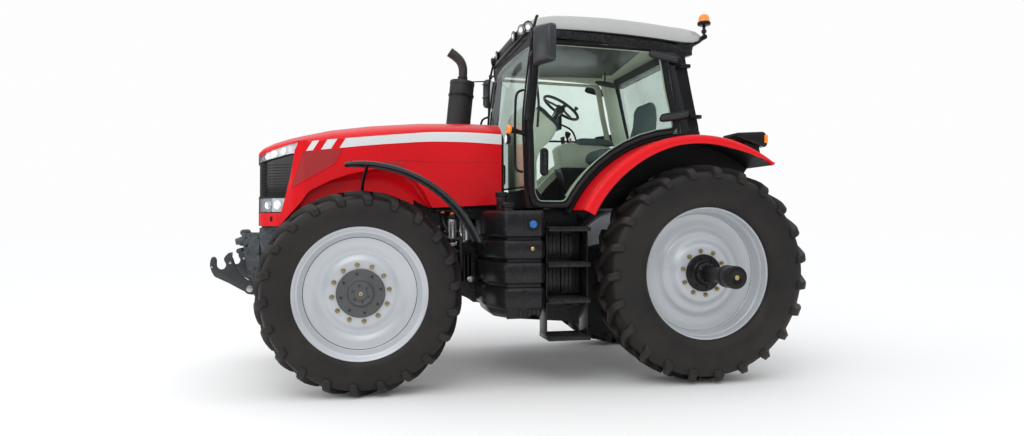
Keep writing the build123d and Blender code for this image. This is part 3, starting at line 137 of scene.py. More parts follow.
FRONT_AXLE = 3100
FRONT_HEIGHT = 871
MM = 0.001
SIDES = (("left", 1), ("right", -1))

Pair = tuple[float, float]
Triple = tuple[float, float, float]


def place(ahead: float, y: float, z: float) -> Vector:
    """A point in metres from millimetres ahead of the rear axle, to the left and up."""
    return Vector(((ahead + REAR_AXLE) * MM, y * MM, z * MM))


def smooth_path(points: Sequence[Sequence[float]], steps: int) -> list[tuple[float, ...]]:
    """Runs a Catmull-Rom curve through points.

    Args:
        points: The points that the curve passes, of any dimension.
        steps: Number of short pieces between two points.

    Returns:
        The points of the curve, first and last included.
    """
    rows = [points[0], *points, points[-1]]
    out: list[tuple[float, ...]] = []
    for a, b, c, d in zip(rows, rows[1:], rows[2:], rows[3:]):
        for step in range(steps):
            t = step / steps
            out.append(
                tuple(
                    0.5 * (
                        2 * q + (r - p) * t + (
                            2 * p - 5 * q + 4 * r - s
                        ) * t * t + (3 * q - p - 3 * r + s) * t**3
                    )
                    for p, q, r, s in zip(a, b, c, d)
                )
            )
    out.append(tuple(points[-1]))
    return out


def along(points: Sequence[Pair], x: float) -> float:
    """The height of a line of points at x, held at its ends.

    Args:
        points: The points, in any order.
        x: Where the height is wanted.

    Returns:
        The height.
    """
    rows = sorted(points)
    if x <= rows[0][0]:
        return rows[0][1]
    for (x0, z0), (x1, z1) in zip(rows, rows[1:]):
        if x <= x1:
            return z0 + (z1 - z0) * (x - x0) / (x1 - x0)
    return rows[-1][1]


class Effect(Enum):
    """Node groups that the finishes share."""

    GRAIN = "Grain"
    DUST = "Dust"
    WEAR = "Edge wear"
    WEAVE = "Weave"
    HOLES = "Holes"
    STRIPE = "Stripe"


class Graph:
    """A node tree in the making."""

    def __init__(self, tree: bpy.types.NodeTree) -> None:
        """Starts with no nodes of its own."""
        self.tree = tree
        self.column = 0

    def add(self, kind: str, **settings: object) -> bpy.types.Node:
        """Adds a node and sets the named properties on it.

        Args:
            kind: The node's type.
            **settings: Values of the node's properties.

        Returns:
            The new node.
        """
        node = self.tree.nodes.new(kind)
        node.location = (self.column * 180, 0)
        self.column += 1
        for key, value in settings.items():
            setattr(node, key, value)
        return node

    def feed(self, socket: bpy.types.NodeSocket, value: object) -> None:
        """Links a socket to another one, or sets it to a constant.

        Args:
            socket: The socket to feed.
            value: A socket or a constant.
        """
        if isinstance(value, bpy.types.NodeSocket):
            self.tree.links.new(value, socket)
        else:
            socket.default_value = value

    def math(self, operation: str, *values: object, clamp: bool = False) -> bpy.types.NodeSocket:
        """The result of a Math node on one to three values.

        Args:
            operation: The Math node's operation.
            clamp: Whether the result is held between 0 and 1.
            *values: Sockets or constants, in the order of the inputs.

        Returns:
            The socket with the result.
        """
        node = self.add("ShaderNodeMath", operation=operation, use_clamp=clamp)
        for socket, value in zip(node.inputs, values):
            self.feed(socket, value)
        return node.outputs[0]

    def span(
        self, value: object, low: float, high: float, to_low: float = 0.0, to_high: float = 1.0
    ) -> bpy.types.NodeSocket:
        """Maps value smoothly from low..high to to_low..to_high.

        Args:
            value: A socket or a constant.
            low: The lower end.
            high: The upper end.
            to_low: The result at the lower end.
            to_high: The result at the upper end.

        Returns:
            The socket with the result.
        """
        node = self.add("ShaderNodeMapRange", interpolation_type="SMOOTHSTEP")
        for socket, item in zip(node.inputs, (value, low, high, to_low, to_high)):
            self.feed(socket, item)
        return node.outputs[0]

    def noise(
        self, vector: object, scale: object, detail: float = 3.0, rough: float = 0.55
    ) -> bpy.types.NodeSocket:
        """A noise value of the given scale.

        Args:
            vector: The place at which the noise is read.
            scale: The noise's scale.
            detail: The noise's detail.
            rough: The noise's roughness.

        Returns:
            The socket with the result.
        """
        node = self.add("ShaderNodeTexNoise")
        self.feed(node.inputs["Vector"], vector)
        self.feed(node.inputs["Scale"], scale)
        node.inputs["Detail"].default_value = detail
        node.inputs["Roughness"].default_value = rough
        return node.outputs[0]

    def mix(self, share: object, first: object, second: object) -> bpy.types.NodeSocket:
        """Mixes two colours.

        Args:
            share: How far along, from 0 to 1.
            first: The colour at 0.
            second: The colour at 1.

        Returns:
            The socket with the result.
        """
        node = self.add("ShaderNodeMix", data_type="RGBA")
        self.feed(node.inputs[0], share)
        self.feed(node.inputs[6], first)
        self.feed(node.inputs[7], second)
        return node.outputs[2]


def group_tree(
    effect: Effect, inputs: dict[str, float | None], outputs: Sequence[str]
) -> tuple[Graph, dict, dict]:
    """Starts a shader node group with named sockets.

    Args:
        effect: The effect the group is for.
        inputs: Input names with their defaults, None for a vector.
        outputs: Names of the value outputs.

    Returns:
        The graph, its input sockets and its output sockets, both by name.
    """
    tree = bpy.data.node_groups.new(effect.value, "ShaderNodeTree")
    for name, default in inputs.items():
        kind = "NodeSocketVector" if default is None else "NodeSocketFloat"
        socket = tree.interface.new_socket(name, in_out="INPUT", socket_type=kind)
        if default is not None:
            socket.default_value = default
    for name in outputs:
        tree.interface.new_socket(name, in_out="OUTPUT", socket_type="NodeSocketFloat")
    graph = Graph(tree)
    start = graph.add("NodeGroupInput")
    end = graph.add("NodeGroupOutput")
    return graph, {s.name: s for s in start.outputs}, {s.name: s for s in end.inputs}


def make_grain() -> None:
    """Fine grain, wide clouds and a bump height."""
    graph, given, out = group_tree(Effect.GRAIN, {"Vector": None, "Scale": 60.0}, ("Fine", "Cloud", "Height"))
    fine = graph.noise(given["Vector"], given["Scale"], 4.0, 0.65)
    cloud = graph.noise(given["Vector"], 1.7, 4.0, 0.6)
    pits = graph.noise(given["Vector"], graph.math("MULTIPLY", given["Scale"], 3.1), 2.0)
    graph.feed(out["Fine"], graph.math("SUBTRACT", fine, 0.5))
    graph.feed(out["Cloud"], graph.span(cloud, 0.3, 0.7))
    graph.feed(out["Height"], graph.math("ADD", fine, graph.math("MULTIPLY", pits, 0.4)))


def make_dust() -> None:
    """Dust that gathers low down, on top faces and in patches."""
    graph, given, out = group_tree(Effect.DUST, {"Vector": None, "Amount": 0.2, "Top": 1.6}, ("Mask",))
    split = graph.add("ShaderNodeSeparateXYZ")
    graph.feed(split.inputs[0], given["Vector"])
    facing = graph.add("ShaderNodeSeparateXYZ")
    graph.feed(facing.inputs[0], graph.add("ShaderNodeNewGeometry").outputs["Normal"])
    low = graph.math("SUBTRACT", 1.0, graph.math("DIVIDE", split.outputs["Z"], given["Top"]), clamp=True)
    patches = graph.span(graph.noise(given["Vector"], 5.0, 6.0, 0.7), 0.36, 0.72)
    top = graph.math("MAXIMUM", facing.outputs["Z"], 0.0)
    lie = graph.math("ADD", graph.math("MULTIPLY", low, 0.9), graph.math("MULTIPLY", top, 0.35))
    spread = graph.math("MULTIPLY", lie, graph.math("ADD", patches, 0.25))
    graph.feed(out["Mask"], graph.math("MULTIPLY", spread, given["Amount"], clamp=True))


def make_wear() -> None:
    """Rubbed edges, from the pointiness of the mesh."""
    graph, given, out = group_tree(Effect.WEAR, {"Vector": None, "Amount": 0.5}, ("Mask",))
    point = graph.add("ShaderNodeNewGeometry").outputs["Pointiness"]
    edge = graph.span(point, 0.52, 0.6)
    broken = graph.span(graph.noise(given["Vector"], 38.0, 5.0, 0.7), 0.42, 0.62)
    graph.feed(
        out["Mask"],
        graph.math("MULTIPLY", graph.math("MULTIPLY", edge, broken), given["Amount"], clamp=True)
    )


def make_weave() -> None:
    """Crossed threads of a seat cloth."""
    graph, given, out = group_tree(Effect.WEAVE, {"Vector": None, "Scale": 220.0}, ("Thread", "Height"))
    waves = []
    for axis, direction in (("X", 0.0), ("Y", 1.5)):
        node = graph.add("ShaderNodeTexWave", bands_direction=axis)
        graph.feed(node.inputs["Vector"], given["Vector"])
        graph.feed(node.inputs["Scale"], given["Scale"])
        node.inputs["Distortion"].default_value = 0.6
        node.inputs["Phase Offset"].default_value = direction
        waves.append(node.outputs[1])
    cross = graph.math("MAXIMUM", waves[0], waves[1])
    lint = graph.noise(given["Vector"], 900.0, 2.0)
    graph.feed(out["Thread"], cross)
    graph.feed(out["Height"], graph.math("ADD", cross, graph.math("MULTIPLY", lint, 0.3)))


def make_holes() -> None:
    """Round holes in offset rows, seen along Y or along X."""
    graph, given, out = group_tree(Effect.HOLES, {"Vector": None, "Pitch": 0.012, "Size": 0.34}, ("Mask",))
    split = graph.add("ShaderNodeSeparateXYZ")
    graph.feed(split.inputs[0], given["Vector"])
    side = graph.math("ADD", split.outputs["X"], graph.math("MULTIPLY", split.outputs["Y"], 0.8))
    across = graph.math("DIVIDE", side, given["Pitch"])
    up = graph.math("DIVIDE", split.outputs["Z"], graph.math("MULTIPLY", given["Pitch"], 0.87))
    row = graph.math("FLOOR", up)
    shifted = graph.math("ADD", across, graph.math("MULTIPLY", graph.math("MODULO", row, 2.0), 0.5))
    dx = graph.math("SUBTRACT", graph.math("FRACT", shifted), 0.5)
    dz = graph.math("MULTIPLY", graph.math("SUBTRACT", graph.math("FRACT", up), 0.5), 0.87)
    far = graph.math(
        "SQRT", graph.math("ADD", graph.math("MULTIPLY", dx, dx), graph.math("MULTIPLY", dz, dz))
    )
    graph.feed(out["Mask"], graph.span(far, given["Size"], graph.math("ADD", given["Size"], 0.05), 1.0, 0.0))


STRIPE_TOP = ((1704, 2311), (2361, 2322), (2735, 2293), (3145, 2252), (3400, 2226), (3633, 2197))
STRIPE_LOW = ((1704, 2214), (2361, 2232), (2735, 2209), (3298, 2150), (3633, 2100))


def make_stripe() -> None:
    """The bonnet's silver stripe with the two slashes ahead of it."""
    graph, given, out = group_tree(Effect.STRIPE, {"Vector": None}, ("Mask",))
    split = graph.add("ShaderNodeSeparateXYZ")
    graph.feed(split.inputs[0], given["Vector"])
    edges = []
    for points in (STRIPE_TOP, STRIPE_LOW):
        curve = graph.add("ShaderNodeFloatCurve")
        knots = curve.mapping.curves[0].points
        span = (points[0][0], points[-1][0])
        floor, roof = 1.9, 2.5
        rows = [((a - span[0]) / (span[1] - span[0]), (z * MM - floor) / (roof - floor)) for a, z in points]
        knots[0].location = rows[0]
        knots[1].location = rows[-1]
        for row in rows[1:-1]:
            knots.new(*row)
        curve.mapping.update()
        ahead = [(a + REAR_AXLE) * MM for a in span]
        share = graph.math(
            "DIVIDE", graph.math("SUBTRACT", split.outputs["X"], ahead[0]), ahead[1] - ahead[0]
        )
        graph.feed(curve.inputs["Value"], share)
        edges.append(graph.math("ADD", graph.math("MULTIPLY", curve.outputs[0], roof - floor), floor))
    under = graph.span(graph.math("SUBTRACT", edges[0], split.outputs["Z"]), -0.0008, 0.0008)
    over = graph.span(graph.math("SUBTRACT", split.outputs["Z"], edges[1]), -0.0008, 0.0008)
    lean = graph.math(
        "SUBTRACT", split.outputs["X"],
        graph.math("MULTIPLY", graph.math("SUBTRACT", 2.2, split.outputs["Z"]), 0.62)
    )
    parts = []
    for low, high in ((0.0, 3255.0), (3326.0, 3408.0), (3476.0, 3532.0)):
        a = graph.span(lean, (low + REAR_AXLE) * MM - 0.0008, (low + REAR_AXLE) * MM + 0.0008)
        b = graph.span(lean, (high + REAR_AXLE) * MM - 0.0008, (high + REAR_AXLE) * MM + 0.0008, 1.0, 0.0)
        parts.append(graph.math("MULTIPLY", a, b))
    either = graph.math("MAXIMUM", graph.math("MAXIMUM", parts[0], parts[1]), parts[2])
    steep = graph.add("ShaderNodeSeparateXYZ")
    graph.feed(steep.inputs[0], graph.add("ShaderNodeNewGeometry").outputs["Normal"])
    side = graph.span(graph.math("ABSOLUTE", steep.outputs["Y"]), 0.2, 0.3)
    band = graph.math("MULTIPLY", graph.math("MULTIPLY", under, over), graph.math("MULTIPLY", either, side))
    graph.feed(out["Mask"], band)


def make_effects() -> None:
    """Builds every shared effect."""
    for make in (make_grain, make_dust, make_wear, make_weave, make_holes, make_stripe):
        make()


Colour = tuple[float, float, float]
DUST_COLOUR: Colour = (0.19, 0.15, 0.11)


@dataclass(frozen=True)
class Finish:
    """A finish: its colours, gloss and the amounts of the shared effects."""

    slot: str
    colour: Colour
    roughness: float
    tint: Colour | None = None
    tint_share: float = 0.35
    metallic: float = 0.0
    coat: float = 0.0
    grain: float = 60.0
    bump: float = 0.1
    dust: float = 0.15
    wear: float = 0.0
    wear_colour: Colour = (0.35, 0.35, 0.36)
    pattern: Effect = Effect.GRAIN
    second: Colour | None = None
    hole_pitch: float = 0.012
    hole_size: float = 0.34
    glow: Colour | None = None
    specular: float = 0.5

    def build(self, name: str) -> bpy.types.Material:
        """Makes the material.

        Args:
            name: The material's name.

        Returns:
            The finished material.
        """
        material = bpy.data.materials.new(name)
        material.use_nodes = True
        material.node_tree.nodes.clear()
        graph = Graph(material.node_tree)
        output = graph.add("ShaderNodeOutputMaterial")
        shader = graph.add("ShaderNodeBsdfPrincipled")
        graph.feed(output.inputs["Surface"], shader.outputs[0])
        vector = graph.add("ShaderNodeTexCoord").outputs["Object"]
        grain = self.effect(graph, Effect.GRAIN, vector, Scale=self.grain)
        colour: object = (*self.colour, 1.0)
        tint = self.tint or tuple(c * 0.72 for c in self.colour)
        share = graph.math("MULTIPLY", grain["Cloud"], self.tint_share)
        colour = graph.mix(share, colour, (*tint, 1.0))
        height = grain["Height"]
        if self.pattern is Effect.WEAVE:
            weave = self.effect(graph, Effect.WEAVE, vector, Scale=150.0)
            colour = graph.mix(graph.math("MULTIPLY", weave["Thread"], 0.8), (*tint, 1.0), colour)
            height = weave["Height"]
        if self.pattern is Effect.HOLES and self.second:
            holes = self.effect(graph, Effect.HOLES, vector, Pitch=self.hole_pitch, Size=self.hole_size)
            # The holes take the second colour: painted shade inside the holes. The mask itself is the real hole
            # pattern.
            colour = graph.mix(holes["Mask"], colour, (*self.second, 1.0))
            height = graph.math("SUBTRACT", height, graph.math("MULTIPLY", holes["Mask"], 6.0))
        rough = graph.math("MULTIPLY_ADD", grain["Fine"], 0.12, self.roughness)
        if self.pattern is Effect.STRIPE and self.second:
            band = self.effect(graph, Effect.STRIPE, vector)
            colour = graph.mix(band["Mask"], colour, (*self.second, 1.0))
        if self.wear:
            wear = self.effect(graph, Effect.WEAR, vector, Amount=self.wear)
            colour = graph.mix(wear["Mask"], colour, (*self.wear_colour, 1.0))
        if self.dust:
            dust = self.effect(graph, Effect.DUST, vector, Amount=self.dust)
            colour = graph.mix(dust["Mask"], colour, (*DUST_COLOUR, 1.0))
            rough = graph.math("ADD", rough, graph.math("MULTIPLY", dust["Mask"], 0.4), clamp=True)
        graph.feed(shader.inputs["Base Color"], colour)
        graph.feed(shader.inputs["Roughness"], rough)
        shader.inputs["Metallic"].default_value = self.metallic
        shader.inputs["Specular IOR Level"].default_value = self.specular
        shader.inputs["Coat Weight"].default_value = self.coat
        shader.inputs["Coat Roughness"].default_value = 0.05
        # Emission from glow; on LAMP_BODY it is painted light that brightens the shaded lamp housings.
        if self.glow:
            shader.inputs["Emission Color"].default_value = (*self.glow, 1.0)
            shader.inputs["Emission Strength"].default_value = 0.25
        if self.bump:
            bump = graph.add("ShaderNodeBump")
            bump.inputs["Strength"].default_value = min(1.0, self.bump)
            bump.inputs["Distance"].default_value = 0.0005
            graph.feed(bump.inputs["Height"], height)
            graph.feed(shader.inputs["Normal"], bump.outputs[0])
        return material

    @staticmethod
    def effect(
        graph: Graph, effect: Effect, vector: object, **inputs: float
    ) -> dict[str, bpy.types.NodeSocket]:
        """Adds a shared effect.

        Args:
            graph: The material's graph.
            effect: The effect wanted.
            vector: The place it is worked out at.
            **inputs: Values for its other inputs.

        Returns:
            The outputs by name.
        """
        node = graph.add("ShaderNodeGroup")
        node.node_tree = bpy.data.node_groups[effect.value]
        graph.feed(node.inputs["Vector"], vector)
        for key, value in inputs.items():
            node.inputs[key].default_value = value
        return {s.name: s for s in node.outputs}


@dataclass(frozen=True)
class Clear:
    """A clear pane or lens: what it lets through and how it mirrors."""

    slot: str
    colour: Colour
    roughness: float = 0.02
    mirror: float = 1.0

    def build(self, name: str) -> bpy.types.Material:
        """Makes the material.

        Args:
            name: The material's name.

        Returns:
            The finished material.
        """
        material = bpy.data.materials.new(name)
        material.use_nodes = True
        material.node_tree.nodes.clear()
        graph = Graph(material.node_tree)
        output = graph.add("ShaderNodeOutputMaterial")
        vector = graph.add("ShaderNodeTexCoord").outputs["Object"]
        through = graph.add("ShaderNodeBsdfTransparent")
        smear = graph.span(graph.noise(vector, 2.2, 5.0, 0.6), 0.3, 0.8)
        shade = tuple(c * 0.93 for c in self.colour)
        graph.feed(through.inputs["Color"], graph.mix(smear, (*self.colour, 1.0), (*shade, 1.0)))
        shine = graph.add("ShaderNodeBsdfPrincipled")
        shine.inputs["Base Color"].default_value = (1.0, 1.0, 1.0, 1.0)
        shine.inputs["Metallic"].default_value = 1.0
        graph.feed(shine.inputs["Roughness"], graph.math("MULTIPLY_ADD", smear, 0.03, self.roughness))
        fresnel = graph.add("ShaderNodeFresnel")
        fresnel.inputs["IOR"].default_value = 1.45
        join = graph.add("ShaderNodeMixShader")
        graph.feed(join.inputs[0], graph.math("MULTIPLY", fresnel.outputs[0], self.mirror, clamp=True))
        graph.feed(join.inputs[1], through.outputs[0])
        graph.feed(join.inputs[2], shine.outputs[0])
        graph.feed(output.inputs["Surface"], join.outputs[0])
        return material


class Look(Enum):
    """Every finish on the tractor."""

    RED = Finish(
        "red_paint", (0.72, 0.003, 0.009), 0.34, tint=(0.58, 0.002, 0.007), coat=0.12, specular=0.2,
        grain=140, bump=0.02, dust=0.05
    )
    BONNET = Finish(
        "red_paint", (0.72, 0.003, 0.009), 0.28, tint=(0.6, 0.002, 0.007), coat=0.15, specular=0.2,
        grain=140, bump=0.02, dust=0.02,
        pattern=Effect.STRIPE, second=(0.72, 0.75, 0.76),
    )
    # VENT's second colour is painted shade inside the holes of the perforated panel.
    VENT = Finish(
        "red_paint", (0.5, 0.003, 0.008), 0.5, grain=140, bump=0.2, dust=0.0,
        pattern=Effect.HOLES, second=(0.2, 0.002, 0.004), hole_pitch=0.011, hole_size=0.3,
    )
    ROOF = Finish(
        "roof_paint", (0.42, 0.43, 0.42), 0.4, tint=(0.36, 0.36, 0.35), coat=0.3, grain=90, bump=0.04,
        dust=0.05
    )
    BLACK = Finish(
        "frame_paint", (0.005, 0.005, 0.006), 0.34, tint=(0.009, 0.009, 0.01), coat=0.15, grain=120,
        bump=0.05, dust=0.02, wear=0.05, specular=0.2
    )
    CASTING = Finish(
        "casting_paint", (0.014, 0.015, 0.017), 0.45, tint=(0.009, 0.01, 0.011), grain=90, bump=0.12,
        dust=0.04, wear=0.1, specular=0.35
    )
    BRACKET = Finish(
        "link_steel", (0.06, 0.072, 0.082), 0.4, tint=(0.045, 0.052, 0.06), grain=80, bump=0.15, dust=0.06,
        wear=0.15
    )
    ENGINE = Finish(
        "engine_casting", (0.005, 0.005, 0.006), 0.45, tint=(0.009, 0.009, 0.01), grain=90, bump=0.12,
        dust=0.02, wear=0.08, specular=0.3
    )
    LINKAGE = Finish(
        "link_steel", (0.03, 0.034, 0.038), 0.38, tint=(0.022, 0.024, 0.027), grain=80, bump=0.15,
        dust=0.07, wear=0.3
    )
    RIM = Finish(
        "rim_silver", (0.5, 0.525, 0.555), 0.34, tint=(0.44, 0.46, 0.49), metallic=0.2, coat=0.3, grain=110,
        bump=0.04, dust=0.05
    )
    HUB = Finish(
        "casting_paint", (0.07, 0.074, 0.078), 0.42, tint=(0.05, 0.052, 0.055), grain=60, bump=0.3,
        dust=0.16, wear=0.2
    )
    TYRE = Finish(
        "tread_rubber", (0.009, 0.008, 0.008), 0.5, tint=(0.02, 0.016, 0.013), tint_share=0.7, grain=70,
        bump=0.35, dust=0.06, wear=0.5, wear_colour=(0.06, 0.052, 0.046), specular=0.32
    )
    PLASTIC = Finish(
        "black_plastic", (0.006, 0.006, 0.007), 0.3, tint=(0.011, 0.01, 0.012), grain=170, bump=0.25,
        dust=0.02, wear=0.35, wear_colour=(0.1, 0.1, 0.11), specular=0.32
    )
    FENDER = Finish(
        "black_plastic", (0.024, 0.028, 0.031), 0.34, tint=(0.02, 0.023, 0.025), grain=170, bump=0.2,
        dust=0.03
    )
    LINER = Finish("black_plastic", (0.004, 0.004, 0.005), 0.5, grain=110, bump=0.3, dust=0.02, specular=0.25)
    # EXHAUST's darker second colour is painted shade inside the holes of the perforated guard.
    EXHAUST = Finish(
        "exhaust_metal", (0.03, 0.03, 0.033), 0.45, tint=(0.05, 0.045, 0.045), metallic=0.3, grain=90,
        bump=0.3, dust=0.1,
        pattern=Effect.HOLES, second=(0.006, 0.006, 0.006), hole_pitch=0.014, hole_size=0.26,
    )
    PIPE = Finish(
        "exhaust_metal", (0.035, 0.033, 0.034), 0.5, tint=(0.07, 0.05, 0.045), metallic=0.4, grain=60,
        bump=0.4, dust=0.1
    )
    STEEL = Finish(
        "bright_steel", (0.5, 0.5, 0.51), 0.28, tint=(0.4, 0.38, 0.36), metallic=0.9, grain=120, bump=0.1,
        dust=0.1
    )
    GOLD = Finish(
        "bright_steel", (0.36, 0.29, 0.15), 0.32, tint=(0.22, 0.19, 0.13), metallic=0.85, grain=120,
        bump=0.1, dust=0.1
    )
    BRASS = Finish("bright_steel", (0.6, 0.44, 0.2), 0.28, metallic=0.95, grain=120, bump=0.1, dust=0.05)
    # GRILLE's darker second colour is painted shade inside the grille's holes.
    GRILLE = Finish(
        "grille_plastic", (0.003, 0.003, 0.004), 0.16, coat=0.25, grain=60, bump=0.08, dust=0.0, specular=0.3,
        pattern=Effect.HOLES, second=(0.002, 0.002, 0.002), hole_pitch=0.016, hole_size=0.38,
    )
    MIRROR_METAL = Finish(
        "lamp_lens", (0.8, 0.81, 0.82), 0.08, metallic=1.0, grain=30, bump=0.02, dust=0.0, tint_share=0.1
    )
    # LAMP_BODY's glow is painted light: a faint emission that brightens the shaded insides of the unlit lamp housings
    # and lenses.
    LAMP_BODY = Finish(
        "lamp_lens", (0.85, 0.87, 0.88), 0.25, coat=0.6, grain=30, bump=0.02, dust=0.0, tint_share=0.1,
        glow=(0.9, 0.92, 0.95)
    )
    AMBER = Finish(
        "amber_lens", (0.85, 0.2, 0.008), 0.18, coat=0.8, grain=40, bump=0.1, dust=0.0,
        glow=(0.8, 0.16, 0.0), tint=(0.9, 0.3, 0.02)
    )
    BLUE = Finish("black_plastic", (0.02, 0.13, 0.42), 0.35, grain=120, bump=0.2, dust=0.05)
    ORANGE = Finish("amber_lens", (0.8, 0.13, 0.01), 0.35, grain=120, bump=0.1, dust=0.05)
    RED_LENS = Finish("amber_lens", (0.5, 0.01, 0.01), 0.2, coat=0.8, grain=40, bump=0.1, dust=0.0)
    TRIM = Finish(
        "grey_plastic", (0.74, 0.77, 0.64), 0.55, tint=(0.66, 0.7, 0.58), grain=190, bump=0.3, dust=0.0
    )
    DARK_TRIM = Finish(
        "dark_trim", (0.025, 0.028, 0.028), 0.45, tint=(0.04, 0.043, 0.043), grain=190, bump=0.35, dust=0.0
    )
    CLOTH = Finish(
        "seat_fabric", (0.17, 0.22, 0.225), 0.85, tint=(0.09, 0.12, 0.125), grain=160, bump=0.6, dust=0.0,
        pattern=Effect.WEAVE
    )
    POST = Finish(
        "frame_paint", (0.008, 0.009, 0.011), 0.1, tint=(0.012, 0.013, 0.016), coat=1.0, grain=90,
        bump=0.02, dust=0.0
    )
    SEAL = Finish("black_plastic", (0.006, 0.007, 0.008), 0.5, grain=150, bump=0.2, dust=0.02, specular=0.22)
    GLASS = Clear("tinted_glass", (0.93, 0.975, 0.955), mirror=0.4)
    LENS = Clear("lamp_lens", (0.94, 0.95, 0.96), mirror=0.8)


class Palette:
    """The materials, made when first asked for."""

    made: dict[Look, bpy.types.Material] = {}

    @classmethod
    def get(cls, look: Look) -> bpy.types.Material:
        """The material of a finish.

        Args:
            look: The finish.

        Returns:
            The finish as a material.
        """
        if look not in cls.made:
            cls.made[look] = look.value.build(look.name.lower())
        return cls.made[look]


def settle(obj: bpy.types.Object, sharp: float = 32.0) -> None:
    """Turns an object's modifiers into plain mesh and shades it, keeping sharp edges.

    Args:
        obj: The object.
        sharp: Edges over this angle in degrees stay sharp.
    """
    if obj.modifiers:
        seen = obj.evaluated_get(bpy.context.evaluated_depsgraph_get())
        mesh = bpy.data.meshes.new_from_object(seen)
        obj.modifiers.clear()
        obj.data = mesh
    obj.data.polygons.foreach_set("use_smooth", [True] * len(obj.data.polygons))
    obj.data.set_sharp_from_angle(angle=math.radians(sharp))


class Sketch:
    """A mesh in the making, in millimetres ahead of the rear axle, to the left and up."""

    def __init__(self) -> None:
        """Starts with no points, in the first finish."""
        self.mesh = bmesh.new()
        self.look = 0

    def points(self, rows: Iterable[Triple]) -> list[bmesh.types.BMVert]:
        """Adds vertices."""
        return [self.mesh.verts.new(place(*row)) for row in rows]

    def face(self, corners: Sequence[bmesh.types.BMVert]) -> None:
        """Adds a face in the current look."""
        self.mesh.faces.new(corners).material_index = self.look

    def skin(self, rings: Sequence[Sequence[bmesh.types.BMVert]], round_: bool) -> None:
        """Joins rows of vertices, closing each row if round_.

        Args:
            rings: Rows of vertices, all of one length.
            round_: Whether each row is closed.
        """
        for first, second in zip(rings, rings[1:]):
            count = len(first)
            for i in range(count if round_ else count - 1):
                j = (i + 1) % count
                self.face((first[i], first[j], second[j], second[i]))

    def loft(self, sections: Sequence[Sequence[Triple]], caps: bool = True) -> None:
        """Joins closed sections, with a face on each end if caps.

        Args:
            sections: Closed sections, all of one length.
            caps: Whether both ends get a face.
        """
        rings = [self.points(section) for section in sections]
        self.skin(rings, True)
        if caps:
            self.face(list(reversed(rings[0])))
            self.face(rings[-1])

    def sheet(self, rows: Sequence[Sequence[Triple]], under: Callable[[Triple], Triple]) -> None:
        """A panel: rows of points on its face, and under gives the same point on its back.

        Args:
            rows: The rows of points.
            under: Gives the point on the back of a point on the face.
        """
        front = [self.points(row) for row in rows]
        back = [self.points(under(point) for point in row) for row in rows]
        self.skin(front, False)
        self.skin([list(reversed(row)) for row in back], False)
        rim_front = [
            *front[0][:-1], *(r[-1] for r in front[:-1]), *reversed(front[-1][1:]),
            *(r[0] for r in reversed(front[1:]))
        ]
        rim_back = [
            *back[0][:-1], *(r[-1] for r in back[:-1]), *reversed(back[-1][1:]),
            *(r[0] for r in reversed(back[1:]))
        ]
        self.skin([rim_back, rim_front], True)

    def plan(self, outline: Sequence[Pair], z_from: float, z_to: float) -> None:
        """A plan outline (ahead, y) carried up."""
        self.loft([[(a, y, z) for a, y in outline] for z in (z_from, z_to)])

    def box(self, ahead: Pair, y: Pair, z: Pair) -> None:
        """A block between two corners."""
        self.plan(((ahead[0], y[0]), (ahead[1], y[0]), (ahead[1], y[1]), (ahead[0], y[1])), *z)

    def lathe(self, profile: Sequence[Pair], ahead: float, z: float, sign: int, sides: int = 96) -> None:
        """Turns a profile (radius, distance out from the middle) round an axle across the tractor.

        Args:
            profile: Pairs of radius and distance from the middle.
            ahead: Distance ahead of the rear axle, in millimetres.
            z: Height, in millimetres.
            sign: 1 on the left side, -1 on the right.
            sides: Number of flat sides.
        """
        rings = []
        for radius, out in profile:
            turn = [2 * math.pi * i / sides for i in range(sides)]
            rings.append([(ahead + radius * math.sin(t), sign * out, z + radius * math.cos(t)) for t in turn])
        self.loft(rings, caps=False)

    def tube(self, path: Sequence[Triple], radius: float | Sequence[float], sides: int = 12) -> None:
        """A round bar along a path, with its ends closed.

        Args:
            path: The points that the bar runs through.
            radius: The bar's radius, one or one for each point.
            sides: Number of flat sides.
        """
        spots = [Vector(p) for p in path]
        sizes = [radius] * len(spots) if isinstance(radius, (int, float)) else list(radius)
        rings = []
        side: Vector | None = None
        for i, spot in enumerate(spots):
            run = (spots[min(i + 1, len(spots) - 1)] - spots[max(i - 1, 0)]).normalized()
            if side is None:
                side = run.orthogonal().normalized()
            side = (side - run * side.dot(run)).normalized()
            other = run.cross(side)
            turn = [2 * math.pi * k / sides for k in range(sides)]
            rings.append([tuple(spot + sizes[i] * (side * math.cos(t) + other * math.sin(t))) for t in turn])
        self.loft(rings)

    def object(
        self, name: str, looks: Look | Sequence[Look], body: str = "chassis", bevel: float = 0.0,
        sharp: float = 32.0
    ) -> bpy.types.Object:
        """Finishes the mesh as a piece.

        Args:
            name: The piece's name.
            looks: Its finishes, in the order of their numbers.
            body: The CAD body that it moves with.
            bevel: Width of the rounded edges in millimetres, 0 for none.
            sharp: Edges over this angle in degrees stay sharp.

        Returns:
            The new object.
        """
        bmesh.ops.remove_doubles(self.mesh, verts=self.mesh.verts, dist=1e-6)
        bmesh.ops.recalc_face_normals(self.mesh, faces=self.mesh.faces)
        data = bpy.data.meshes.new(name)
        self.mesh.to_mesh(data)
        self.mesh.free()
        obj = bpy.data.objects.new(name, data)
        bpy.context.scene.collection.objects.link(obj)
        chosen = [looks] if isinstance(looks, Look) else list(looks)
        for look in chosen:
            data.materials.append(Palette.get(look))
        if bevel:
            edge = obj.modifiers.new("edges", "BEVEL")
            edge.width = bevel * MM
            edge.segments = 2
            edge.limit_method = "ANGLE"
            edge.angle_limit = math.radians(30)
            edge.harden_normals = False
        settle(obj, sharp)
        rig.ride(obj, body)
        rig.slot(obj, chosen[0].value.slot)
        return obj


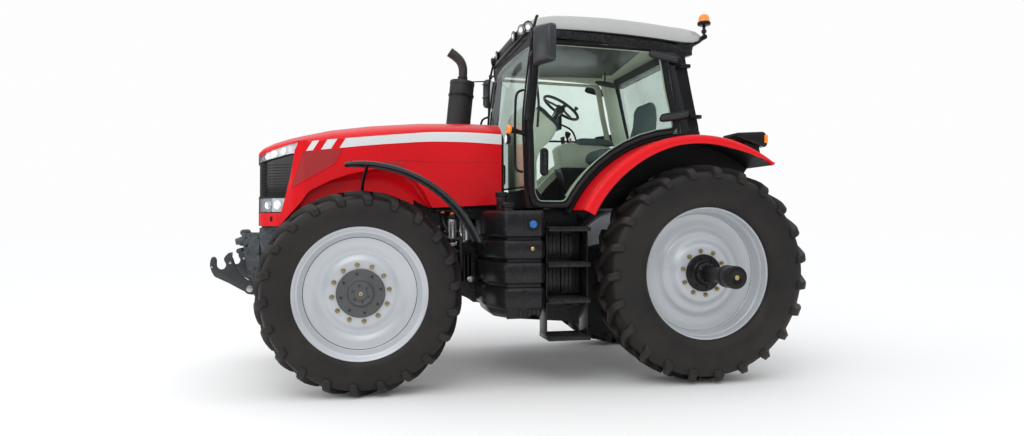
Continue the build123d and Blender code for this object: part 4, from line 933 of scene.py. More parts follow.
def ring_array() -> bpy.types.NodeTree:
    """Geometry nodes that repeat a piece round an axle across the tractor.

    Returns:
        The node tree.
    """
    tree = bpy.data.node_groups.new("Ring array", "GeometryNodeTree")
    face = tree.interface
    face.new_socket("Geometry", in_out="INPUT", socket_type="NodeSocketGeometry")
    for name, kind in (
        ("Count", "NodeSocketInt"), ("Centre", "NodeSocketVector"), ("Phase", "NodeSocketFloat"),
        ("Seed", "NodeSocketInt"), ("Material", "NodeSocketMaterial")
    ):
        face.new_socket(name, in_out="INPUT", socket_type=kind)
    face.new_socket("Geometry", in_out="OUTPUT", socket_type="NodeSocketGeometry")
    link = tree.links.new
    start = tree.nodes.new("NodeGroupInput")
    end = tree.nodes.new("NodeGroupOutput")
    line = tree.nodes.new("GeometryNodeMeshLine")
    link(start.outputs["Count"], line.inputs["Count"])
    line.inputs["Offset"].default_value = (0.0, 0.0, 0.0)
    index = tree.nodes.new("GeometryNodeInputIndex")
    turn = tree.nodes.new("ShaderNodeMath")
    turn.operation = "DIVIDE"
    link(index.outputs[0], turn.inputs[0])
    link(start.outputs["Count"], turn.inputs[1])
    full = tree.nodes.new("ShaderNodeMath")
    full.operation = "MULTIPLY_ADD"
    full.inputs[1].default_value = 2 * math.pi
    link(turn.outputs[0], full.inputs[0])
    link(start.outputs["Phase"], full.inputs[2])
    angles = tree.nodes.new("ShaderNodeCombineXYZ")
    link(full.outputs[0], angles.inputs["Y"])
    centred = tree.nodes.new("GeometryNodeTransform")
    minus = tree.nodes.new("ShaderNodeVectorMath")
    minus.operation = "SCALE"
    minus.inputs["Scale"].default_value = -1.0
    link(start.outputs["Centre"], minus.inputs[0])
    link(start.outputs["Geometry"], centred.inputs["Geometry"])
    link(minus.outputs[0], centred.inputs["Translation"])
    placed = tree.nodes.new("GeometryNodeInstanceOnPoints")
    link(line.outputs[0], placed.inputs["Points"])
    link(centred.outputs[0], placed.inputs["Instance"])
    link(angles.outputs[0], placed.inputs["Rotation"])
    back = tree.nodes.new("GeometryNodeTransform")
    link(placed.outputs[0], back.inputs["Geometry"])
    link(start.outputs["Centre"], back.inputs["Translation"])
    real = tree.nodes.new("GeometryNodeRealizeInstances")
    link(back.outputs[0], real.inputs[0])
    paint = tree.nodes.new("GeometryNodeSetMaterial")
    link(real.outputs[0], paint.inputs["Geometry"])
    link(start.outputs["Material"], paint.inputs["Material"])
    link(paint.outputs[0], end.inputs[0])
    return tree


def line_array() -> bpy.types.NodeTree:
    """Geometry nodes that repeat a piece in a straight row.

    Returns:
        The node tree.
    """
    tree = bpy.data.node_groups.new("Line array", "GeometryNodeTree")
    face = tree.interface
    face.new_socket("Geometry", in_out="INPUT", socket_type="NodeSocketGeometry")
    for name, kind in (
        ("Count", "NodeSocketInt"), ("Step", "NodeSocketVector"), ("Seed", "NodeSocketInt"),
        ("Material", "NodeSocketMaterial")
    ):
        face.new_socket(name, in_out="INPUT", socket_type=kind)
    face.new_socket("Geometry", in_out="OUTPUT", socket_type="NodeSocketGeometry")
    link = tree.links.new
    start = tree.nodes.new("NodeGroupInput")
    end = tree.nodes.new("NodeGroupOutput")
    line = tree.nodes.new("GeometryNodeMeshLine")
    link(start.outputs["Count"], line.inputs["Count"])
    link(start.outputs["Step"], line.inputs["Offset"])
    placed = tree.nodes.new("GeometryNodeInstanceOnPoints")
    link(line.outputs[0], placed.inputs["Points"])
    link(start.outputs["Geometry"], placed.inputs["Instance"])
    real = tree.nodes.new("GeometryNodeRealizeInstances")
    link(placed.outputs[0], real.inputs[0])
    paint = tree.nodes.new("GeometryNodeSetMaterial")
    link(real.outputs[0], paint.inputs["Geometry"])
    link(start.outputs["Material"], paint.inputs["Material"])
    link(paint.outputs[0], end.inputs[0])
    return tree


class Repeats:
    """The geometry node trees, made when first asked for."""

    made: dict[str, bpy.types.NodeTree] = {}

    @classmethod
    def run(cls, obj: bpy.types.Object, kind: str, **inputs: object) -> bpy.types.Object:
        """Repeats an object's mesh and keeps the result as plain mesh.

        Args:
            obj: The piece to repeat, already finished.
            kind: "ring" or "line".
            **inputs: Values for the tree's inputs.

        Returns:
            The same object.
        """
        if kind not in cls.made:
            cls.made[kind] = ring_array() if kind == "ring" else line_array()
        tree = cls.made[kind]
        modifier = obj.modifiers.new("repeat", "NODES")
        modifier.node_group = tree
        sockets = {s.name: s.identifier for s in tree.interface.items_tree if s.in_out == "INPUT"}
        modifier[sockets["Seed"]] = 7
        modifier[sockets["Material"]] = obj.data.materials[0]
        for key, value in inputs.items():
            modifier[sockets[key]] = value
        obj.update_tag()
        settle(obj)
        return obj


@dataclass(frozen=True)
class Tyre:
    """A farm tyre: carcass and two interleaved rows of lugs."""

    axle: str
    ahead: float
    height: float
    middle: float
    radius: float
    width: float
    rim: float
    lugs: int
    lug: float
    lug_half: float

    def carcass(self) -> list[Pair]:
        """Half of the profile (radius, offset from the middle), from the crown to the bead.

        Returns:
            The points, in order.
        """
        crown = self.radius - self.lug
        half = self.width / 2
        side = self.rim + (crown - self.rim) * 0.45
        return [
            (crown, 0.0),
            (crown - 2, half * 0.3),
            (crown - 9, half * 0.62),
            (crown - 26, half * 0.83),
            (crown - 58, half * 0.92),
            (crown - 100, half * 0.965),
            (side, half * 0.985),
            (self.rim + 62, half * 0.955),
            (self.rim + 26, half * 0.9),
            (self.rim + 6, half * 0.85),
            (self.rim - 10, half * 0.8),
        ]

    def lug_stations(self) -> list[tuple[float, float, float, float]]:
        """Rows of (share along the half profile, sweep ahead, height, half width) of one lug.

        Returns:
            The stations, each as four measures.
        """
        high = self.lug
        half = self.lug_half
        return [
            (-0.25, 118, high, half * 0.86),
            (0.3, 84, high, half * 0.95),
            (1.0, 34, high, half),
            (1.7, -8, high, half * 1.04),
            (2.35, -38, high, half * 1.12),
            (2.9, -54, high * 0.98, half * 1.2),
            (3.4, -62, high * 0.92, half * 1.26),
            (3.85, -67, high * 0.78, half * 1.26),
            (4.3, -70, high * 0.58, half * 1.2),
            (4.6, -71, high * 0.36, half * 1.1),
            (4.66, -71, 1.0, half * 1.1),
        ]

    def on_profile(self, share: float, lift: float) -> Pair:
        """The point at share along the half profile, lifted off it.

        Args:
            share: How far along, from 0 to 1.
            lift: Height over the carcass, in millimetres.

        Returns:
            The point.
        """
        rows = self.carcass()
        flip = -1.0 if share < 0 else 1.0
        share = abs(share)
        i = min(int(share), len(rows) - 2)
        t = share - i
        (r0, y0), (r1, y1) = rows[i], rows[i + 1]
        before = rows[max(i - 1, 0)]
        after = rows[min(i + 2, len(rows) - 1)]
        first = Vector((r1 - before[0], y1 - before[1])).normalized()
        last = Vector((after[0] - r0, after[1] - y0)).normalized()
        run = first.lerp(last, t).normalized()
        out = Vector((run.y, -run.x))
        return r0 + (r1 - r0) * t + out.x * lift, flip * (y0 + (y1 - y0) * t + out.y * lift)

    def add_lug(self, sketch: Sketch, sign: int, row: int) -> None:
        """Adds one lug of the outer (1) or inner (-1) row at the top of the tyre.

        Args:
            sketch: The sketch that the form is added to.
            sign: 1 on the left side, -1 on the right.
            row: Number of the row.
        """
        pitch = 2 * math.pi / self.lugs
        phase = 0.0 if row > 0 else pitch / 2
        sections = []
        for share, sweep, high, half in self.lug_stations():
            corners = []
            for lift, side, spread in ((-8.0, -1, 1.32), (high, -1, 0.82), (high, 1, 0.82), (-8.0, 1, 1.32)):
                radius, offset = self.on_profile(share, lift)
                turn = phase + (sweep + side * half * spread) / self.radius
                corners.append(
                    (
                        self.ahead + radius * math.sin(turn),
                        sign * self.middle + row * offset,
                        self.height + radius * math.cos(turn),
                    )
                )
            sections.append(corners)
        sketch.loft(sections)

    def build(self) -> None:
        """Builds the left and the right tyre."""
        half = smooth_path(self.carcass(), 4)
        profile = [
            *((r, self.middle - y) for r, y in reversed(half[1:])), *((r, self.middle + y) for r, y in half)
        ]
        bead = (
            self.rim - 26, self.middle + self.width * 0.36
        ), (self.rim - 26, self.middle - self.width * 0.36)
        for name, sign in SIDES:
            body = f"{self.axle}_wheel_{name}"
            sketch = Sketch()
            sketch.lathe([*profile, *bead, profile[0]], self.ahead, self.height, sign, 120)
            carcass = sketch.object(f"{self.axle}_tyre_carcass_{name}", Look.TYRE, body, sharp=50)
            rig.replaces(carcass, f"{self.axle}_tyre_{name}")
            for row, label in ((1, "outer"), (-1, "inner")):
                sketch = Sketch()
                self.add_lug(sketch, sign, row)
                lug = sketch.object(f"{self.axle}_lugs_{label}_{name}", Look.TYRE, body, bevel=5)
                Repeats.run(
                    lug, "ring", Count=self.lugs, Centre=tuple(place(self.ahead, 0, self.height)), Phase=0.0
                )


@dataclass(frozen=True)
class Rim:
    """A wheel disc with its flanges, hub and bolts."""

    axle: str
    ahead: float
    height: float
    profile: tuple[Pair, ...]
    joint: tuple[float, float]
    bolts: int
    bolt_circle: float
    bolt_face: float
    bolt: float
    hub: tuple[tuple[tuple[Pair, ...], "Look"], ...]
    studs: tuple[tuple[int, float, float, float], ...]
    cap: Triple

    def build(self) -> None:
        """Builds both rims with their hubs and bolts."""
        for name, sign in SIDES:
            body = f"{self.axle}_wheel_{name}"
            sketch = Sketch()
            sketch.lathe([*self.profile, self.profile[0]], self.ahead, self.height, sign, 120)
            rim = sketch.object(f"{self.axle}_rim_disc_{name}", Look.RIM, body, sharp=40)
            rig.replaces(rim, f"{self.axle}_rim_{name}")
            radius, face = self.joint
            sketch = Sketch()
            sketch.lathe(
                [
                    (radius - 3, face - 3), (radius + 3, face - 3), (radius + 3, face + 2),
                    (radius - 3, face + 2), (radius - 3, face - 3)
                ],
                self.ahead, self.height, sign
            )
            sketch.object(f"{self.axle}_rim_joint_{name}", Look.SEAL, body)
            self.add_hub(name, sign, body)
            self.add_bolts(name, sign, body)

    def add_hub(self, name: str, sign: int, body: str) -> None:
        """Adds the hub cover, and on the rear wheel the bar that it clamps on.

        Args:
            name: The side's name, left or right.
            sign: 1 on the left side, -1 on the right.
            body: The CAD body that the piece moves with.
        """
        sketch = Sketch()
        for profile, _ in self.hub:
            sketch.lathe(profile, self.ahead, self.height, sign, 64)
        sketch.object(f"{self.axle}_hub_{name}", self.hub[0][1], body, bevel=1.5, sharp=40)
        for k, (count, circle, face, size) in enumerate(self.studs):
            sketch = Sketch()
            centre = self.height + circle
            sketch.lathe(
                [
                    (0.0, face - 8), (size, face - 8), (size, face + 14), (size * 0.8, face + 18),
                    (0.0, face + 18)
                ],
                self.ahead, centre, sign, 6
            )
            stud = sketch.object(f"{self.axle}_hub_studs_{k}_{name}", Look.BLACK, body)
            Repeats.run(stud, "ring", Count=count, Centre=tuple(place(self.ahead, 0, self.height)), Phase=0.2)
        sketch = Sketch()
        radius, low, high = self.cap
        sketch.lathe(
            [
                (0.0, low), (radius, low), (radius, high - 2), (radius - 3, high), (radius * 0.45, high),
                (radius * 0.35, high - 4), (0.0, high - 4)
            ],
            self.ahead, self.height, sign, 32
        )
        sketch.object(f"{self.axle}_hub_cap_{name}", Look.BRASS, body)

    def add_bolts(self, name: str, sign: int, body: str) -> None:
        """Adds the ring of wheel bolts on one side.

        Args:
            name: The side's name, left or right.
            sign: 1 on the left side, -1 on the right.
            body: The CAD body that the piece moves with.
        """
        sketch = Sketch()
        face = self.bolt_face
        head = [(0.0, face - 12), (self.bolt * 1.25, face - 12), (self.bolt * 1.25, face + 4)]
        centre = self.height + self.bolt_circle
        sketch.lathe([*head, (self.bolt * 0.95, face + 5), (0.0, face + 5)], self.ahead, centre, sign, 24)
        sketch.lathe(
            [
                (0.0, face), (self.bolt, face), (self.bolt, face + 22), (self.bolt * 0.8, face + 26),
                (0.0, face + 26)
            ],
            self.ahead, centre, sign, 6
        )
        sketch.lathe(
            [(0.0, face), (self.bolt * 0.5, face), (self.bolt * 0.5, face + 38), (0.0, face + 38)],
            self.ahead, centre, sign, 16
        )
        bolt = sketch.object(f"{self.axle}_wheel_bolts_{name}", Look.GOLD, body, bevel=1.0)
        Repeats.run(
            bolt, "ring", Count=self.bolts, Centre=tuple(place(self.ahead, 0, self.height)), Phase=0.12
        )


@dataclass(frozen=True)
class BonnetShape:
    """The bonnet's outline: plan, crown, shoulder and lower edge, all against ahead."""

    rear: float = 1766
    panel_end: float = 3560
    lamp_start: float = 3648
    lip_start: float = 3812
    tip: float = 4045
    plan: tuple[Pair, ...] = (
        (1766, 498), (2100, 500), (2600, 499), (3000, 496), (3350, 491), (3600, 478), (3700, 440),
        (3800, 380), (3900, 316), (3972, 246), (4018, 160), (4040, 78), (4045, 0)
    )
    crown: tuple[Pair, ...] = (
        (1765, 2446), (2034, 2452), (2526, 2440), (3004, 2402), (3376, 2350), (3740, 2262), (3875, 2221),
        (3990, 2172), (4045, 2124)
    )
    shoulder: tuple[Pair, ...] = (
        (1765, 2326), (2361, 2337), (2735, 2310), (3145, 2262), (3400, 2236), (3647, 2209), (3760, 2190),
        (3900, 2160), (4045, 2108)
    )
    lower: tuple[Pair, ...] = (
        (1765, 1640), (2438, 1606), (2440, 1612), (2500, 1740), (2580, 1850), (2680, 1925), (2800, 1962),
        (2964, 1966), (3190, 1914), (3369, 1852), (3545, 1760), (3677, 1660), (3781, 1528), (3822, 1440),
        (4045, 1434)
    )
    edge: tuple[Pair, ...] = (
        (1434, 3824), (1556, 3812), (1672, 3778), (1900, 3722), (2076, 3690), (2100, 3696), (2150, 3674),
        (2206, 3648)
    )
    lip: float = 1556

    def half(self, ahead: float) -> float:
        """Half width at a place."""
        return along(self.plan, ahead)

    def stations(self, start: float, end: float, steps: int) -> list[Pair]:
        """Plan points (ahead, y) from start to end, evenly spaced along the outline.

        Args:
            start: The first place.
            end: The last place.
            steps: Number of steps.

        Returns:
            The points, in order.
        """
        fine = [p for p in smooth_path(self.plan, 12) if start <= p[0] <= end]
        fine = [(start, self.half(start)), *fine, (end, self.half(end))]
        run = [0.0]
        for (a0, y0), (a1, y1) in zip(fine, fine[1:]):
            run.append(run[-1] + math.hypot(a1 - a0, y1 - y0))
        out = []
        for k in range(steps + 1):
            want = run[-1] * k / steps
            out.append(
                (
                    along(list(zip(run, (p[0] for p in fine))), want),
                    along(list(zip(run, (p[1] for p in fine))), want)
                )
            )
        return out


SHAPE = BonnetShape()


@dataclass(frozen=True)
class Bonnet:
    """The bonnet: top, sides, arches, vents and the nose."""

    shape: BonnetShape = SHAPE
    wall: float = 7
    recess: float = 358
    arch_line: tuple[Pair, ...] = (
        (2440, 1606), (2549, 1654), (2753, 1775), (2880, 1850), (3100, 1876), (3369, 1836), (3545, 1764),
        (3677, 1668), (3781, 1534), (3820, 1444)
    )
    vent_edges: tuple[tuple[Pair, ...], ...] = (((3612, 2112), (3255, 2152)), ((3716, 1778), (3325, 2008)))
    slot_outline: tuple[Pair, ...] = ((2890, 2042), (2740, 2034), (2690, 1978), (2810, 1978))

    def side_rows(self, sign: int) -> list[list[Triple]]:
        """Rows of the side panel from the shoulder down, ahead of the firewall to the grille.

        Args:
            sign: 1 on the left side, -1 on the right.

        Returns:
            The rows of points.
        """
        shape = self.shape
        rows = []
        for k in range(19):
            share = k / 18
            row = []
            for i in range(73):
                t = i / 72
                ahead = shape.rear + (shape.panel_end - shape.rear) * t
                low = along(shape.lower, ahead)
                top = along(shape.shoulder, ahead)
                row.append((ahead, sign * shape.half(ahead), top + (low - top) * share))
            top = along(shape.shoulder, shape.panel_end)
            low = along(shape.lower, shape.panel_end)
            height = top + (low - top) * share
            for i in range(1, 15):
                t = i / 14
                goal = 2206 + (1440 - 2206) * share
                z = height + (goal - height) * t
                ahead = shape.panel_end + (along(shape.edge, z) - shape.panel_end) * t
                row.append((ahead, sign * shape.half(ahead), z))
            rows.append(row)
        return rows

    def build(self) -> None:
        """Builds the red shell with its vents and seams."""
        self.shell()
        self.arches()
        self.vents()
        self.seams()

    def shell(self) -> None:
        """The top and the sides as one thin skin."""
        shape = self.shape
        sketch = Sketch()
        for sign in (1, -1):
            sketch.skin([sketch.points(row) for row in self.side_rows(sign)], False)
            band = []
            for k in range(5):
                row = []
                for ahead, y in shape.stations(shape.lamp_start, shape.tip, 24):
                    top = along(shape.shoulder, ahead)
                    low = along(LAMP_TOP, ahead)
                    row.append((ahead, sign * y, top + (low - top) * k / 4))
                band.append(row)
            sketch.skin([sketch.points(row) for row in band], False)
            lip = []
            for k in range(5):
                row = []
                for ahead, y in shape.stations(shape.lip_start, shape.tip, 20):
                    z = shape.lip + (1434 - shape.lip) * k / 4
                    start = along(shape.edge, z)
                    shifted = ahead + (start - shape.lip_start) * (shape.tip - ahead) / (
                        shape.tip - shape.lip_start
                    )
                    row.append((shifted, sign * (y if ahead > shape.lip_start else shape.half(shifted)), z))
                lip.append(row)
            sketch.skin([sketch.points(row) for row in lip], False)
        spots = [shape.rear + (shape.panel_end - shape.rear) * i / 72 for i in range(73)]
        spots += [shape.panel_end + (shape.lamp_start - shape.panel_end) * i / 14 for i in range(1, 15)]
        spots += [a for a, _ in shape.stations(shape.lamp_start, shape.tip, 24)][1:]
        rows = []
        for ahead in spots:
            half = shape.half(ahead) if ahead < 4044.9 else 0.6
            top = along(shape.crown, ahead)
            low = along(shape.shoulder, ahead)
            row = []
            for k in range(-16, 17):
                s = math.sin(math.pi / 2 * k / 16)
                row.append((ahead, half * s, low + (top - low) * (1 - abs(s) ** 3.0) ** 0.8))
            rows.append(row)
        sketch.skin([sketch.points(row) for row in rows], False)
        bmesh.ops.remove_doubles(sketch.mesh, verts=sketch.mesh.verts, dist=4e-4)
        bmesh.ops.recalc_face_normals(sketch.mesh, faces=sketch.mesh.faces)
        bmesh.ops.solidify(sketch.mesh, geom=sketch.mesh.faces[:], thickness=self.wall * MM)
        shell = sketch.object("bonnet_shell", Look.BONNET, "bonnet", sharp=38)
        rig.replaces(shell, "bonnet")

    def arches(self) -> None:
        """The recess over each front wheel: its roof and its inner wall."""
        shape = self.shape
        lower_in = self.arch_line
        for name, sign in SIDES:
            sketch = Sketch()
            rows = []
            spots = [2441 + (3820 - 2441) * i / 60 for i in range(61)]
            for k in range(9):
                share = k / 8
                row = []
                for ahead in spots:
                    out_y = shape.half(ahead) - 2
                    in_y = min(self.recess, out_y - 30)
                    high = along(shape.lower, ahead) + 3
                    turn = share * math.pi / 2
                    row.append(
                        (
                            ahead, sign * (out_y + (in_y - out_y) * math.sin(turn)),
                            high + (1 - math.cos(turn)) * (along(lower_in, ahead) - high)
                        )
                    )
                rows.append(row)
            sketch.sheet(rows, lambda p, s=sign: (p[0], p[1] - s * 5, p[2] + 5))
            sketch.object(f"bonnet_arch_{name}", Look.RED, "bonnet", sharp=50)
            sketch = Sketch()
            rows = []
            for k in range(6):
                row = []
                for ahead in range(2600, 3680, 45):
                    high = along(lower_in, ahead) + 12
                    low = FRONT_HEIGHT - 60 + math.sqrt(FRONT_HEIGHT**2 - (ahead - FRONT_AXLE) ** 2)
                    row.append((ahead, sign * (self.recess - 4), high + (min(low, high - 6) - high) * k / 5))
                rows.append(row)
            sketch.sheet(rows, lambda p, s=sign: (p[0], p[1] - s * 6, p[2]))
            sketch.object(f"bonnet_apron_{name}", Look.RED, "bonnet", sharp=50)

    def vents(self) -> None:
        """The perforated side vents and the dark slots behind them."""
        shape = self.shape
        for name, sign in SIDES:
            sketch = Sketch()
            high, low = self.vent_edges
            rows = []
            for k in range(11):
                row = []
                for i in range(25):
                    front, back = [
                        (top + (foot - top) * k / 10) for top, foot in zip(high[0], low[0])
                    ], [(top + (foot - top) * k / 10) for top, foot in zip(high[1], low[1])]
                    ahead, z = (f + (r - f) * i / 24 for f, r in zip(front, back))
                    row.append((ahead, sign * (shape.half(ahead) + 2.5), z))
                rows.append(row)
            sketch.sheet(rows, lambda p, s=sign: (p[0], p[1] - s * 5, p[2]))
            sketch.object(f"bonnet_vent_{name}", Look.VENT, "bonnet")
            rim = [
                *rows[0], *(r[-1] for r in rows[1:]), *reversed(rows[-1][:-1]),
                *(r[0] for r in reversed(rows[1:-1]))
            ]
            sketch = Sketch()
            sketch.tube([*rim, rim[0]], 4.0, 8)
            sketch.object(f"bonnet_vent_rim_{name}", Look.RED, "bonnet")
            slot = self.slot_outline
            sketch = Sketch()
            sketch.loft([[(a, sign * (499 + k), z) for a, z in slot] for k in (-4, 3.0)])
            sketch.object(f"bonnet_slot_{name}", Look.VENT, "bonnet", bevel=2.0)

    def seams(self) -> None:
        """The pressed line behind the slot."""
        for name, sign in SIDES:
            sketch = Sketch()
            path = [
                (1800 + 960 * i / 14, sign * 500.5, 2052 - 14 * math.sin(math.pi * i / 14))
                for i in range(15)
            ]
            sketch.tube(path, 2.2, 8)
            # The pressed line takes the darker vent red: painted shade along the crease.
            sketch.object(f"bonnet_seam_{name}", Look.VENT, "bonnet")


LAMP_TOP: tuple[Pair, ...] = (
    (SHAPE.lamp_start, 2206), (3760, 2176), (3900, 2134), (4000, 2098), (SHAPE.tip, 2082)
)
LAMP_LOW: tuple[Pair, ...] = ((3696, 2100), (3760, 2090), (3900, 2056), (SHAPE.tip, 2024))


@dataclass(frozen=True)
class Nose:
    """Grille, lamp band, lower lamps and the surround between them."""

    shape: BonnetShape = SHAPE
    bowl_spots: tuple[Triple, ...] = (
        (3790, 2128, 27), (3872, 2104, 29), (3944, 2080, 25), (3850, 1630, 42), (3938, 1630, 38)
    )
    bowl_depths: tuple[float, ...] = (-18, -14, -6, 4, 14, 15, 6, 0)

    def band(
        self, inset: float, high: Sequence[Pair] | float, low: Sequence[Pair] | float, sign: int,
        start: float, rows: int = 8
    ) -> list[list[Triple]]:
        """Rows across the nose from the rear edge to the middle on one side.

        Args:
            inset: Distance behind the bonnet's face.
            high: Upper height, or points against ahead.
            low: Lower height, or points against ahead.
            sign: Side of the tractor.
            start: Where the band begins.
            rows: Number of steps down.

        Returns:
            The rows of points, from high to low.
        """
        out = []
        for k in range(rows + 1):
            row = []
            for ahead, y in self.shape.stations(start, self.shape.tip, 30):
                top = high if isinstance(high, (int, float)) else along(high, ahead)
                floor = low if isinstance(low, (int, float)) else along(low, ahead)
                z = top + (floor - top) * k / rows
                begin = along(self.shape.edge, z) + 4
                moved = ahead + (begin - start) * (self.shape.tip - ahead) / (self.shape.tip - start)
                wide = self.shape.half(moved) if moved < 4040 else y
                row.append((moved - inset * 0.6, sign * max(0.0, wide - inset * min(1.0, wide / 60)), z))
            out.append(row)
        return out

    def panel(
        self, name: str, look: Look, inset: float, deep: float, high: Sequence[Pair] | float,
        low: Sequence[Pair] | float, start: float
    ) -> bpy.types.Object:
        """A curved panel across the whole nose.

        Args:
            name: The piece's name.
            look: The finish.
            inset: Distance in from the edge.
            deep: How far it lies under the skin.
            high: Upper height, or points of it against ahead.
            low: Lower height, or points of it against ahead.
            start: Where the panel begins, in millimetres ahead.

        Returns:
            The new object.
        """
        sketch = Sketch()
        for sign in (1, -1):
            rows = self.band(inset, high, low, sign, start)
            sketch.sheet(rows, lambda p, s=sign: (p[0] - deep * 0.6, p[1] - s * min(deep, abs(p[1])), p[2]))
        return sketch.object(name, look, "bonnet", sharp=45)

    def build(self) -> None:
        """Builds the nose."""
        grille = self.panel("nose_grille", Look.GRILLE, 16, 10, LAMP_LOW, 1704, 3696)
        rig.replaces(grille, "bonnet_grille")
        self.panel("nose_core", Look.LINER, 34, 8, LAMP_TOP, 1440, 3696)
        lamps = self.panel("headlamp_housing", Look.LAMP_BODY, 26, 6, LAMP_TOP, LAMP_LOW, 3648)
        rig.replaces(lamps, "headlamps")
        self.panel("headlamp_lens", Look.LENS, 1.5, 3, LAMP_TOP, LAMP_LOW, 3648)
        self.panel("lower_lamp_housing", Look.LAMP_BODY, 26, 6, 1692, 1566, 3778)
        self.panel("lower_lamp_lens", Look.LENS, 2, 3, 1698, 1560, 3778)
        self.bars()
        for name, sign in SIDES:
            self.bowls(name, sign)

    def bars(self) -> None:
        """Dark bars that frame the grille and split the lamps."""
        for label, high, low in (
            ("upper", LAMP_LOW, tuple((a, z - 9) for a, z in LAMP_LOW)), ("lower", 1709, 1698),
            ("foot", 1564, 1554)
        ):
            self.panel(f"nose_bar_{label}", Look.SEAL, 1, 26, high, low, 3700)
        rows = [(1716 + 26 * k) for k in range(14)]
        sketch = Sketch()
        for z in rows:
            if z > 2020:
                continue
            for sign in (1, -1):
                line = self.band(12, float(z), float(z - 5), sign, 3720, 1)
                sketch.sheet(line, lambda p, s=sign: (p[0] - 5, p[1] - s * min(6, abs(p[1])), p[2]))
        sketch.object("nose_slats", Look.SEAL, "bonnet", sharp=50)

    def bowls(self, name: str, sign: int) -> None:
        """Reflector bowls behind the lenses, and the small lamp in the lip.

        Args:
            name: The side's name, left or right.
            sign: 1 on the left side, -1 on the right.
        """
        sketch = Sketch()
        for ahead, z, size in self.bowl_spots:
            y = self.shape.half(ahead)
            out = Vector((0.52, 0.85 * sign, 0.05)).normalized()
            centre = Vector((ahead, sign * y, z)) - out * 24
            path = [tuple(centre + out * d) for d in self.bowl_depths]
            sketch.tube(path, [3, 8, size * 0.72, size * 0.93, size, size - 2, size * 0.85, 4], 24)
        sketch.object(f"lamp_bowls_{name}", Look.MIRROR_METAL, "bonnet", sharp=60)
        sketch = Sketch()
        sketch.box(
            (3866, 3912), (sign * (self.shape.half(3890) - 30), sign * (self.shape.half(3890) + 4)),
            (1478, 1522)
        )
        sketch.object(f"lip_lamp_{name}", Look.SEAL, "bonnet", bevel=4)


@dataclass(frozen=True)
class FrontFender:
    """A plastic front fender with a rolled grey edge and its stay."""

    radius: float = 1115
    inner: float = 800
    outer: float = 1180
    start: float = 83
    end: float = 157
    stay_path: tuple[Triple, ...] = (
        (3092, 712, 1096), (3092, 712, 1500), (3086, 716, 1742), (3070, 800, 1860), (3046, 900, 1946),
        (3040, 960, 1962)
    )
    foot_bolts: tuple[Pair, ...] = ((2900, 900), (2900, 1060), (3180, 900), (3180, 1060))

    def section(self, shrink: float) -> list[Pair]:
        """The cross-section (radial, y), narrowed and flattened by shrink.

        Args:
            shrink: How much narrower and flatter the section is, from 0 to 1.

        Returns:
            The points, in order.
        """
        a, b = self.inner + 60 * shrink, self.outer - 14 * shrink
        drop = -34 + 14 * shrink
        return [
            (0, a), (0, a + 40), (0, (a + b) / 2), (0, b - 40), (-3, b - 12), (-12, b), (drop, b + 1),
            (drop, b - 8), (-16, b - 10), (-9, b - 22), (-7, b - 50), (-7, (a + b) / 2), (-7, a + 50),
            (-9, a + 22), (-16, a + 10), (drop, a + 8), (drop, a - 1), (-12, a)
        ]

    def build(self) -> None:
        """Builds both fenders."""
        for name, sign in SIDES:
            body = f"front_fender_{name}"
            sketch = Sketch()
            rings = []
            steps = 56
            for i in range(steps + 1):
                turn = math.radians(self.start + (self.end - self.start) * i / steps)
                shrink = max(0.0, 1 - i / 7) ** 1.6
                lift = -10 * shrink
                rings.append(
                    [
                        (
                            FRONT_AXLE + (self.radius + d + lift) * math.cos(turn), sign * y,
                            FRONT_HEIGHT + (self.radius + d + lift) * math.sin(turn)
                        )
                        for d, y in self.section(shrink)
                    ]
                )
            sketch.loft(rings)
            fender = sketch.object(f"front_fender_shell_{name}", Look.FENDER, body, sharp=40)
            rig.replaces(fender, f"front_fender_{name}")
            sketch = Sketch()
            stay = smooth_path(self.stay_path, 6)
            sketch.tube([(a, sign * y, z) for a, y, z in stay], 15, 14)
            sketch.box((3046, 3074), (sign * 820, sign * 1120), (self.skin(3060) - 30, self.skin(3060) - 10))
            for a, y in self.foot_bolts:
                sketch.tube([(a, sign * y, self.skin(a) - 14), (a, sign * y, self.skin(a) + 8)], 11, 6)
            sketch.object(f"front_fender_stay_{name}", Look.BLACK, body, bevel=1.5)

    def skin(self, ahead: float) -> float:
        """Height of the fender's face."""
        return FRONT_HEIGHT + math.sqrt(self.radius**2 - (ahead - FRONT_AXLE) ** 2)


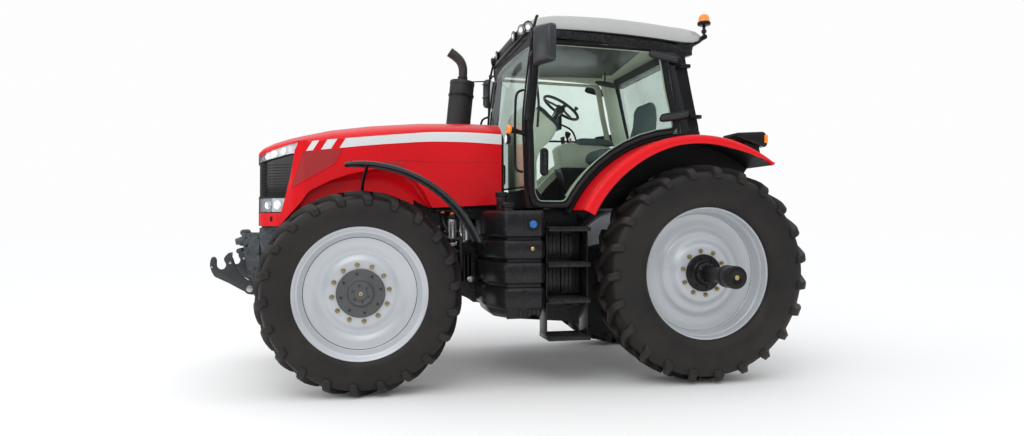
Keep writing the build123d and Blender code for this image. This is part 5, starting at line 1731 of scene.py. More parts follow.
@dataclass(frozen=True)
class Exhaust:
    """Canister with a perforated guard and the bent tail pipe."""

    y: float = -700
    foot: Pair = (2080, 1900)
    top: Pair = (1965, 3050)
    radius: float = 138
    can_profile: tuple[Pair, ...] = (
        (0.0, 0.5), (0.004, 0.93), (0.012, 1.0), (0.03, 1.0), (0.032, 0.975), (0.955, 0.975), (0.958, 1.0),
        (0.985, 1.0), (0.994, 0.96), (1.0, 0.55)
    )

    def build(self) -> None:
        """Builds the exhaust."""
        foot = Vector((self.foot[0], self.y, self.foot[1]))
        top = Vector((self.top[0], self.y, self.top[1]))
        run = top - foot
        sketch = Sketch()
        marks = self.can_profile
        sketch.tube([tuple(foot + run * m) for m, _ in marks], [self.radius * r for _, r in marks], 64)
        can = sketch.object("exhaust_canister", Look.EXHAUST)
        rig.replaces(can, "exhaust_stack")
        sketch = Sketch()
        pipe = smooth_path(
            (
                (1967, self.y, 3030), (1960, self.y, 3120), (1963, self.y, 3200), (1990, self.y, 3268),
                (2046, self.y, 3322), (2112, self.y, 3366)
            ),
            7
        )
        sizes = [46 + 8 * (i / (len(pipe) - 1)) for i in range(len(pipe))]
        inner = list(reversed(pipe[6:]))
        sketch.tube([*pipe, *inner], [*sizes, *(s - 5 for s in reversed(sizes[6:]))], 32)
        for z in (3070, 3088):
            sketch.tube([(1964, self.y, z - 5), (1964, self.y, z + 5)], 56, 32)
        sketch.tube(
            [
                (2080, self.y, 1925), (2072, self.y, 1640), (2080, self.y + 20, 1580),
                (2120, self.y + 140, 1540), (2190, -390, 1495)
            ],
            [50, 50, 50, 48, 46], 24
        )
        sketch.object("exhaust_pipes", Look.PIPE, sharp=40)
        sketch = Sketch()
        sketch.tube(
            [(2000, self.y + 120, 2980), (1900, self.y + 60, 3030), (1700, self.y + 20, 3052)], [7, 7, 7], 8
        )
        for z in (2060, 2880):
            a = 2080 - 115 * (z - 1900) / 1150
            sketch.tube([(a, self.y, z - 12), (a - 2, self.y, z + 12)], 143, 64)
        sketch.object("exhaust_bands", Look.BLACK)


@dataclass(frozen=True)
class FuelTank:
    """A moulded tank of four stacked blocks, with fillers and caps."""

    rear: float = 1502
    front: float = 1993
    inner: float = 345
    waist: float = 800
    outer: float = 1150
    bevel: float = 122
    blocks: tuple[Pair, ...] = ((1336, 1575), (1142, 1316), (922, 1120), (700, 898))
    core_steps: tuple[Pair, ...] = ((612, 90), (650, 48), (704, 34), (1560, 34))
    fillers: tuple[tuple[float, ...], ...] = ((1850, 900, 1560, 1700, 46), (1822, 1050, 1520, 1600, 50))
    cap_path: tuple[Triple, ...] = (
        (1620, 1146, 1452), (1620, 1158, 1452), (1620, 1176, 1452), (1620, 1182, 1452)
    )
    knob_path: tuple[Triple, ...] = (
        (1626, 1146, 1238), (1626, 1160, 1238), (1626, 1172, 1238), (1626, 1178, 1238)
    )

    def plan(self, sign: int, draw: float) -> list[Pair]:
        """The plan outline, drawn in all round."""
        rows = (
            (self.rear + draw, self.inner), (self.front - draw, self.inner),
            (self.front - draw, self.waist - 10), (self.front - 10 - draw, self.waist + 30),
            (self.front - self.bevel + 10 - draw, self.outer - 36 - draw),
            (self.front - self.bevel - 30, self.outer - draw), (self.rear + 40, self.outer - draw),
            (self.rear + draw, self.outer - 34)
        )
        return [(a, sign * y) for a, y in rows]

    def build(self) -> None:
        """Builds both tanks."""
        for name, sign in SIDES:
            sketch = Sketch()
            for low, high in self.blocks:
                steps = ((low, 22), (low + 14, 6), (low + 34, 0), (high - 40, 0), (high - 16, 8), (high, 26))
                sketch.loft([[(a, y, z) for a, y in self.plan(sign, draw)] for z, draw in steps])
            sketch.loft([[(a, y, z) for a, y in self.plan(sign, draw)] for z, draw in self.core_steps])
            sketch.box((1060, 1510), (sign * 640, sign * 796), (690, 1400))
            tank = sketch.object(f"fuel_tank_body_{name}", Look.PLASTIC, bevel=9, sharp=40)
            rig.replaces(tank, f"fuel_tank_{name}")
            self.fittings(name, sign)

    def fittings(self, name: str, sign: int) -> None:
        """Filler necks, the blue cap, the moulded ribs and the knob.

        Args:
            name: The side's name, left or right.
            sign: 1 on the left side, -1 on the right.
        """
        sketch = Sketch()
        for low, high in self.blocks:
            for a in (1690, 1700):
                sketch.box(
                    (a - 3, a + 3), (sign * (self.outer - 4), sign * (self.outer + 3)),
                    (low + 22, high - 22)
                )
        for a in (1560, 1640, 1720):
            sketch.tube(
                [(a, sign * (self.outer - 40), 640), (a, sign * (self.outer - 30), 760)], [16, 16], 12
            )
        sketch.object(f"tank_ribs_{name}", Look.PLASTIC, bevel=1.5)
        sketch = Sketch()
        for a, y, low, high, r in self.fillers:
            sketch.tube([(a, sign * y, low), (a, sign * y, high)], r, 32)
            sketch.tube(
                [
                    (a, sign * y, high), (a, sign * y, high + 6), (a, sign * y, high + 36),
                    (a, sign * y, high + 44)
                ],
                [r + 8, r + 12, r + 12, r + 4], 20
            )
            for z in (low + 30, low + 52):
                sketch.tube([(a, sign * y, z), (a, sign * y, z + 8)], r + 5, 32)
        sketch.object(f"tank_fillers_{name}", Look.PLASTIC, bevel=2)
        if sign > 0:
            sketch = Sketch()
            sketch.tube(self.cap_path, [30, 34, 32, 24], 24)
            for k in range(8):
                turn = math.pi * k / 4
                sketch.tube(
                    [
                        (1620 + 29 * math.cos(turn), 1160, 1452 + 29 * math.sin(turn)),
                        (1620 + 29 * math.cos(turn), 1180, 1452 + 29 * math.sin(turn))
                    ],
                    6, 8
                )
            sketch.object("tank_cap_blue", Look.BLUE, bevel=1.5)
            sketch = Sketch()
            sketch.box((1570, 1670), (1144, 1153), (1396, 1508))
            sketch.object("tank_cap_recess", Look.SEAL, bevel=4)
            sketch = Sketch()
            sketch.tube(self.knob_path, [12, 18, 17, 8], 20)
            sketch.object("tank_knob", Look.BRASS)


@dataclass(frozen=True)
class Steps:
    """Ladder to the door: toothed treads between plate stringers."""

    rear: float = 1100
    front: float = 1490
    inner: float = 880
    outer: float = 1198
    treads: tuple[float, ...] = (465, 795, 1115, 1430)
    rib_places: tuple[float, ...] = (1140, 1180, 1220, 1260, 1335, 1375, 1415, 1450)

    def build(self) -> None:
        """Builds both ladders."""
        for name, sign in SIDES:
            sketch = Sketch()
            for z in self.treads:
                sketch.box((self.rear, self.front), (sign * self.inner, sign * self.outer), (z - 8, z - 3))
                sketch.box((self.rear, self.front), (sign * (self.outer - 7), sign * self.outer), (z - 40, z))
                sketch.box((self.rear, self.front), (sign * self.inner, sign * (self.inner + 7)), (z - 40, z))
                for a in (self.rear, self.front - 8):
                    sketch.box((a, a + 8), (sign * self.inner, sign * self.outer), (z - 38, z - 1))
            for a in (self.rear, self.front - 12):
                sketch.box((a, a + 10), (sign * self.inner, sign * 1110), (425, 1430))
            sketch.box((self.rear, self.front), (sign * 802, sign * (self.inner + 4)), (760, 1398))
            ladder = sketch.object(f"ladder_{name}", Look.BLACK, bevel=3)
            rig.replaces(ladder, f"steps_{name}")
            for z in self.treads:
                self.teeth(name, sign, z)
            self.boxes(name, sign)

    def teeth(self, name: str, sign: int, z: float) -> None:
        """Raised teeth on one tread, in rows.

        Args:
            name: The side's name, left or right.
            sign: 1 on the left side, -1 on the right.
            z: Height, in millimetres.
        """
        for row in range(4):
            y = self.inner + 46 + row * 76
            sketch = Sketch()
            sketch.tube(
                [
                    (self.rear + 22, sign * y, z - 4), (self.rear + 22, sign * y, z + 1),
                    (self.rear + 22, sign * y, z + 3)
                ],
                [13, 11, 8], 12
            )
            tooth = sketch.object(f"tread_teeth_{name}_{int(z)}_{row}", Look.BLACK)
            Repeats.run(tooth, "line", Count=12, Step=(0.0315, 0.0, 0.0))

    def boxes(self, name: str, sign: int) -> None:
        """The battery and tool boxes behind the treads.

        Args:
            name: The side's name, left or right.
            sign: 1 on the left side, -1 on the right.
        """
        sketch = Sketch()
        for low, high in ((820, 1085), (1140, 1385)):
            sketch.box((1112, 1290), (sign * 860, sign * 912), (low, high))
            sketch.box((1304, 1478), (sign * 860, sign * 922), (low + 12, high))
            for a in self.rib_places:
                sketch.box((a - 4, a + 4), (sign * 905, sign * 930), (low + 30, high - 30))
        sketch.object(f"side_boxes_{name}", Look.PLASTIC, bevel=6)


@dataclass(frozen=True)
class Roof:
    """Roof shell, its black visor and work lamps."""

    crown: tuple[Pair, ...] = (
        (1604, 3322), (1560, 3362), (1510, 3390), (1420, 3418), (1300, 3434), (1060, 3440), (805, 3441),
        (500, 3428), (283, 3408), (0, 3383), (-120, 3368), (-180, 3340), (-212, 3302)
    )
    floor: tuple[Pair, ...] = (
        (1600, 3262), (1294, 3257), (1003, 3257), (656, 3244), (302, 3222), (96, 3200), (-60, 3212),
        (-150, 3246), (-212, 3296)
    )
    half: tuple[Pair, ...] = (
        (1604, 690), (1575, 790), (1540, 838), (1480, 858), (1200, 876), (0, 876), (-90, 850), (-160, 800),
        (-212, 740)
    )
    lamps: tuple[tuple[Triple, Triple], ...] = (
        ((1580, 808, 3276), (0.62, 0.78, -0.1)), ((1622, 706, 3274), (0.86, 0.5, -0.1)),
        ((1634, 420, 3284), (1.0, 0.1, -0.12))
    )
    hem: tuple[Pair, ...] = (
        (1600, 3190), (1318, 3142), (756, 3144), (400, 3142), (250, 3142), (60, 3160), (-60, 3188),
        (-110, 3206)
    )
    edge: float = 88
    rib_stations: tuple[float, ...] = (
        1604, 1592, 1575, 1555, 1530, 1500, 1450, 1380, 1300, 1150, 1000, 805, 600, 400, 200, 50, -50, -120,
        -160, -190, -212
    )
    base_steps: tuple[Pair, ...] = ((0.0, 4), (0.14, 0), (0.3, 16), (0.8, 20), (1.0, 14))
    base_plan: tuple[Pair, ...] = (
        (1580, 700), (1545, 800), (1480, 858), (1300, 874), (1000, 878), (650, 878), (300, 876), (96, 872),
        (-30, 862), (-110, 810)
    )
    visor_section: tuple[Pair, ...] = (
        (1556, 3238), (1590, 3232), (1606, 3246), (1610, 3290), (1604, 3330), (1574, 3344), (1540, 3330)
    )

    def section(self, ahead: float) -> list[Triple]:
        """The cross-section at a place, from the left lower edge over the top and back below.

        Args:
            ahead: Distance ahead of the rear axle, in millimetres.

        Returns:
            The points, in order.
        """
        top, low, wide = along(self.crown, ahead), along(self.floor, ahead), along(self.half, ahead)
        side = min(self.edge, (top - low) * 0.45)
        upper = [
            (wide - 8, low), (wide, low + 8), (wide - 2, low + side * 0.6), (wide - 12, low + side),
            (wide - 44, top - (top - low - side) * 0.52), (wide - 100, top - (top - low - side) * 0.24),
            (wide * 0.72, top - (top - low - side) * 0.08), (wide * 0.4, top - 2)
        ]
        upper = smooth_path(upper, 3)
        rows = [(ahead, y, z) for y, z in upper] + [(ahead, 0, top)] + [
            (ahead, -y, z) for y, z in reversed(upper)
        ]
        return rows + [(ahead, -wide * 0.5, low), (ahead, 0, low), (ahead, wide * 0.5, low)]

    def build(self) -> None:
        """Builds the roof, the visor and the lamps in it."""
        sketch = Sketch()
        spots = self.rib_stations
        sketch.loft([self.section(a) for a in spots])
        roof = sketch.object("roof_shell", Look.ROOF, sharp=50)
        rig.replaces(roof, "cab_roof")
        self.base()
        self.visor()

    def base(self) -> None:
        """The black rim under the shell."""
        sketch = Sketch()
        rings = []
        for share, draw in self.base_steps:
            plan = self.base_plan
            ring = [
                (a, y - draw, along(self.hem, a) + (along(self.floor, a) + 6 - along(self.hem, a)) * share)
                for a, y in plan
            ]
            rings.append([*ring, *((a, -y, z) for a, y, z in reversed(ring))])
        sketch.loft(rings)
        sketch.object("roof_rim", Look.BLACK, bevel=4, sharp=35)
        sketch = Sketch()
        for sign in (1, -1):
            sketch.tube([(a, sign * 872, along(self.floor, a) - 4) for a in range(1480, 60, -60)], 7, 8)
        sketch.object("roof_gutter", Look.BLACK)

    def visor(self) -> None:
        """The black brow over the windscreen with its four round lamps."""
        sketch = Sketch()
        rows = []
        for k in range(25):
            turn = math.pi * k / 24
            y = 800 * math.cos(turn)
            bow = 8 * math.sin(turn)
            rows.append([(a + bow, y, z) for a, z in self.visor_section])
        sketch.loft(rows)
        sketch.object("roof_visor", Look.BLACK, bevel=3, sharp=40)
        holders, lenses, rings = Sketch(), Sketch(), Sketch()
        for spot, facing in self.lamps:
            for sign in (1, -1):
                start = Vector((spot[0], sign * spot[1], spot[2]))
                out = Vector((facing[0], sign * facing[1], facing[2])).normalized()
                holders.tube(
                    [start - out * 44, start - out * 10, start, start + out * 2], [30, 50, 52, 46], 28
                )
                rings.tube(
                    [start - out * 6, start + out * 5, start + out * 6, start + out * 2], [46, 45, 39, 37],
                    28
                )
                lenses.tube([start - out * 4, start + out * 3, start + out * 7], [38, 36, 18], 28)
        lamps = holders.object("roof_lamp_bodies", Look.BLACK)
        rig.replaces(lamps, "roof_lamps")
        rings.object("roof_lamp_rings", Look.STEEL)
        lenses.object("roof_lamp_lenses", Look.LAMP_BODY)


@dataclass(frozen=True)
class DoorShape:
    """The door's outline in side view, with rounded corners."""

    sill: Pair = (60.0, 1010.0)
    arc: float = 1304
    arch_angles: tuple[float, ...] = (84, 77, 70, 63, 56, 49, 43, 37, 32)

    def outline(self, inset: float, steps: int = 5) -> list[Pair]:
        """The edge, drawn in by inset, as (ahead, height) points.

        Args:
            inset: Distance inside the CAD door's edge.
            steps: Number of pieces in each rounded corner.

        Returns:
            The points in order, the first not repeated.
        """
        radius = self.arc + inset
        low = 1600 + inset
        arc = [
            (
                self.sill[0] + radius * math.cos(math.radians(t)),
                self.sill[1] + radius * math.sin(math.radians(t))
            )
            for t in self.arch_angles
        ]
        foot = (self.sill[0] + math.sqrt(radius**2 - (low - self.sill[1]) ** 2), low)
        corners = [
            (1568 - inset, low, 70), (1606 - inset, 1740, 30), (1612 - inset, 2131, 0),
            (1622 - inset, 2345, 0), (1594 - inset, 2596, 0),
            (1553 - inset, 3050, 0), (1544 - inset, 3132 - inset * 0.5, 60),
            (268 + inset, 3110 - inset * 0.5, 60), (208 + inset, 2737, 0), (130 + inset, 2400, 70),
            *((a, z, 0) for a, z in arc), (*foot, 60),
        ]
        out: list[Pair] = []
        for i, (a, z, r) in enumerate(corners):
            if not r:
                out.append((a, z))
                continue
            here = Vector((a, z))
            before = Vector(corners[i - 1][:2]) - here
            after = Vector(corners[(i + 1) % len(corners)][:2]) - here
            reach = min(r, before.length * 0.48, after.length * 0.48)
            start, end = here + before.normalized() * reach, here + after.normalized() * reach
            for k in range(steps + 1):
                t = k / steps
                spot = start * (1 - t) ** 2 + here * 2 * t * (1 - t) + end * t * t
                out.append((spot.x, spot.y))
        return out


@dataclass(frozen=True)
class Door:
    """One glazed door: frame, seals, glass, hinges and handle."""

    shape: DoorShape = DoorShape()
    inside: float = 906
    outside: float = 940
    seal_band: tuple[Pair, ...] = ((40, 926.5), (40, 933), (58, 933), (60, 930), (60, 926.5))
    trim_band: tuple[Pair, ...] = (
        (4, 905), (4, 899), (46, 899), (66, 904), (68, 912), (66, 918), (40, 918), (36, 905)
    )
    hinge_low: tuple[Triple, ...] = (
        (336, 2452, 20), (326, 2453, 34), (300, 2456, 42), (180, 2474, 44), (50, 2500, 42), (24, 2512, 30)
    )
    hinge_high: tuple[Triple, ...] = (
        (444, 3058, 18), (434, 3057, 30), (408, 3052, 38), (290, 3034, 42), (160, 3014, 40), (136, 3010, 30)
    )
    handle_steps: tuple[Pair, ...] = ((938, 0), (950, 0), (962, 8), (966, 16))

    def band(self, sketch: Sketch, sign: int, rows: Sequence[tuple[float, float]]) -> None:
        """A closed band round the door through (inset, y) rows."""
        rings = [[(a, sign * y, z) for a, z in self.shape.outline(inset)] for inset, y in rows]
        sketch.loft([*rings, rings[0]], caps=False)

    def build(self) -> None:
        """Builds both doors."""
        low, high = self.inside, self.outside
        for name, sign in SIDES:
            body = f"door_{name}"
            sketch = Sketch()
            self.band(
                sketch, sign,
                (
                    (2, low + 2), (0, low + 8), (0, high - 8), (6, high), (30, high), (38, high - 6),
                    (41, high - 14), (41, low + 4), (36, low)
                )
            )
            frame = sketch.object(f"door_frame_{name}", Look.BLACK, body, sharp=40)
            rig.replaces(frame, f"door_{name}")
            sketch = Sketch()
            self.band(sketch, sign, self.seal_band)
            sketch.object(f"door_seal_{name}", Look.SEAL, body, sharp=40)
            sketch = Sketch()
            self.band(sketch, sign, self.trim_band)
            sketch.object(f"door_inner_trim_{name}", Look.TRIM, body, sharp=40)
            sketch = Sketch()
            sketch.loft([[(a, sign * y, z) for a, z in self.shape.outline(40)] for y in (920, 926)])
            pane = sketch.object(f"door_pane_{name}", Look.GLASS, body, sharp=60)
            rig.replaces(pane, f"door_glass_{name}")
            self.hinges(name, sign, body)
            self.handle(name, sign, body)

    def hinges(self, name: str, sign: int, body: str) -> None:
        """The two capsule hinge arms with their barrels.

        Args:
            name: The side's name, left or right.
            sign: 1 on the left side, -1 on the right.
            body: The CAD body that the piece moves with.
        """
        for label, spots in (("low", self.hinge_low), ("high", self.hinge_high)):
            sketch = Sketch()
            rings = []
            for a, z, size in spots:
                ring = []
                for k in range(16):
                    t = 2 * math.pi * k / 16
                    ring.append(
                        (a - 6 * math.sin(t), sign * (954 + 12 * math.cos(t)), z + size * math.sin(t))
                    )
                rings.append(ring)
            sketch.loft(rings)
            sketch.object(f"door_hinge_{label}_{name}", Look.BLACK, body, bevel=3, sharp=50)
            sketch = Sketch()
            inner = []
            for a, z, size in spots[1:-1]:
                inner.append(
                    [
                        (a - 4 * math.sin(t), sign * (962 + 5 * math.cos(t)), z + size * 0.55 * math.sin(t))
                        for t in (2 * math.pi * k / 16 for k in range(16))
                    ]
                )
            sketch.loft(inner)
            a, z, size = spots[2]
            sketch.tube([(a, sign * 960, z), (a, sign * 970, z)], 15, 16)
            sketch.object(f"door_hinge_face_{label}_{name}", Look.FENDER, body, bevel=2)

    def handle(self, name: str, sign: int, body: str) -> None:
        """The upright capsule handle with its push and lock.

        Args:
            name: The side's name, left or right.
            sign: 1 on the left side, -1 on the right.
            body: The CAD body that the piece moves with.
        """
        sketch = Sketch()
        rings = []
        for y, draw in self.handle_steps:
            ring = []
            for k in range(24):
                t = 2 * math.pi * k / 24
                lift = 88 if math.sin(t) > 0 else -88
                ring.append(
                    (1462 + (40 - draw) * math.cos(t), sign * y, 2020 + lift + (40 - draw) * math.sin(t))
                )
            rings.append(ring)
        sketch.loft(rings)
        sketch.object(f"door_handle_{name}", Look.BLACK, body, bevel=2, sharp=50)
        sketch = Sketch()
        sketch.box((1448, 1472), (sign * 962, sign * 972), (1990, 2100))
        sketch.tube([(1461, sign * 960, 1935), (1461, sign * 970, 1935)], 12, 20)
        sketch.object(f"door_handle_grip_{name}", Look.PLASTIC, body, bevel=3)


@dataclass(frozen=True)
class CabTrim:
    """Posts, pillars and trim round the glass, inside and out."""

    front_pillar: tuple[Triple, ...] = (
        (1556, 1618, 1600), (1548, 1622, 1700), (1548, 1632, 2131), (1556, 1640, 2350), (1530, 1614, 2600),
        (1500, 1580, 2900), (1482, 1560, 3110), (1470, 1548, 3180)
    )
    rear_pillar: tuple[Triple, ...] = (
        (-98, 100, 2300), (-82, 118, 2409), (-42, 150, 2580), (0, 186, 2760), (36, 214, 2920),
        (62, 240, 3060), (70, 250, 3150)
    )
    rear_lining: tuple[Triple, ...] = (
        (-40, 128, 2340), (-22, 146, 2450), (18, 180, 2600), (58, 210, 2770), (96, 250, 2940),
        (130, 280, 3060), (150, 310, 3120)
    )
    arch_lining: tuple[Pair, ...] = (
        (1268, 780), (1268, 874), (1300, 880), (1306, 876), (1340, 780), (1340, 700), (1268, 700)
    )
    arch_seal: tuple[Pair, ...] = (
        (1264, 884), (1264, 930), (1278, 936), (1298, 934), (1300, 896), (1314, 894), (1314, 884)
    )
    side_lining: tuple[Pair, ...] = (
        (1480, 3150), (1200, 3146), (900, 3138), (600, 3124), (300, 3100), (160, 3084)
    )
    side_section: tuple[Pair, ...] = ((836, 60), (838, 0), (820, -14), (780, -8), (740, 30), (736, 60))
    front_lining: tuple[Triple, ...] = (
        (1500, 1566, 1780), (1502, 1590, 1900), (1508, 1604, 2131), (1512, 1606, 2240), (1516, 1596, 2290)
    )
    rail_path: tuple[Triple, ...] = (
        (1650, 880, 1930), (1716, 905, 1960), (1728, 912, 2100), (1724, 912, 2500), (1706, 905, 2640),
        (1640, 880, 2680)
    )
    wiper_arm: tuple[Triple, ...] = (
        (1716, -90, 1800), (1742, -90, 1806), (1748, -120, 1840), (1740, -300, 2240)
    )
    wiper_blade: tuple[Triple, ...] = (
        (1722, -440, 1850), (1736, -330, 2160), (1738, -260, 2400), (1728, -210, 2640)
    )

    def build(self) -> None:
        """Builds the pillars, the lining, the rails and the wiper."""
        for name, sign in SIDES:
            self.pillars(name, sign)
            self.lining(name, sign)
        self.front()

    @staticmethod
    def strip(
        sketch: Sketch, rows: Sequence[tuple[float, float, float]], sign: int, y: Pair, round_: float
    ) -> None:
        """A rounded upright strip through rows of (rear, front, height).

        Args:
            sketch: The sketch that the form is added to.
            rows: Rows of rear, front and height.
            sign: 1 on the left side, -1 on the right.
            y: Inner and outer distance from the middle.
            round_: Radius of the rounding, in millimetres.
        """
        rings = []
        for rear, front, z in rows:
            low, high = y
            ring = [
                (rear, low, z), (rear, high - round_, z), (rear + round_ * 0.3, high - round_ * 0.3, z),
                (rear + round_, high, z), (front - round_, high, z),
                (front - round_ * 0.3, high - round_ * 0.3, z), (front, high - round_, z), (front, low, z)
            ]
            rings.append([(a, sign * b, c) for a, b, c in ring])
        sketch.loft(rings)

    def pillars(self, name: str, sign: int) -> None:
        """The front post's cover and the broad glossy rear post.

        Args:
            name: The side's name, left or right.
            sign: 1 on the left side, -1 on the right.
        """
        sketch = Sketch()
        rows = self.front_pillar
        self.strip(sketch, rows, sign, (840, 897), 14)
        sketch.object(f"front_post_{name}", Look.BLACK, sharp=45)
        sketch = Sketch()
        rows = self.rear_pillar
        self.strip(sketch, rows, sign, (846, 897), 20)
        sketch.object(f"rear_post_{name}", Look.POST, sharp=45)
        sketch = Sketch()
        for z in (2500, 2980):
            a = -60 + (z - 2500) * 0.24
            sketch.box((a - 34, a + 60), (sign * 900, sign * 958), (z - 40, z - 4))
        sketch.object(f"rear_post_brackets_{name}", Look.BLACK, bevel=6)

    def lining(self, name: str, sign: int) -> None:
        """Pale plastic on the inside of the posts, roof edge and wheel arch.

        Args:
            name: The side's name, left or right.
            sign: 1 on the left side, -1 on the right.
        """
        sketch = Sketch()
        rows = self.rear_lining
        self.strip(sketch, rows, -sign, (-838, -770), 20)
        sketch.object(f"rear_post_lining_{name}", Look.TRIM, sharp=45)
        sketch = Sketch()
        rings = []
        for t in range(32, 92, 5):
            turn = math.radians(t)
            ring = [
                (60 + r * math.cos(turn), sign * y, 1010 + r * math.sin(turn)) for r, y in self.arch_lining
            ]
            rings.append(ring)
        sketch.loft(rings)
        sketch.object(f"arch_lining_{name}", Look.TRIM, sharp=45)
        sketch = Sketch()
        rings = []
        for t in range(25, 94, 3):
            turn = math.radians(t)
            rings.append(
                [(60 + r * math.cos(turn), sign * y, 1010 + r * math.sin(turn)) for r, y in self.arch_seal]
            )
        sketch.loft(rings)
        sketch.object(f"arch_seal_{name}", Look.SEAL, sharp=45)
        sketch = Sketch()
        rings = []
        for a, z in self.side_lining:
            rings.append([(a, sign * y, z + dz) for y, dz in self.side_section])
        sketch.loft(rings)
        sketch.object(f"roof_lining_{name}", Look.TRIM, sharp=45)
        sketch = Sketch()
        rows = self.front_lining
        rings = []
        for rear, front, z in rows:
            rings.append(
                [
                    (a, sign * y, z)
                    for a, y in (
                        (rear, 836), (front - 10, 838), (front, 826), (front + 20, 640), (front + 24, 520),
                        (rear + 60, 510), (rear, 640)
                    )
                ]
            )
        sketch.loft(rings)
        sketch.object(f"corner_panel_{name}", Look.TRIM, bevel=10, sharp=45)

    def front(self) -> None:
        """Windscreen edge, grab rails and the wiper."""
        sketch = Sketch()
        for sign in (1, -1):
            path = [
                (1630, sign * 892, 1790), (1640, sign * 892, 2100), (1650, sign * 892, 2400),
                (1624, sign * 890, 2700), (1592, sign * 888, 2960), (1574, sign * 886, 3090)
            ]
            sketch.tube(smooth_path(path, 4), 9, 8)
        low = [(1704 - 80 * (y / 890) ** 2, y, 1792) for y in range(-890, 891, 89)]
        sketch.tube(low, 9, 8)
        sketch.object("windscreen_seal", Look.SEAL)
        sketch = Sketch()
        for sign in (1, -1):
            rail = self.rail_path
            sketch.tube([(a, sign * y, z) for a, y, z in smooth_path(rail, 6)], 12, 10)
        sketch.object("grab_rails", Look.BLACK)
        sketch = Sketch()
        sketch.tube(self.wiper_arm, [16, 14, 9, 7], 10)
        blade = self.wiper_blade
        sketch.tube(smooth_path(blade, 5), 9, 8)
        sketch.object("wiper", Look.BLACK)


@dataclass(frozen=True)
class RearFender:
    """A red rear fender: crown, rolled outer lip, black liner and its inner wall."""

    centre: Pair = (60, 1010)
    radius: float = 1262
    start: float = 27
    end: float = 126
    marker_outline: tuple[Pair, ...] = ((-640, 2262), (-648, 2256), (-646, 2204), (-636, 2198))
    stem_outline: tuple[Pair, ...] = ((-420, 2270), (-470, 2160), (-600, 2080), (-620, 2100), (-580, 2270))

    def lip(self, turn: float) -> float:
        """Depth of the outer lip at an angle in degrees."""
        return along(((self.start, 112), (55, 104), (80, 84), (105, 84), (118, 60), (self.end, 16)), turn)

    def build(self) -> None:
        """Builds both fenders."""
        for name, sign in SIDES:
            red, black, wall = Sketch(), Sketch(), Sketch()
            outer, inner, side = [], [], []
            for k in range(57):
                t = self.start + (self.end - self.start) * k / 56
                turn = math.radians(t)
                lip = self.lip(t)
                profile = [
                    (0, 776), (0, 1180), (-1, 1222), (-5, 1242), (-13, 1256), (-24, 1264), (-40, 1269),
                    (-lip + 6, 1269), (-lip, 1265),
                    (-lip, 1255), (-lip + 6, 1250), (-44, 1246), (-30, 1238), (-24, 1222), (-22, 1180),
                    (-22, 776),
                ]
                outer.append(
                    [
                        (
                            self.centre[0] + (self.radius + d) * math.cos(turn), sign * y,
                            self.centre[1] + (self.radius + d) * math.sin(turn)
                        )
                        for d, y in profile
                    ]
                )
                sunk = [
                    (-25, 780), (-25, 1215), (-32, 1234), (-lip - 4, 1243), (-lip - 4, 1238), (-40, 1228),
                    (-36, 1210), (-36, 780)
                ]
                inner.append(
                    [
                        (
                            self.centre[0] + (self.radius + d) * math.cos(turn), sign * y,
                            self.centre[1] + (self.radius + d) * math.sin(turn)
                        )
                        for d, y in sunk
                    ]
                )
                deep = 170 + 110 * math.sin(math.pi * k / 56)
                low = [(-20, 776), (-20, 800), (-deep, 800), (-deep, 776)]
                side.append(
                    [
                        (
                            self.centre[0] + (self.radius + d) * math.cos(turn), sign * y,
                            self.centre[1] + (self.radius + d) * math.sin(turn)
                        )
                        for d, y in low
                    ]
                )
            red.loft(outer)
            fender = red.object(f"rear_fender_shell_{name}", Look.RED, sharp=45)
            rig.replaces(fender, f"rear_fender_{name}")
            black.loft(inner)
            black.object(f"rear_fender_liner_{name}", Look.LINER, sharp=45)
            wall.loft(side)
            wall.object(f"rear_fender_wall_{name}", Look.LINER, sharp=45)
            self.lamp(name, sign)

    def lamp(self, name: str, sign: int) -> None:
        """The lamp box on the fender's back.

        Args:
            name: The side's name, left or right.
            sign: 1 on the left side, -1 on the right.
        """
        sketch = Sketch()
        rings = []
        for y in (902, 912, 1186, 1198):
            draw = 8 if y in (902, 1198) else 0
            rings.append(
                [
                    (a, sign * y, z)
                    for a, z in (
                        (-338 - draw, 2262), (-340 - draw, 2306 - draw), (-596, 2322 - draw),
                        (-618, 2312 - draw), (-644 + draw, 2270), (-642 + draw, 2196), (-620 + draw, 2176),
                        (-560, 2190)
                    )
                ]
            )
        sketch.loft(rings)
        box = sketch.object(f"rear_lamp_box_{name}", Look.PLASTIC, bevel=4, sharp=40)
        if sign > 0:
            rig.replaces(box, "rear_lamps")
        sketch = Sketch()
        for look, (low, high) in enumerate(((915, 1000), (1005, 1090), (1095, 1185))):
            sketch.look = look % 2
            sketch.loft([[(a, sign * y, z) for a, z in self.marker_outline] for y in (low, high)])
        sketch.object(f"rear_lamp_lenses_{name}", (Look.AMBER, Look.RED_LENS), bevel=2)
        sketch = Sketch()
        sketch.box((-640, -606), (sign * 1190, sign * 1206), (2214, 2290))
        sketch.object(f"rear_marker_{name}", Look.AMBER, bevel=4)
        sketch = Sketch()
        sketch.loft([[(a, sign * y, z) for a, z in self.stem_outline] for y in (960, 1120)])
        sketch.object(f"rear_lamp_stem_{name}", Look.PLASTIC, bevel=5)


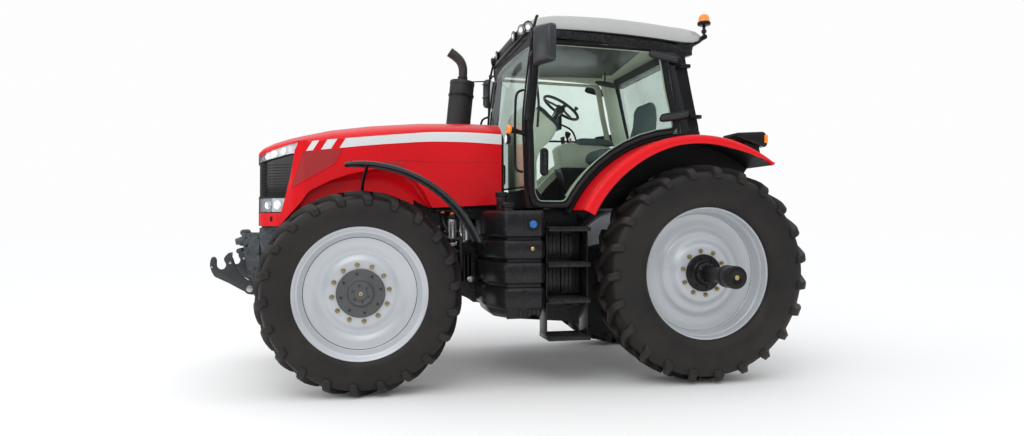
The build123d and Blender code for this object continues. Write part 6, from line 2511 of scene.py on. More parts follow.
@dataclass(frozen=True)
class Fittings:
    """Mirrors, beacon and side lamps."""

    mirror_middle: Triple = (1560, 1284, 3010)
    mirror_turn: float = 33
    mirror_outline: tuple[Pair, ...] = (
        (-112, -158), (-94, -176), (96, -160), (114, -142), (116, 146), (96, 168), (-80, 174), (-108, 156)
    )
    mirror_steps: tuple[Pair, ...] = ((-44, 3), (-34, 0), (4, 2), (30, 16), (44, 44))
    mirror_tube: tuple[Triple, ...] = (
        (1540, 1010, 3330), (1560, 1012, 3290), (1604, 1014, 3060), (1606, 1010, 2760), (1622, 985, 2520),
        (1628, 950, 2400)
    )
    lamp_arm: tuple[Triple, ...] = (
        (1630, 890, 2280), (1700, 915, 2292), (1760, 950, 2300), (1800, 985, 2296)
    )
    lamp_arm_sizes: tuple[float, ...] = (22, 22, 21, 20, 20, 20, 22, 24, 26, 27, 28, 28, 27, 26, 22, 18)
    dome_profile: tuple[Pair, ...] = ((3430, 56), (3440, 55), (3470, 52), (3490, 44), (3503, 28), (3510, 8))

    def build(self) -> None:
        """Builds them on both sides."""
        for name, sign in SIDES:
            self.mirror(name, sign)
            self.side_lamp(name, sign)
        self.beacon()

    def mirror(self, name: str, sign: int) -> None:
        """A mirror housing on its tube, with the glass facing back.

        Args:
            name: The side's name, left or right.
            sign: 1 on the left side, -1 on the right.
        """
        turn = math.radians(self.mirror_turn)
        shell = self.mirror_steps
        pane = ((-46, 14), (-40, 12))
        for rows, look, label in ((shell, Look.FENDER, "housing"), (pane, Look.MIRROR_METAL, "glass")):
            sketch = Sketch()
            rings = []
            for deep, draw in rows:
                ring = []
                for wide, high in self.mirror_outline:
                    w, h = wide * (1 - draw / 110), high * (1 - draw / 170)
                    ahead = self.mirror_middle[0] + deep * math.cos(turn) - w * math.sin(turn)
                    y = self.mirror_middle[1] + deep * math.sin(turn) + w * math.cos(turn)
                    ring.append((ahead, sign * y, self.mirror_middle[2] + h))
                rings.append(ring)
            sketch.loft(rings)
            piece = sketch.object(
                f"mirror_{label}_{name}", look, bevel=10 if look is Look.FENDER else 1, sharp=40
            )
            if look is Look.FENDER:
                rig.replaces(piece, f"mirror_{name}")
        sketch = Sketch()
        tube = self.mirror_tube
        sketch.tube([(a, sign * y, z) for a, y, z in smooth_path(tube, 6)], 13, 12)
        for z, a in ((3120, 1594), (2960, 1606)):
            sketch.tube([(a, sign * 1014, z), (a + 22, sign * 1110, z), (1640, sign * 1225, z)], 10, 10)
        for z, a in ((3170, 1586), (2420, 1627)):
            sketch.tube([(a, sign * 1010, z), (1560 if z > 3000 else 1616, sign * 900, z - 8)], 12, 10)
            sketch.tube([(a, sign * 1012, z - 22), (a, sign * 1012, z + 22)], 20, 12)
        sketch.object(f"mirror_tube_{name}", Look.BLACK)

    def side_lamp(self, name: str, sign: int) -> None:
        """Indicator and work lamp on the arm from the front post.

        Args:
            name: The side's name, left or right.
            sign: 1 on the left side, -1 on the right.
        """
        sketch = Sketch()
        sketch.tube([(a, sign * y, z) for a, y, z in smooth_path(self.lamp_arm, 5)], self.lamp_arm_sizes, 14)
        sketch.tube([(1806, sign * 960, 2276), (1812, sign * 960, 2240)], 12, 10)
        sketch.tube(
            [(1782, sign * 960, 2216), (1800, sign * 960, 2216), (1822, sign * 960, 2216)], [30, 46, 46], 24
        )
        arm = sketch.object(f"side_lamp_arm_{name}", Look.BLACK, bevel=2)
        if sign > 0:
            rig.replaces(arm, "side_lamps")
        sketch = Sketch()
        sketch.tube(
            [
                (1792, sign * 1000, 2300), (1806, sign * 1004, 2300), (1822, sign * 1006, 2300),
                (1828, sign * 1006, 2300)
            ],
            [34, 42, 36, 16], 24
        )
        sketch.object(f"indicator_{name}", Look.AMBER)
        sketch = Sketch()
        sketch.tube(
            [(1820, sign * 960, 2216), (1826, sign * 960, 2216), (1829, sign * 960, 2216)], [42, 38, 20], 24
        )
        sketch.object(f"work_lamp_{name}", Look.LAMP_BODY)

    def beacon(self) -> None:
        """The amber beacon on its folding arm."""
        ahead, y = -196, 800
        sketch = Sketch()
        sketch.tube(
            [(ahead, y, 3396), (ahead, y, 3402), (ahead, y, 3424), (ahead, y, 3434)], [50, 63, 64, 54], 36
        )
        sketch.tube(
            [(ahead, y, 3400), (ahead, y, 3330), (ahead, y, 3290), (ahead + 10, y, 3266)], [16, 14, 15, 18],
            14
        )
        sketch.tube([(ahead, y, 3352), (ahead, y, 3326)], 25, 18)
        sketch.tube([(ahead + 4, y - 34, 3280), (ahead + 4, y + 34, 3280)], 24, 18)
        sketch.tube(
            [
                (ahead + 8, y, 3276), (ahead + 60, y + 4, 3238), (ahead + 130, y + 4, 3196),
                (ahead + 180, y, 3180)
            ],
            [18, 22, 20, 22], 14
        )
        sketch.tube([(ahead + 130, y - 6, 3210), (ahead + 138, y + 4, 3150)], [20, 12], 12)
        base = sketch.object("beacon_base", Look.BLACK, bevel=1.5)
        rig.replaces(base, "beacon")
        sketch = Sketch()
        dome = self.dome_profile
        sketch.tube([(ahead, y, z) for z, _ in dome], [r for _, r in dome], 36)
        sketch.object("beacon_dome", Look.AMBER)


@dataclass(frozen=True)
class Cushion:
    """A padded seat part, blown up by cloth simulation, with sewn channels."""

    name: str
    node: str
    outline: tuple[Pair, ...]
    half: float
    channels: tuple[tuple[float, float], ...]
    facing: Pair
    voxel: float = 11
    swell: float = 14
    end_steps: tuple[Pair, ...] = (
        (-1.0, 0.82), (-0.94, 0.9), (-0.7, 0.95), (0.0, 0.94), (0.7, 0.95), (0.94, 0.9), (1.0, 0.82)
    )

    def sections(self) -> list[list[Triple]]:
        """Side outlines across the seat, drawn in towards each side.

        Returns:
            The rows of points.
        """
        middle = (
            sum(a for a, _ in self.outline) / len(self.outline),
            sum(z for _, z in self.outline) / len(self.outline)
        )
        rows = []
        for share, draw in self.end_steps:
            rows.append(
                [
                    (
                        middle[0] + (a - middle[0]) * draw, share * (self.half - 12),
                        middle[1] + (z - middle[1]) * draw
                    )
                    for a, z in self.outline
                ]
            )
        return rows

    def build(self) -> None:
        """Builds the cushion with its seams."""
        sketch = Sketch()
        sketch.loft(self.sections())
        obj = sketch.object(self.name, Look.CLOTH, bevel=16)
        remesh = obj.modifiers.new("even mesh", "REMESH")
        remesh.mode = "VOXEL"
        remesh.voxel_size = self.voxel * MM
        settle(obj, 180)
        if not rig.quick():
            self.blow_up(obj)
        smooth = obj.modifiers.new("finer", "SUBSURF")
        smooth.levels = 1
        settle(obj, 180)
        self.sew(obj)
        obj.data.materials.clear()
        obj.data.materials.append(Palette.get(Look.CLOTH))
        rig.replaces(obj, self.node)

    def blow_up(self, obj: bpy.types.Object) -> None:
        """Runs the cloth with pressure and caps how far a point may move.

        Args:
            obj: The object.
        """
        start = [vertex.co.copy() for vertex in obj.data.vertices]
        cloth = obj.modifiers.new("cloth", "CLOTH")
        cloth.settings.use_pressure = True
        cloth.settings.uniform_pressure_force = 4.0
        cloth.settings.effector_weights.gravity = 0.0
        cloth.point_cache.frame_start, cloth.point_cache.frame_end = 1, 20
        for step in range(1, 21):
            bpy.context.scene.frame_set(step)
        settle(obj, 180)
        bpy.context.scene.frame_set(1)
        limit = self.swell * MM
        for vertex, old in zip(obj.data.vertices, start):
            move = vertex.co - old
            if move.length > limit:
                vertex.co = old + move.normalized() * limit

    def sew(self, obj: bpy.types.Object) -> None:
        """Presses the sewn channels into the face that carries the driver.

        Args:
            obj: The object.
        """
        face = Vector((self.facing[0], 0, self.facing[1])).normalized()
        along_face = Vector((face.z, 0, -face.x))
        for vertex in obj.data.vertices:
            if vertex.normal.dot(face) < 0.3:
                continue
            y = abs(vertex.co.y) / MM
            run = vertex.co.dot(along_face) / MM
            deep = 0.0
            for kind, spot in self.channels:
                far = (y - spot) if kind == 0 else (run - spot)
                if kind == 0 or y < self.half * 0.62:
                    deep = max(deep, math.exp(-((far / 9.0) ** 2)))
            vertex.co -= face * deep * 9 * MM


@dataclass(frozen=True)
class Interior:
    """Seat, dashboard, console and small controls."""

    seat: tuple[Cushion, ...] = (
        Cushion(
            "seat_pad", "seat_cushion",
            (
                (205, 2105), (715, 2105), (722, 2150), (712, 2196), (680, 2222), (560, 2226), (300, 2206),
                (215, 2216), (200, 2160)
            ),
            248, ((0, 150), (1, -650), (1, -770), (1, -890)), (0.0, 1.0),
        ),
        Cushion(
            "seat_back", "seat_backrest",
            (
                (190, 2190), (92, 2226), (36, 2380), (24, 2560), (36, 2700), (60, 2762), (104, 2770),
                (128, 2700), (148, 2520), (180, 2380), (196, 2260)
            ),
            236, ((0, 140), (1, -2400), (1, -2540)), (1.0, 0.12),
        ),
    )
    right_lever: tuple[Triple, ...] = ((60, -200, 2130), (150, -214, 2120), (230, -206, 2110))
    left_lever: tuple[Triple, ...] = ((60, 200, 2130), (150, 214, 2120), (230, 206, 2110))
    pod_outline: tuple[Pair, ...] = (
        (1566, 1660), (1568, 2200), (1566, 2520), (1500, 2632), (1400, 2650), (1310, 2630), (1214, 2552),
        (1120, 2462), (1128, 2390), (1180, 2310), (1280, 2210), (1330, 2080), (1352, 1860), (1362, 1660)
    )
    face_outline: tuple[Pair, ...] = (
        (1316, 2654), (1290, 2664), (1236, 2626), (1130, 2520), (1104, 2468), (1128, 2460), (1230, 2560)
    )
    console_outline: tuple[Pair, ...] = (
        (154, 2070), (156, 2100), (200, 2240), (340, 2322), (600, 2350), (840, 2352), (926, 2300),
        (930, 2250), (898, 2070)
    )
    pedestal_outline: tuple[Pair, ...] = (
        (150, 1660), (154, 2080), (400, 2084), (700, 2084), (892, 2080), (880, 2000), (800, 1660)
    )
    pad_outline: tuple[Pair, ...] = (
        (280, 2330), (300, 2380), (420, 2404), (620, 2410), (700, 2400), (716, 2368), (700, 2336)
    )
    lever_path: tuple[Triple, ...] = (
        (800, -470, 2350), (812, -470, 2410), (806, -470, 2462), (800, -470, 2480)
    )
    screen_arm: tuple[Triple, ...] = ((640, -640, 2350), (700, -660, 2520), (860, -660, 2600))
    knob_stem: tuple[Triple, ...] = ((742, -560, 2350), (748, -560, 2396), (750, -560, 2420))
    far_rail: tuple[Triple, ...] = (
        (1150, -800, 2404), (900, -812, 2412), (560, -812, 2410), (300, -806, 2390)
    )
    front_rail: tuple[Triple, ...] = ((1500, 760, 2900), (1470, 770, 2600), (1480, 770, 2360))
    mirror_outline: tuple[Pair, ...] = (
        (546, 3016), (520, 3034), (380, 3026), (312, 2998), (318, 2966), (341, 2963), (500, 2984)
    )
    mat_plan: tuple[Pair, ...] = (
        (1460, -700), (1460, 700), (1160, 740), (900, 500), (760, 380), (760, -380), (900, -500),
        (1160, -740)
    )
    shelf_plan: tuple[Pair, ...] = ((-20, 560), (20, 762), (700, 762), (820, 640), (700, 560))

    def build(self) -> None:
        """Builds everything inside the cab."""
        for cushion in self.seat:
            cushion.build()
        self.seat_foot()
        self.dash()
        self.wheel_parts()
        self.console()
        self.far_side()

    @staticmethod
    def soft_prism(
        sketch: Sketch, outline: Sequence[Pair], middle: float, half: float, round_: float
    ) -> None:
        """A side outline carried across, with rounded sides.

        Args:
            sketch: The sketch that the form is added to.
            outline: Pairs of ahead and height.
            middle: Middle of its width.
            half: Half of its width.
            round_: Radius of the rounding, in millimetres.
        """
        centre = (sum(a for a, _ in outline) / len(outline), sum(z for _, z in outline) / len(outline))
        reach = max(math.hypot(a - centre[0], z - centre[1]) for a, z in outline)
        rings = []
        for k in range(-4, 5):
            turn = math.pi / 2 * k / 4
            draw = round_ * (1 - math.cos(turn)) / reach
            spread = half - round_ + round_ * abs(math.sin(turn))
            y = middle + math.copysign(spread, k) if k else middle
            rings.append(
                [
                    (centre[0] + (a - centre[0]) * (1 - draw), y, centre[1] + (z - centre[1]) * (1 - draw))
                    for a, z in outline
                ]
            )
        sketch.loft(rings)

    def seat_foot(self) -> None:
        """The seat's suspension with its bellows and slides."""
        sketch = Sketch()
        rings = []
        for k in range(15):
            z = 1700 + k * 27
            draw = 12 if k % 2 else 0
            rings.append(
                [
                    (a, y, z)
                    for a, y in (
                        (262 + draw, -180 + draw), (262 + draw, 180 - draw), (608 - draw, 180 - draw),
                        (608 - draw, -180 + draw)
                    )
                ]
            )
        sketch.loft(rings)
        bellows = sketch.object("seat_bellows", Look.DARK_TRIM, bevel=5)
        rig.replaces(bellows, "seat_base")
        sketch = Sketch()
        sketch.box((245, 625), (-190, 190), (1640, 1702))
        sketch.box((230, 640), (-200, 200), (2078, 2100))
        sketch.box((620, 700), (-60, -30), (2070, 2096))
        sketch.tube(self.right_lever, 16, 10)
        sketch.tube(self.left_lever, 16, 10)
        sketch.object("seat_slides", Look.BLACK, bevel=4)

    def dash(self) -> None:
        """The pale dashboard column with its dark instrument face."""
        sketch = Sketch()
        rows = smooth_path(self.pod_outline, 4)
        self.soft_prism(sketch, rows, 0, 172, 60)
        pod = sketch.object("dash_pod", Look.TRIM, sharp=50)
        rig.replaces(pod, "dashboard")
        sketch = Sketch()
        face = self.face_outline
        self.soft_prism(sketch, face, 0, 150, 20)
        sketch.object("dash_hood", Look.DARK_TRIM, bevel=4, sharp=45)
        dials, rings = Sketch(), Sketch()
        out = Vector((-0.7, 0, 0.714))
        for y, size in ((-72, 46), (72, 46), (0, 24)):
            spot = Vector((1206, y, 2590))
            dials.tube([spot - out * 6, spot + out * 6], size - 3, 28)
            rings.tube(
                [spot - out * 4, spot + out * 8, spot + out * 8, spot + out * 5],
                [size, size, size - 4, size - 4], 28
            )
        dials.object("dash_dials", Look.GRILLE)
        rings.object("dash_rings", Look.STEEL)
        sketch = Sketch()
        for y in (-185, 185):
            sketch.tube([(1180, y * 0.6, 2520), (1170, y, 2560), (1160, y * 1.3, 2590)], [7, 6, 9], 10)
        for y in (-90, 0, 90):
            sketch.loft(
                [
                    [
                        (1350 + a, y + s, 1700 + z) for s in (-28, 28)
                    ] + [(1340 + a, y - s, 1700 + z) for s in (-28, 28)]
                    for a, z in ((0, 140), (-60, 60), (-90, 20))
                ]
            )
        sketch.object("column_stalks_and_pedals", Look.DARK_TRIM, bevel=3)

    def wheel_parts(self) -> None:
        """Hub pad and turning knob on the steering wheel, in its own body."""
        centre = Vector((1025, 0, 2671))
        out = (centre - Vector((1150, 0, 2480))).normalized()
        sketch = Sketch()
        sketch.tube(
            [centre - out * 24, centre - out * 2, centre + out * 10, centre + out * 15], [40, 52, 46, 22],
            28
        )
        side = Vector((out.z, 0, -out.x))
        knob = centre + side * -110 + Vector((0, 170, 0))
        sketch.tube([knob - out * 2, knob + out * 22, knob + out * 44, knob + out * 54], [14, 13, 24, 12], 18)
        sketch.object("steering_wheel_pad", Look.DARK_TRIM, "steering_wheel", bevel=2)

    def console(self) -> None:
        """Right-hand console with armrest, levers and screen."""
        sketch = Sketch()
        outline = smooth_path(self.console_outline, 4)
        self.soft_prism(sketch, outline, -560, 138, 40)
        body = sketch.object("console_body", Look.TRIM, sharp=50)
        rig.replaces(body, "armrest_console")
        sketch = Sketch()
        outline = smooth_path(self.pedestal_outline, 4)
        self.soft_prism(sketch, outline, -560, 134, 20)
        sketch.object("console_pedestal", Look.PLASTIC, sharp=50)
        sketch = Sketch()
        pad = smooth_path(self.pad_outline, 4)
        self.soft_prism(sketch, pad, -460, 62, 26)
        sketch.object("armrest_pad", Look.CLOTH, sharp=60)
        sketch = Sketch()
        sketch.tube(smooth_path(self.lever_path, 5), [12] * 6 + [20, 26, 30, 32, 34, 34, 32, 28, 22, 12], 16)
        for k, y in enumerate((-560, -610, -655)):
            sketch.tube([(820, y, 2350), (826, y, 2400), (828, y, 2440)], [7, 7, 13], 12)
        sketch.tube(smooth_path(self.screen_arm, 5), 11, 10)
        sketch.box((856, 880), (-770, -560), (2520, 2680))
        sketch.object("console_levers", Look.BLACK, bevel=3)
        sketch = Sketch()
        sketch.tube(self.knob_stem, [9, 9, 16], 14)
        for k in range(6):
            sketch.box((560 + k * 32, 582 + k * 32), (-640, -618), (2350, 2360))
        sketch.object("console_buttons", Look.ORANGE, bevel=2)
        sketch = Sketch()
        sketch.box((848, 857), (-762, -568), (2530, 2672))
        sketch.object("console_screen", Look.GRILLE, bevel=2)

    def far_side(self) -> None:
        """Grab bars, pedals' floor mat, the inner mirror and lining by the rear window."""
        sketch = Sketch()
        sketch.tube(smooth_path(self.far_rail, 6), 12, 10)
        for a in (1140, 320):
            sketch.tube([(a, -800, 2404), (a, -850, 2396)], 12, 10)
        sketch.tube(smooth_path(self.front_rail, 6), 12, 10)
        sketch.object("inner_grab_bars", Look.DARK_TRIM)
        sketch = Sketch()
        self.soft_prism(sketch, smooth_path(self.mirror_outline, 3), -300, 12, 5)
        sketch.tube([(430, -300, 3020), (430, -300, 3140)], 9, 10)
        sketch.object("inner_mirror", Look.DARK_TRIM, sharp=50)
        sketch = Sketch()
        sketch.plan(self.mat_plan, 1641, 1652)
        sketch.object("floor_mat", Look.DARK_TRIM, bevel=3)
        sketch = Sketch()
        for sign in (1, -1):
            sketch.loft([[(a, sign * y, z) for a, y in self.shelf_plan] for z in (1641, 2080, 2110)])
        sketch.object("side_shelves", Look.TRIM, bevel=12)


@dataclass(frozen=True)
class EngineBay:
    """Filters, pipes and covers between the bonnet and the chassis."""

    pipe_runs: tuple[tuple[tuple[Triple, ...], float], ...] = (
        (
            ((2470, 330, 1540), (2420, 440, 1450), (2300, 458, 1330), (2120, 452, 1300), (1980, 330, 1230)),
            17
        ),
        (
            ((2480, 330, 1480), (2400, 430, 1400), (2262, 452, 1240), (2150, 448, 1180), (2040, 330, 1150)),
            13
        ),
        (
            ((2330, 340, 1560), (2310, 456, 1440), (2232, 462, 1260), (2180, 440, 1080), (2140, 300, 960)),
            12
        ),
        (((2180, 320, 1420), (2160, 462, 1300), (2150, 462, 1120), (2110, 300, 960)), 15)
    )
    joint_spots: tuple[tuple[Triple, float], ...] = (
        ((2396, 448, 1420), 26), ((2120, 452, 1300), 26), ((2064, 470, 929), 30), ((1947, 600, 1434), 22),
        ((2232, 462, 1260), 20)
    )
    sump_rib: tuple[Pair, ...] = ((-9, 1150), (9, 1150), (9, 900), (-9, 880))
    pulley_cover: tuple[Pair, ...] = (
        (0, 200), (96, 200), (96, 394), (88, 402), (40, 406), (34, 416), (0, 416)
    )
    pump_cover: tuple[Pair, ...] = ((0, 200), (60, 200), (60, 390), (52, 398), (20, 400), (0, 400))
    bulkhead_rows: tuple[Pair, ...] = (
        (-470, 1650), (-484, 1700), (-484, 2270), (-440, 2320), (-330, 2352), (0, 2366), (330, 2352),
        (440, 2320), (484, 2270), (484, 1700), (470, 1650)
    )
    foot_plan: tuple[Pair, ...] = (
        (3640, 230), (3900, 200), (4010, 120), (4010, -120), (3900, -200), (3640, -230)
    )

    def build(self) -> None:
        """Builds the bay on both sides, the bulkhead and the foot of the nose."""
        for name, sign in SIDES:
            self.filters(name, sign)
            self.pipes(name, sign)
            self.covers(name, sign)
        self.bulkhead()

    def filters(self, name: str, sign: int) -> None:
        """Two canister filters with caps, and a bolted bracket over them.

        Args:
            name: The side's name, left or right.
            sign: 1 on the left side, -1 on the right.
        """
        cans, caps = Sketch(), Sketch()
        for ahead, y, top in ((2240, 452, 1500), (2105, 446, 1480)):
            profile = ((top - 190, 30), (top - 180, 42), (top - 20, 44), (top - 12, 38), (top, 38))
            cans.tube([(ahead, sign * y, z) for z, _ in profile], [r for _, r in profile], 24)
            rings = ((top, 47), (top + 26, 47), (top + 30, 40), (top + 44, 36))
            caps.tube([(ahead, sign * y, z) for z, _ in rings], [r for _, r in rings], 18)
        cans.object(f"filter_cans_{name}", Look.STEEL, bevel=1)
        caps.object(f"filter_heads_{name}", Look.ENGINE, bevel=2)
        sketch = Sketch()
        for ahead, z in ((2240, 1544), (2105, 1524), (2330, 1556)):
            sketch.tube(
                [(ahead, sign * 448, z), (ahead, sign * 448, z + 10), (ahead, sign * 448, z + 24)],
                [20, 20, 14], 16
            )
        sketch.object(f"filter_caps_{name}", Look.ORANGE, bevel=1)
        sketch = Sketch()
        sketch.box((2040, 2400), (sign * 330, sign * 470), (1574, 1586))
        for ahead in (2070, 2370):
            sketch.box((ahead - 6, ahead + 6), (sign * 340, sign * 462), (1586, 1640))
            sketch.tube([(ahead, sign * 420, 1586), (ahead, sign * 420, 1600)], 12, 6)
        sketch.object(f"filter_shelf_{name}", Look.ENGINE, bevel=2)

    def pipes(self, name: str, sign: int) -> None:
        """Bent metal pipes along the engine's side, with their joints.

        Args:
            name: The side's name, left or right.
            sign: 1 on the left side, -1 on the right.
        """
        sketch = Sketch()
        runs = self.pipe_runs
        for rows, size in runs:
            sketch.tube([(a, sign * y, z) for a, y, z in smooth_path(rows, 7)], size, 12)
        sketch.object(f"engine_pipes_{name}", Look.PIPE)
        sketch = Sketch()
        for (a, y, z), size in self.joint_spots:
            sketch.tube(
                [
                    (a - 22, sign * y, z), (a - 16, sign * y, z), (a + 16, sign * y, z),
                    (a + 22, sign * y, z)
                ],
                [size * 0.8, size, size, size * 0.8], 6
            )
            sketch.tube([(a - 34, sign * y, z), (a + 34, sign * y, z)], size * 0.6, 14)
        sketch.object(f"pipe_joints_{name}", Look.STEEL, bevel=1)

    def covers(self, name: str, sign: int) -> None:
        """Ribbed sump, pulley cover and bolted side plates.

        Args:
            name: The side's name, left or right.
            sign: 1 on the left side, -1 on the right.
        """
        sketch = Sketch()
        for k in range(5):
            a = 2040 + 38 * k
            sketch.loft([[(a + da, sign * y, z) for da, z in self.sump_rib] for y in (200, 420)])
        sketch.object(f"sump_ribs_{name}", Look.ENGINE, bevel=3)
        sketch = Sketch()
        sketch.lathe(self.pulley_cover, 2246, 1330, sign, 40)
        sketch.lathe(self.pump_cover, 2200, 1176, sign, 32)
        sketch.object(f"engine_covers_{name}", Look.ENGINE, bevel=1.5)
        sketch = Sketch()
        for k in range(8):
            turn = 2 * math.pi * k / 8
            a, z = 2246 + 76 * math.cos(turn), 1330 + 76 * math.sin(turn)
            sketch.tube([(a, sign * 396, z), (a, sign * 411, z)], 9, 6)
        sketch.object(f"engine_cover_bolts_{name}", Look.STEEL)

    def bulkhead(self) -> None:
        """Black plate behind the bonnet and the dark piece under the nose."""
        sketch = Sketch()
        rows = self.bulkhead_rows
        sketch.loft([[(a, y, z) for y, z in rows] for a in (1742, 1758)])
        sketch.object("bulkhead", Look.SEAL, bevel=3)
        sketch = Sketch()
        sketch.loft(
            [[(a, y * k, z) for a, y in self.foot_plan] for z, k in ((1340, 0.8), (1404, 1.0), (1452, 1.0))]
        )
        sketch.object("nose_foot", Look.BRACKET, bevel=6)
        sketch = Sketch()
        for _, sign in SIDES:
            sketch.box((1762, 2150), (sign * 302, sign * 436), (1500, 1680))
            sketch.box((1120, 1496), (sign * 560, sign * 838), (1436, 1592))
            sketch.box((1150, 1496), (sign * 700, sign * 842), (1470, 1480))
        sketch.object("floor_sills", Look.SEAL, bevel=5)


@dataclass(frozen=True)
class FrontHitch:
    """Claws, latches and pins on the front lift arms."""

    pivot: Pair
    seat: Pair
    arm: Pair = (400, 440)
    carrier_bolts: tuple[Pair, ...] = ((4036, 1330), (4036, 1180), (4070, 1040), (4150, 1330), (4120, 1200))

    def claw(self) -> list[Pair]:
        """The arm's side outline with its round claw and latch horn.

        Returns:
            The points, in order.
        """
        a, z = self.pivot
        sa, sz = self.seat
        jaw = [
            (sa + 40 * math.cos(math.radians(t)), sz + 40 * math.sin(math.radians(t)))
            for t in range(0, -181, -15)
        ]
        horn = smooth_path(
            (
                (sa + 40, z + 262), (sa + 54, z + 288), (sa + 78, z + 286), (sa + 93, z + 245),
                (sa + 92, z + 195), (sa + 74, z + 145), (a + 300, z + 112)
            ),
            4
        )
        back = smooth_path(
            (
                (sa - 40, z + 262), (sa - 58, z + 296), (sa - 92, z + 286), (sa - 112, z + 232),
                (a + 100, z + 150), (a + 40, z + 90), (a - 30, z + 46), (a - 48, z), (a - 24, z - 56),
                (a + 60, z - 18), (a + 180, z + 52)
            ),
            4
        )
        return [*reversed(horn), *jaw, *back]

    def build(self) -> None:
        """Builds both arms as one piece, with their bosses, pins and latches."""
        arms, pins = Sketch(), Sketch()
        a, z = self.pivot
        low, high = self.arm
        for _, sign in SIDES:
            outline = self.claw()
            arms.loft([[(p, sign * y, q) for p, q in outline] for y in (low, high)])
            arms.tube([(a, sign * (low - 18), z), (a, sign * (high + 12), z)], 50, 32)
            latch = smooth_path(
                (
                    (self.seat[0] - 96, z + 330), (self.seat[0] - 60, z + 322),
                    (self.seat[0] - 20, z + 268), (self.seat[0] - 62, z + 200), (self.seat[0] - 88, z + 240)
                ),
                4
            )
            arms.loft([[(p, sign * y, q) for p, q in latch] for y in (low + 12, high - 12)])
            pins.tube([(a, sign * (high + 10), z), (a, sign * (high + 24), z)], 30, 24)
            pins.tube(
                [
                    (self.seat[0] - 78, sign * (low - 10), z + 236),
                    (self.seat[0] - 78, sign * (high + 12), z + 236)
                ],
                12, 16
            )
            pins.tube(
                [
                    (self.seat[0] + 78, sign * (low - 10), z + 200),
                    (self.seat[0] + 78, sign * (high + 10), z + 200)
                ],
                10, 16
            )
        arms.tube([(a, -low, z), (a, low, z)], 34, 24)
        piece = arms.object("front_claws", Look.LINKAGE, "front_lift_arms", bevel=4, sharp=40)
        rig.replaces(piece, "front_lift_arms")
        pins.object("front_claw_pins", Look.STEEL, "front_lift_arms", bevel=1)
        sketch = Sketch()
        for _, sign in SIDES:
            for p, q in self.carrier_bolts:
                sketch.tube([(p, sign * 188, q), (p, sign * 194, q), (p, sign * 202, q)], [17, 17, 15], 6)
        sketch.box((4050, 4150), (-110, 110), (1160, 1300))
        for y in (-60, 0, 60):
            sketch.tube([(4140, y, 1230), (4158, y, 1230), (4166, y, 1230)], [24, 24, 18], 18)
        for y in (-120, 0, 120):
            sketch.tube(
                [(4120, y, 1290), (4196, y, 1290), (4214, y, 1290), (4240, y, 1286)], [44, 44, 34, 30], 20
            )
        sketch.tube([(4206, -160, 1200), (4206, 160, 1200)], 26, 16)
        sketch.tube([(4168, -150, 1372), (4168, 150, 1372)], 30, 20)
        sketch.object("front_carrier_fittings", Look.BRACKET, bevel=3)


@dataclass(frozen=True)
class RearEnd:
    """Coupler block, guards and plates at the tractor's back."""

    guard_outline: tuple[Triple, ...] = (
        (-332, 130, 800), (-470, 120, 838), (-470, 0, 872), (-470, -120, 838), (-332, -130, 800)
    )

    def build(self) -> None:
        """Builds them."""
        sketch = Sketch()
        sketch.box((-368, -330), (-190, 190), (1160, 1330))
        for row in range(2):
            for k in range(4):
                y = -140 + 93 * k
                z = 1205 + 80 * row
                sketch.tube([(-360, y, z), (-384, y, z), (-392, y, z)], [31, 31, 26], 20)
        sketch.object("coupler_block", Look.CASTING, bevel=2)
        for k, look in enumerate((Look.BLUE, Look.ORANGE)):
            sketch = Sketch()
            for row in range(2):
                for j in (k, k + 2):
                    sketch.tube(
                        [
                            (-388, -140 + 93 * j, 1205 + 80 * row), (-398, -140 + 93 * j, 1205 + 80 * row),
                            (-404, -140 + 93 * j, 1205 + 80 * row)
                        ],
                        [24, 24, 18], 20
                    )
            sketch.object(f"coupler_caps_{k}", look, bevel=1)
        sketch = Sketch()
        guard = self.guard_outline
        sketch.loft([[(a, y, z) for a, y, z in guard], [(a, y * 1.06, z + 9) for a, y, z in guard]])
        sketch.object("shaft_guard", Look.BLACK, bevel=2)
        sketch = Sketch()
        for sign in (1, -1):
            for k in range(5):
                sketch.tube(
                    [
                        (-336, sign * 250, 700 + 90 * k), (-348, sign * 250, 700 + 90 * k),
                        (-352, sign * 250, 700 + 90 * k)
                    ],
                    [15, 15, 10], 6
                )
        sketch.box((-344, -330), (-60, 60), (900, 960))
        sketch.object("rear_bolts", Look.STEEL)
        sketch = Sketch()
        sketch.box((-112, -100), (-210, 210), (2180, 2290))
        sketch.object("rear_plate_holder", Look.BLACK, bevel=3)


CARRIED = (
    ("engine_block", Look.ENGINE),
    ("backbone", Look.CASTING),
    ("front_frame", Look.BRACKET),
    ("front_axle_beam", Look.CASTING),
    ("knuckle_left", Look.CASTING),
    ("knuckle_right", Look.CASTING),
    ("tie_rod", Look.LINKAGE),
    ("cab_frame", Look.BLACK),
    ("windscreen", Look.GLASS),
    ("rear_window", Look.GLASS),
    ("cab_headliner", Look.TRIM),
    ("steering_wheel", Look.DARK_TRIM),
    ("rear_lift_arms", Look.LINKAGE),
    ("rear_lift_rods", Look.LINKAGE),
    ("rear_lower_links", Look.LINKAGE),
    ("top_link", Look.LINKAGE),
    ("drawbar", Look.LINKAGE),
    ("pto_shaft", Look.STEEL),
    ("front_linkage_frame", Look.BRACKET),
)


@dataclass(frozen=True)
class Carried:
    """CAD pieces whose shape is shown as it is, in a finish."""

    looks: tuple[tuple[str, Look], ...]

    def paint(self, frame: dict) -> None:
        """Gives each CAD node its material.

        Args:
            frame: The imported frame.
        """
        for node, look in self.looks:
            obj = frame["nodes"][node]
            obj.data.materials.clear()
            obj.data.materials.append(Palette.get(look))
            for polygon in obj.data.polygons:
                polygon.material_index = 0


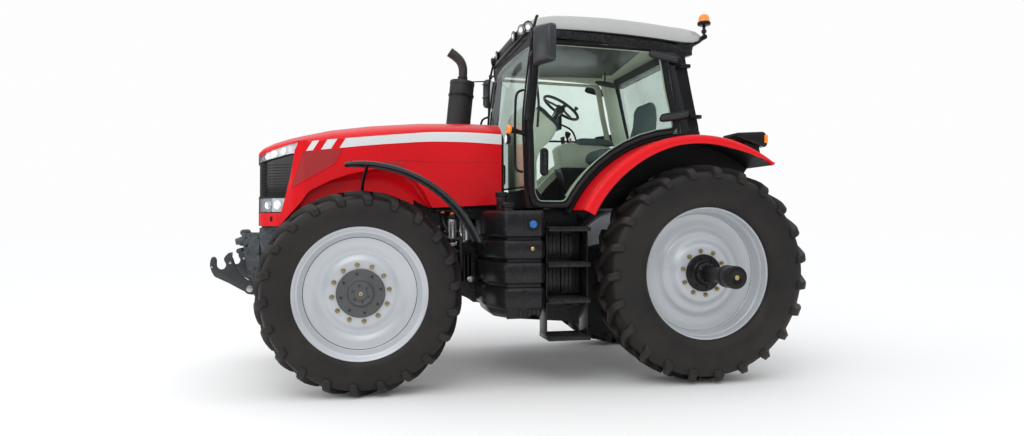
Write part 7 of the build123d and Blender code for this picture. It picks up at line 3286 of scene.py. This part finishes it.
@dataclass(frozen=True)
class Studio:
    """Camera, floor and lights, in metres in the frame's own axes."""

    eye: Triple = (1.713, 7.29, 1.473)
    ahead: Triple = (-0.2142, -0.9768, 0.0)
    lens: float = 25.33
    shift: Pair = (0.0016, 0.0038)
    floor: Colour = (0.95, 0.95, 0.95)

    def build(self) -> None:
        """Sets up the camera, the floor, the lights and the white surroundings."""
        self.camera()
        self.ground()
        self.lamps()
        self.world()

    def camera(self) -> None:
        """Adds the fitted camera."""
        data = bpy.data.cameras.new("camera")
        data.lens = self.lens
        data.sensor_width = 36.0
        data.shift_x, data.shift_y = self.shift
        data.clip_end = 200.0
        camera = bpy.data.objects.new("camera", data)
        camera.location = self.eye
        camera.rotation_euler = Vector(self.ahead).to_track_quat("-Z", "Y").to_euler()
        bpy.context.scene.collection.objects.link(camera)
        bpy.context.scene.camera = camera

    def ground(self) -> None:
        """Adds the plain pale floor."""
        data = bpy.data.meshes.new("floor")
        reach = 60.0
        data.from_pydata(
            [(-reach, -reach, 0), (reach, -reach, 0), (reach, reach, 0), (-reach, reach, 0)], [],
            [(0, 1, 2, 3)]
        )
        floor = bpy.data.objects.new("floor", data)
        bpy.context.scene.collection.objects.link(floor)
        material = bpy.data.materials.new("floor")
        material.use_nodes = True
        shader = material.node_tree.nodes["Principled BSDF"]
        shader.inputs["Base Color"].default_value = (*self.floor, 1.0)
        shader.inputs["Roughness"].default_value = 0.9
        shader.inputs["Specular IOR Level"].default_value = 0.0
        data.materials.append(material)
        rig.stage(floor)

    def lamps(self) -> None:
        """Adds the soft boxes."""
        rows = (
            # name, place, looks at, size, power
            ("key", (3.5, 7.0, 7.5), (0.0, 0.0, 1.2), (6.0, 4.0), 150.0),
            ("front", (8.0, 1.5, 3.5), (1.5, 0.0, 1.2), (4.0, 3.0), 70.0),
        )
        for name, spot, target, size, power in rows:
            data = bpy.data.lights.new(name, "AREA")
            data.shape = "RECTANGLE"
            data.size, data.size_y = size
            data.energy = power
            light = bpy.data.objects.new(name, data)
            light.location = spot
            light.rotation_euler = (Vector(target) - Vector(spot)).to_track_quat("-Z", "Y").to_euler()
            bpy.context.scene.collection.objects.link(light)
            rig.stage(light)

    def world(self) -> None:
        """White to the camera, a soft grey sky to everything else."""
        world = bpy.data.worlds.new("studio")
        world.use_nodes = True
        bpy.context.scene.world = world
        world.node_tree.nodes.clear()
        graph = Graph(world.node_tree)
        output = graph.add("ShaderNodeOutputWorld")
        facing = graph.add("ShaderNodeSeparateXYZ")
        graph.feed(facing.inputs[0], graph.add("ShaderNodeTexCoord").outputs["Generated"])
        mirrored_sky = graph.mix(
            graph.span(facing.outputs["Z"], -0.05, 0.75), (0.12, 0.125, 0.13, 1.0), (1.1, 1.12, 1.15, 1.0)
        )
        path = graph.add("ShaderNodeLightPath")
        rows = (
            (path.outputs["Is Glossy Ray"], mirrored_sky),
            (path.outputs["Is Camera Ray"], (0.985, 0.985, 0.985, 1.0))
        )
        colour: object = (1.03, 1.04, 1.05, 1.0)
        for ray, shown in rows:
            colour = graph.mix(ray, colour, shown)
        join = graph.add("ShaderNodeBackground")
        graph.feed(join.inputs["Color"], colour)
        join.inputs["Strength"].default_value = 1.0
        graph.feed(output.inputs["Surface"], join.outputs[0])


REAR_TYRE = Tyre("rear", 0, 1002, 1090, 1002, 500, 630, 23, 50, 33)
FRONT_TYRE = Tyre("front", 3100, 871, 980, 871, 440, 554, 22, 44, 30)
REAR_RIM = Rim(
    "rear", 0, 1002,
    (
        (600, 880), (628, 880), (638, 888), (640, 900), (616, 905), (604, 920), (604, 1262), (640, 1274),
        (644, 1288), (634, 1296), (622, 1290), (610, 1268), (606, 1256), (592, 1250), (586, 1236),
        (580, 1190), (570, 1182), (565, 1168), (560, 1090), (554, 1072), (538, 1062), (470, 1062),
        (430, 1066), (404, 1074), (384, 1092), (366, 1104), (340, 1108), (316, 1112), (296, 1124),
        (276, 1146), (256, 1158), (232, 1162), (130, 1162), (130, 1120), (240, 1110), (300, 1060),
        (420, 1030), (548, 1034), (566, 1020), (586, 900), (600, 880),
    ),
    (548, 1066), 10, 205, 1162, 18,
    (
        (
            (
                (0, 1120), (160, 1120), (172, 1160), (172, 1182), (164, 1190), (118, 1194), (106, 1204),
                (98, 1236), (78, 1244), (72, 1250), (68, 1262), (66, 1290), (66, 1566), (72, 1572),
                (92, 1578), (98, 1586), (98, 1630), (94, 1634), (94, 1660), (98, 1664), (98, 1756),
                (90, 1766), (40, 1768), (30, 1764), (0, 1764),
            ),
            Look.BLACK,
        ),
    ),
    ((8, 142, 1190, 11), (12, 78, 1240, 8)),
    (20, 1755, 1770),
)
FRONT_RIM = Rim(
    "front", 3100, 871,
    (
        (530, 792), (548, 792), (560, 800), (562, 810), (536, 818), (528, 840), (528, 1144), (558, 1156),
        (566, 1166), (560, 1176), (548, 1172), (534, 1152), (524, 1146), (514, 1142), (506, 1126),
        (498, 1120), (490, 1104), (482, 1092), (470, 1084), (452, 1080), (420, 1078), (396, 1074),
        (372, 1058), (344, 1048), (318, 1052), (296, 1066), (280, 1074), (262, 1076), (150, 1076),
        (150, 1050), (260, 1046), (330, 1018), (400, 1040), (480, 1050), (500, 1020), (514, 830), (530, 792),
    ),
    (474, 1086), 12, 240, 1076, 17,
    (
        (
            (
                (0, 1040), (200, 1040), (205, 1060), (205, 1094), (196, 1102), (150, 1106), (116, 1112),
                (104, 1132), (98, 1146), (88, 1150), (82, 1146), (60, 1142), (54, 1146), (50, 1152),
                (0, 1152),
            ),
            Look.HUB,
        ),
    ),
    ((8, 168, 1100, 9), (6, 70, 1142, 5)),
    (16, 1140, 1154),
)


def write_size(label: str, box: tuple) -> None:
    """Args:
        label: The name of the box in the file.
        box: The lower and the upper corner.
    """
    path = "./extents.json"
    try:
        with open(path, encoding="utf-8") as source:
            rows = json.load(source)
    except (OSError, ValueError):
        rows = {}
    rows[label] = [list(box[0]), list(box[1])]
    with open(path, "w", encoding="utf-8") as target:
        json.dump(rows, target)


def main() -> None:
    """Builds the tractor's looks and its studio."""
    logging.basicConfig(level=logging.INFO, format="%(message)s")
    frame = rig.load()
    write_size("cad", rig.bounds())
    make_effects()
    builders: list[tuple[str, Callable[[], None]]] = [
        ("carried pieces", lambda: Carried(CARRIED).paint(frame)),
        ("rear tyres", REAR_TYRE.build),
        ("front tyres", FRONT_TYRE.build),
        ("rear rims", REAR_RIM.build),
        ("front rims", FRONT_RIM.build),
        ("bonnet", Bonnet().build),
        ("nose", Nose().build),
        ("front fenders", FrontFender().build),
        ("exhaust", Exhaust().build),
        ("fuel tanks", FuelTank().build),
        ("steps", Steps().build),
        ("roof", Roof().build),
        ("doors", Door().build),
        ("cab trim", CabTrim().build),
        ("rear fenders", RearFender().build),
        ("fittings", Fittings().build),
        ("interior", Interior().build),
        ("engine bay", EngineBay().build),
        ("front hitch", FrontHitch((4070, 870), (4316, 1087)).build),
        ("rear end", RearEnd().build),
        ("studio", Studio().build),
    ]
    for name, build in builders:
        build()
        LOG.info("built %s", name)
    bpy.context.scene.view_settings.view_transform = "Standard"
    write_size("scene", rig.bounds())


if __name__ == "__main__":
    main()
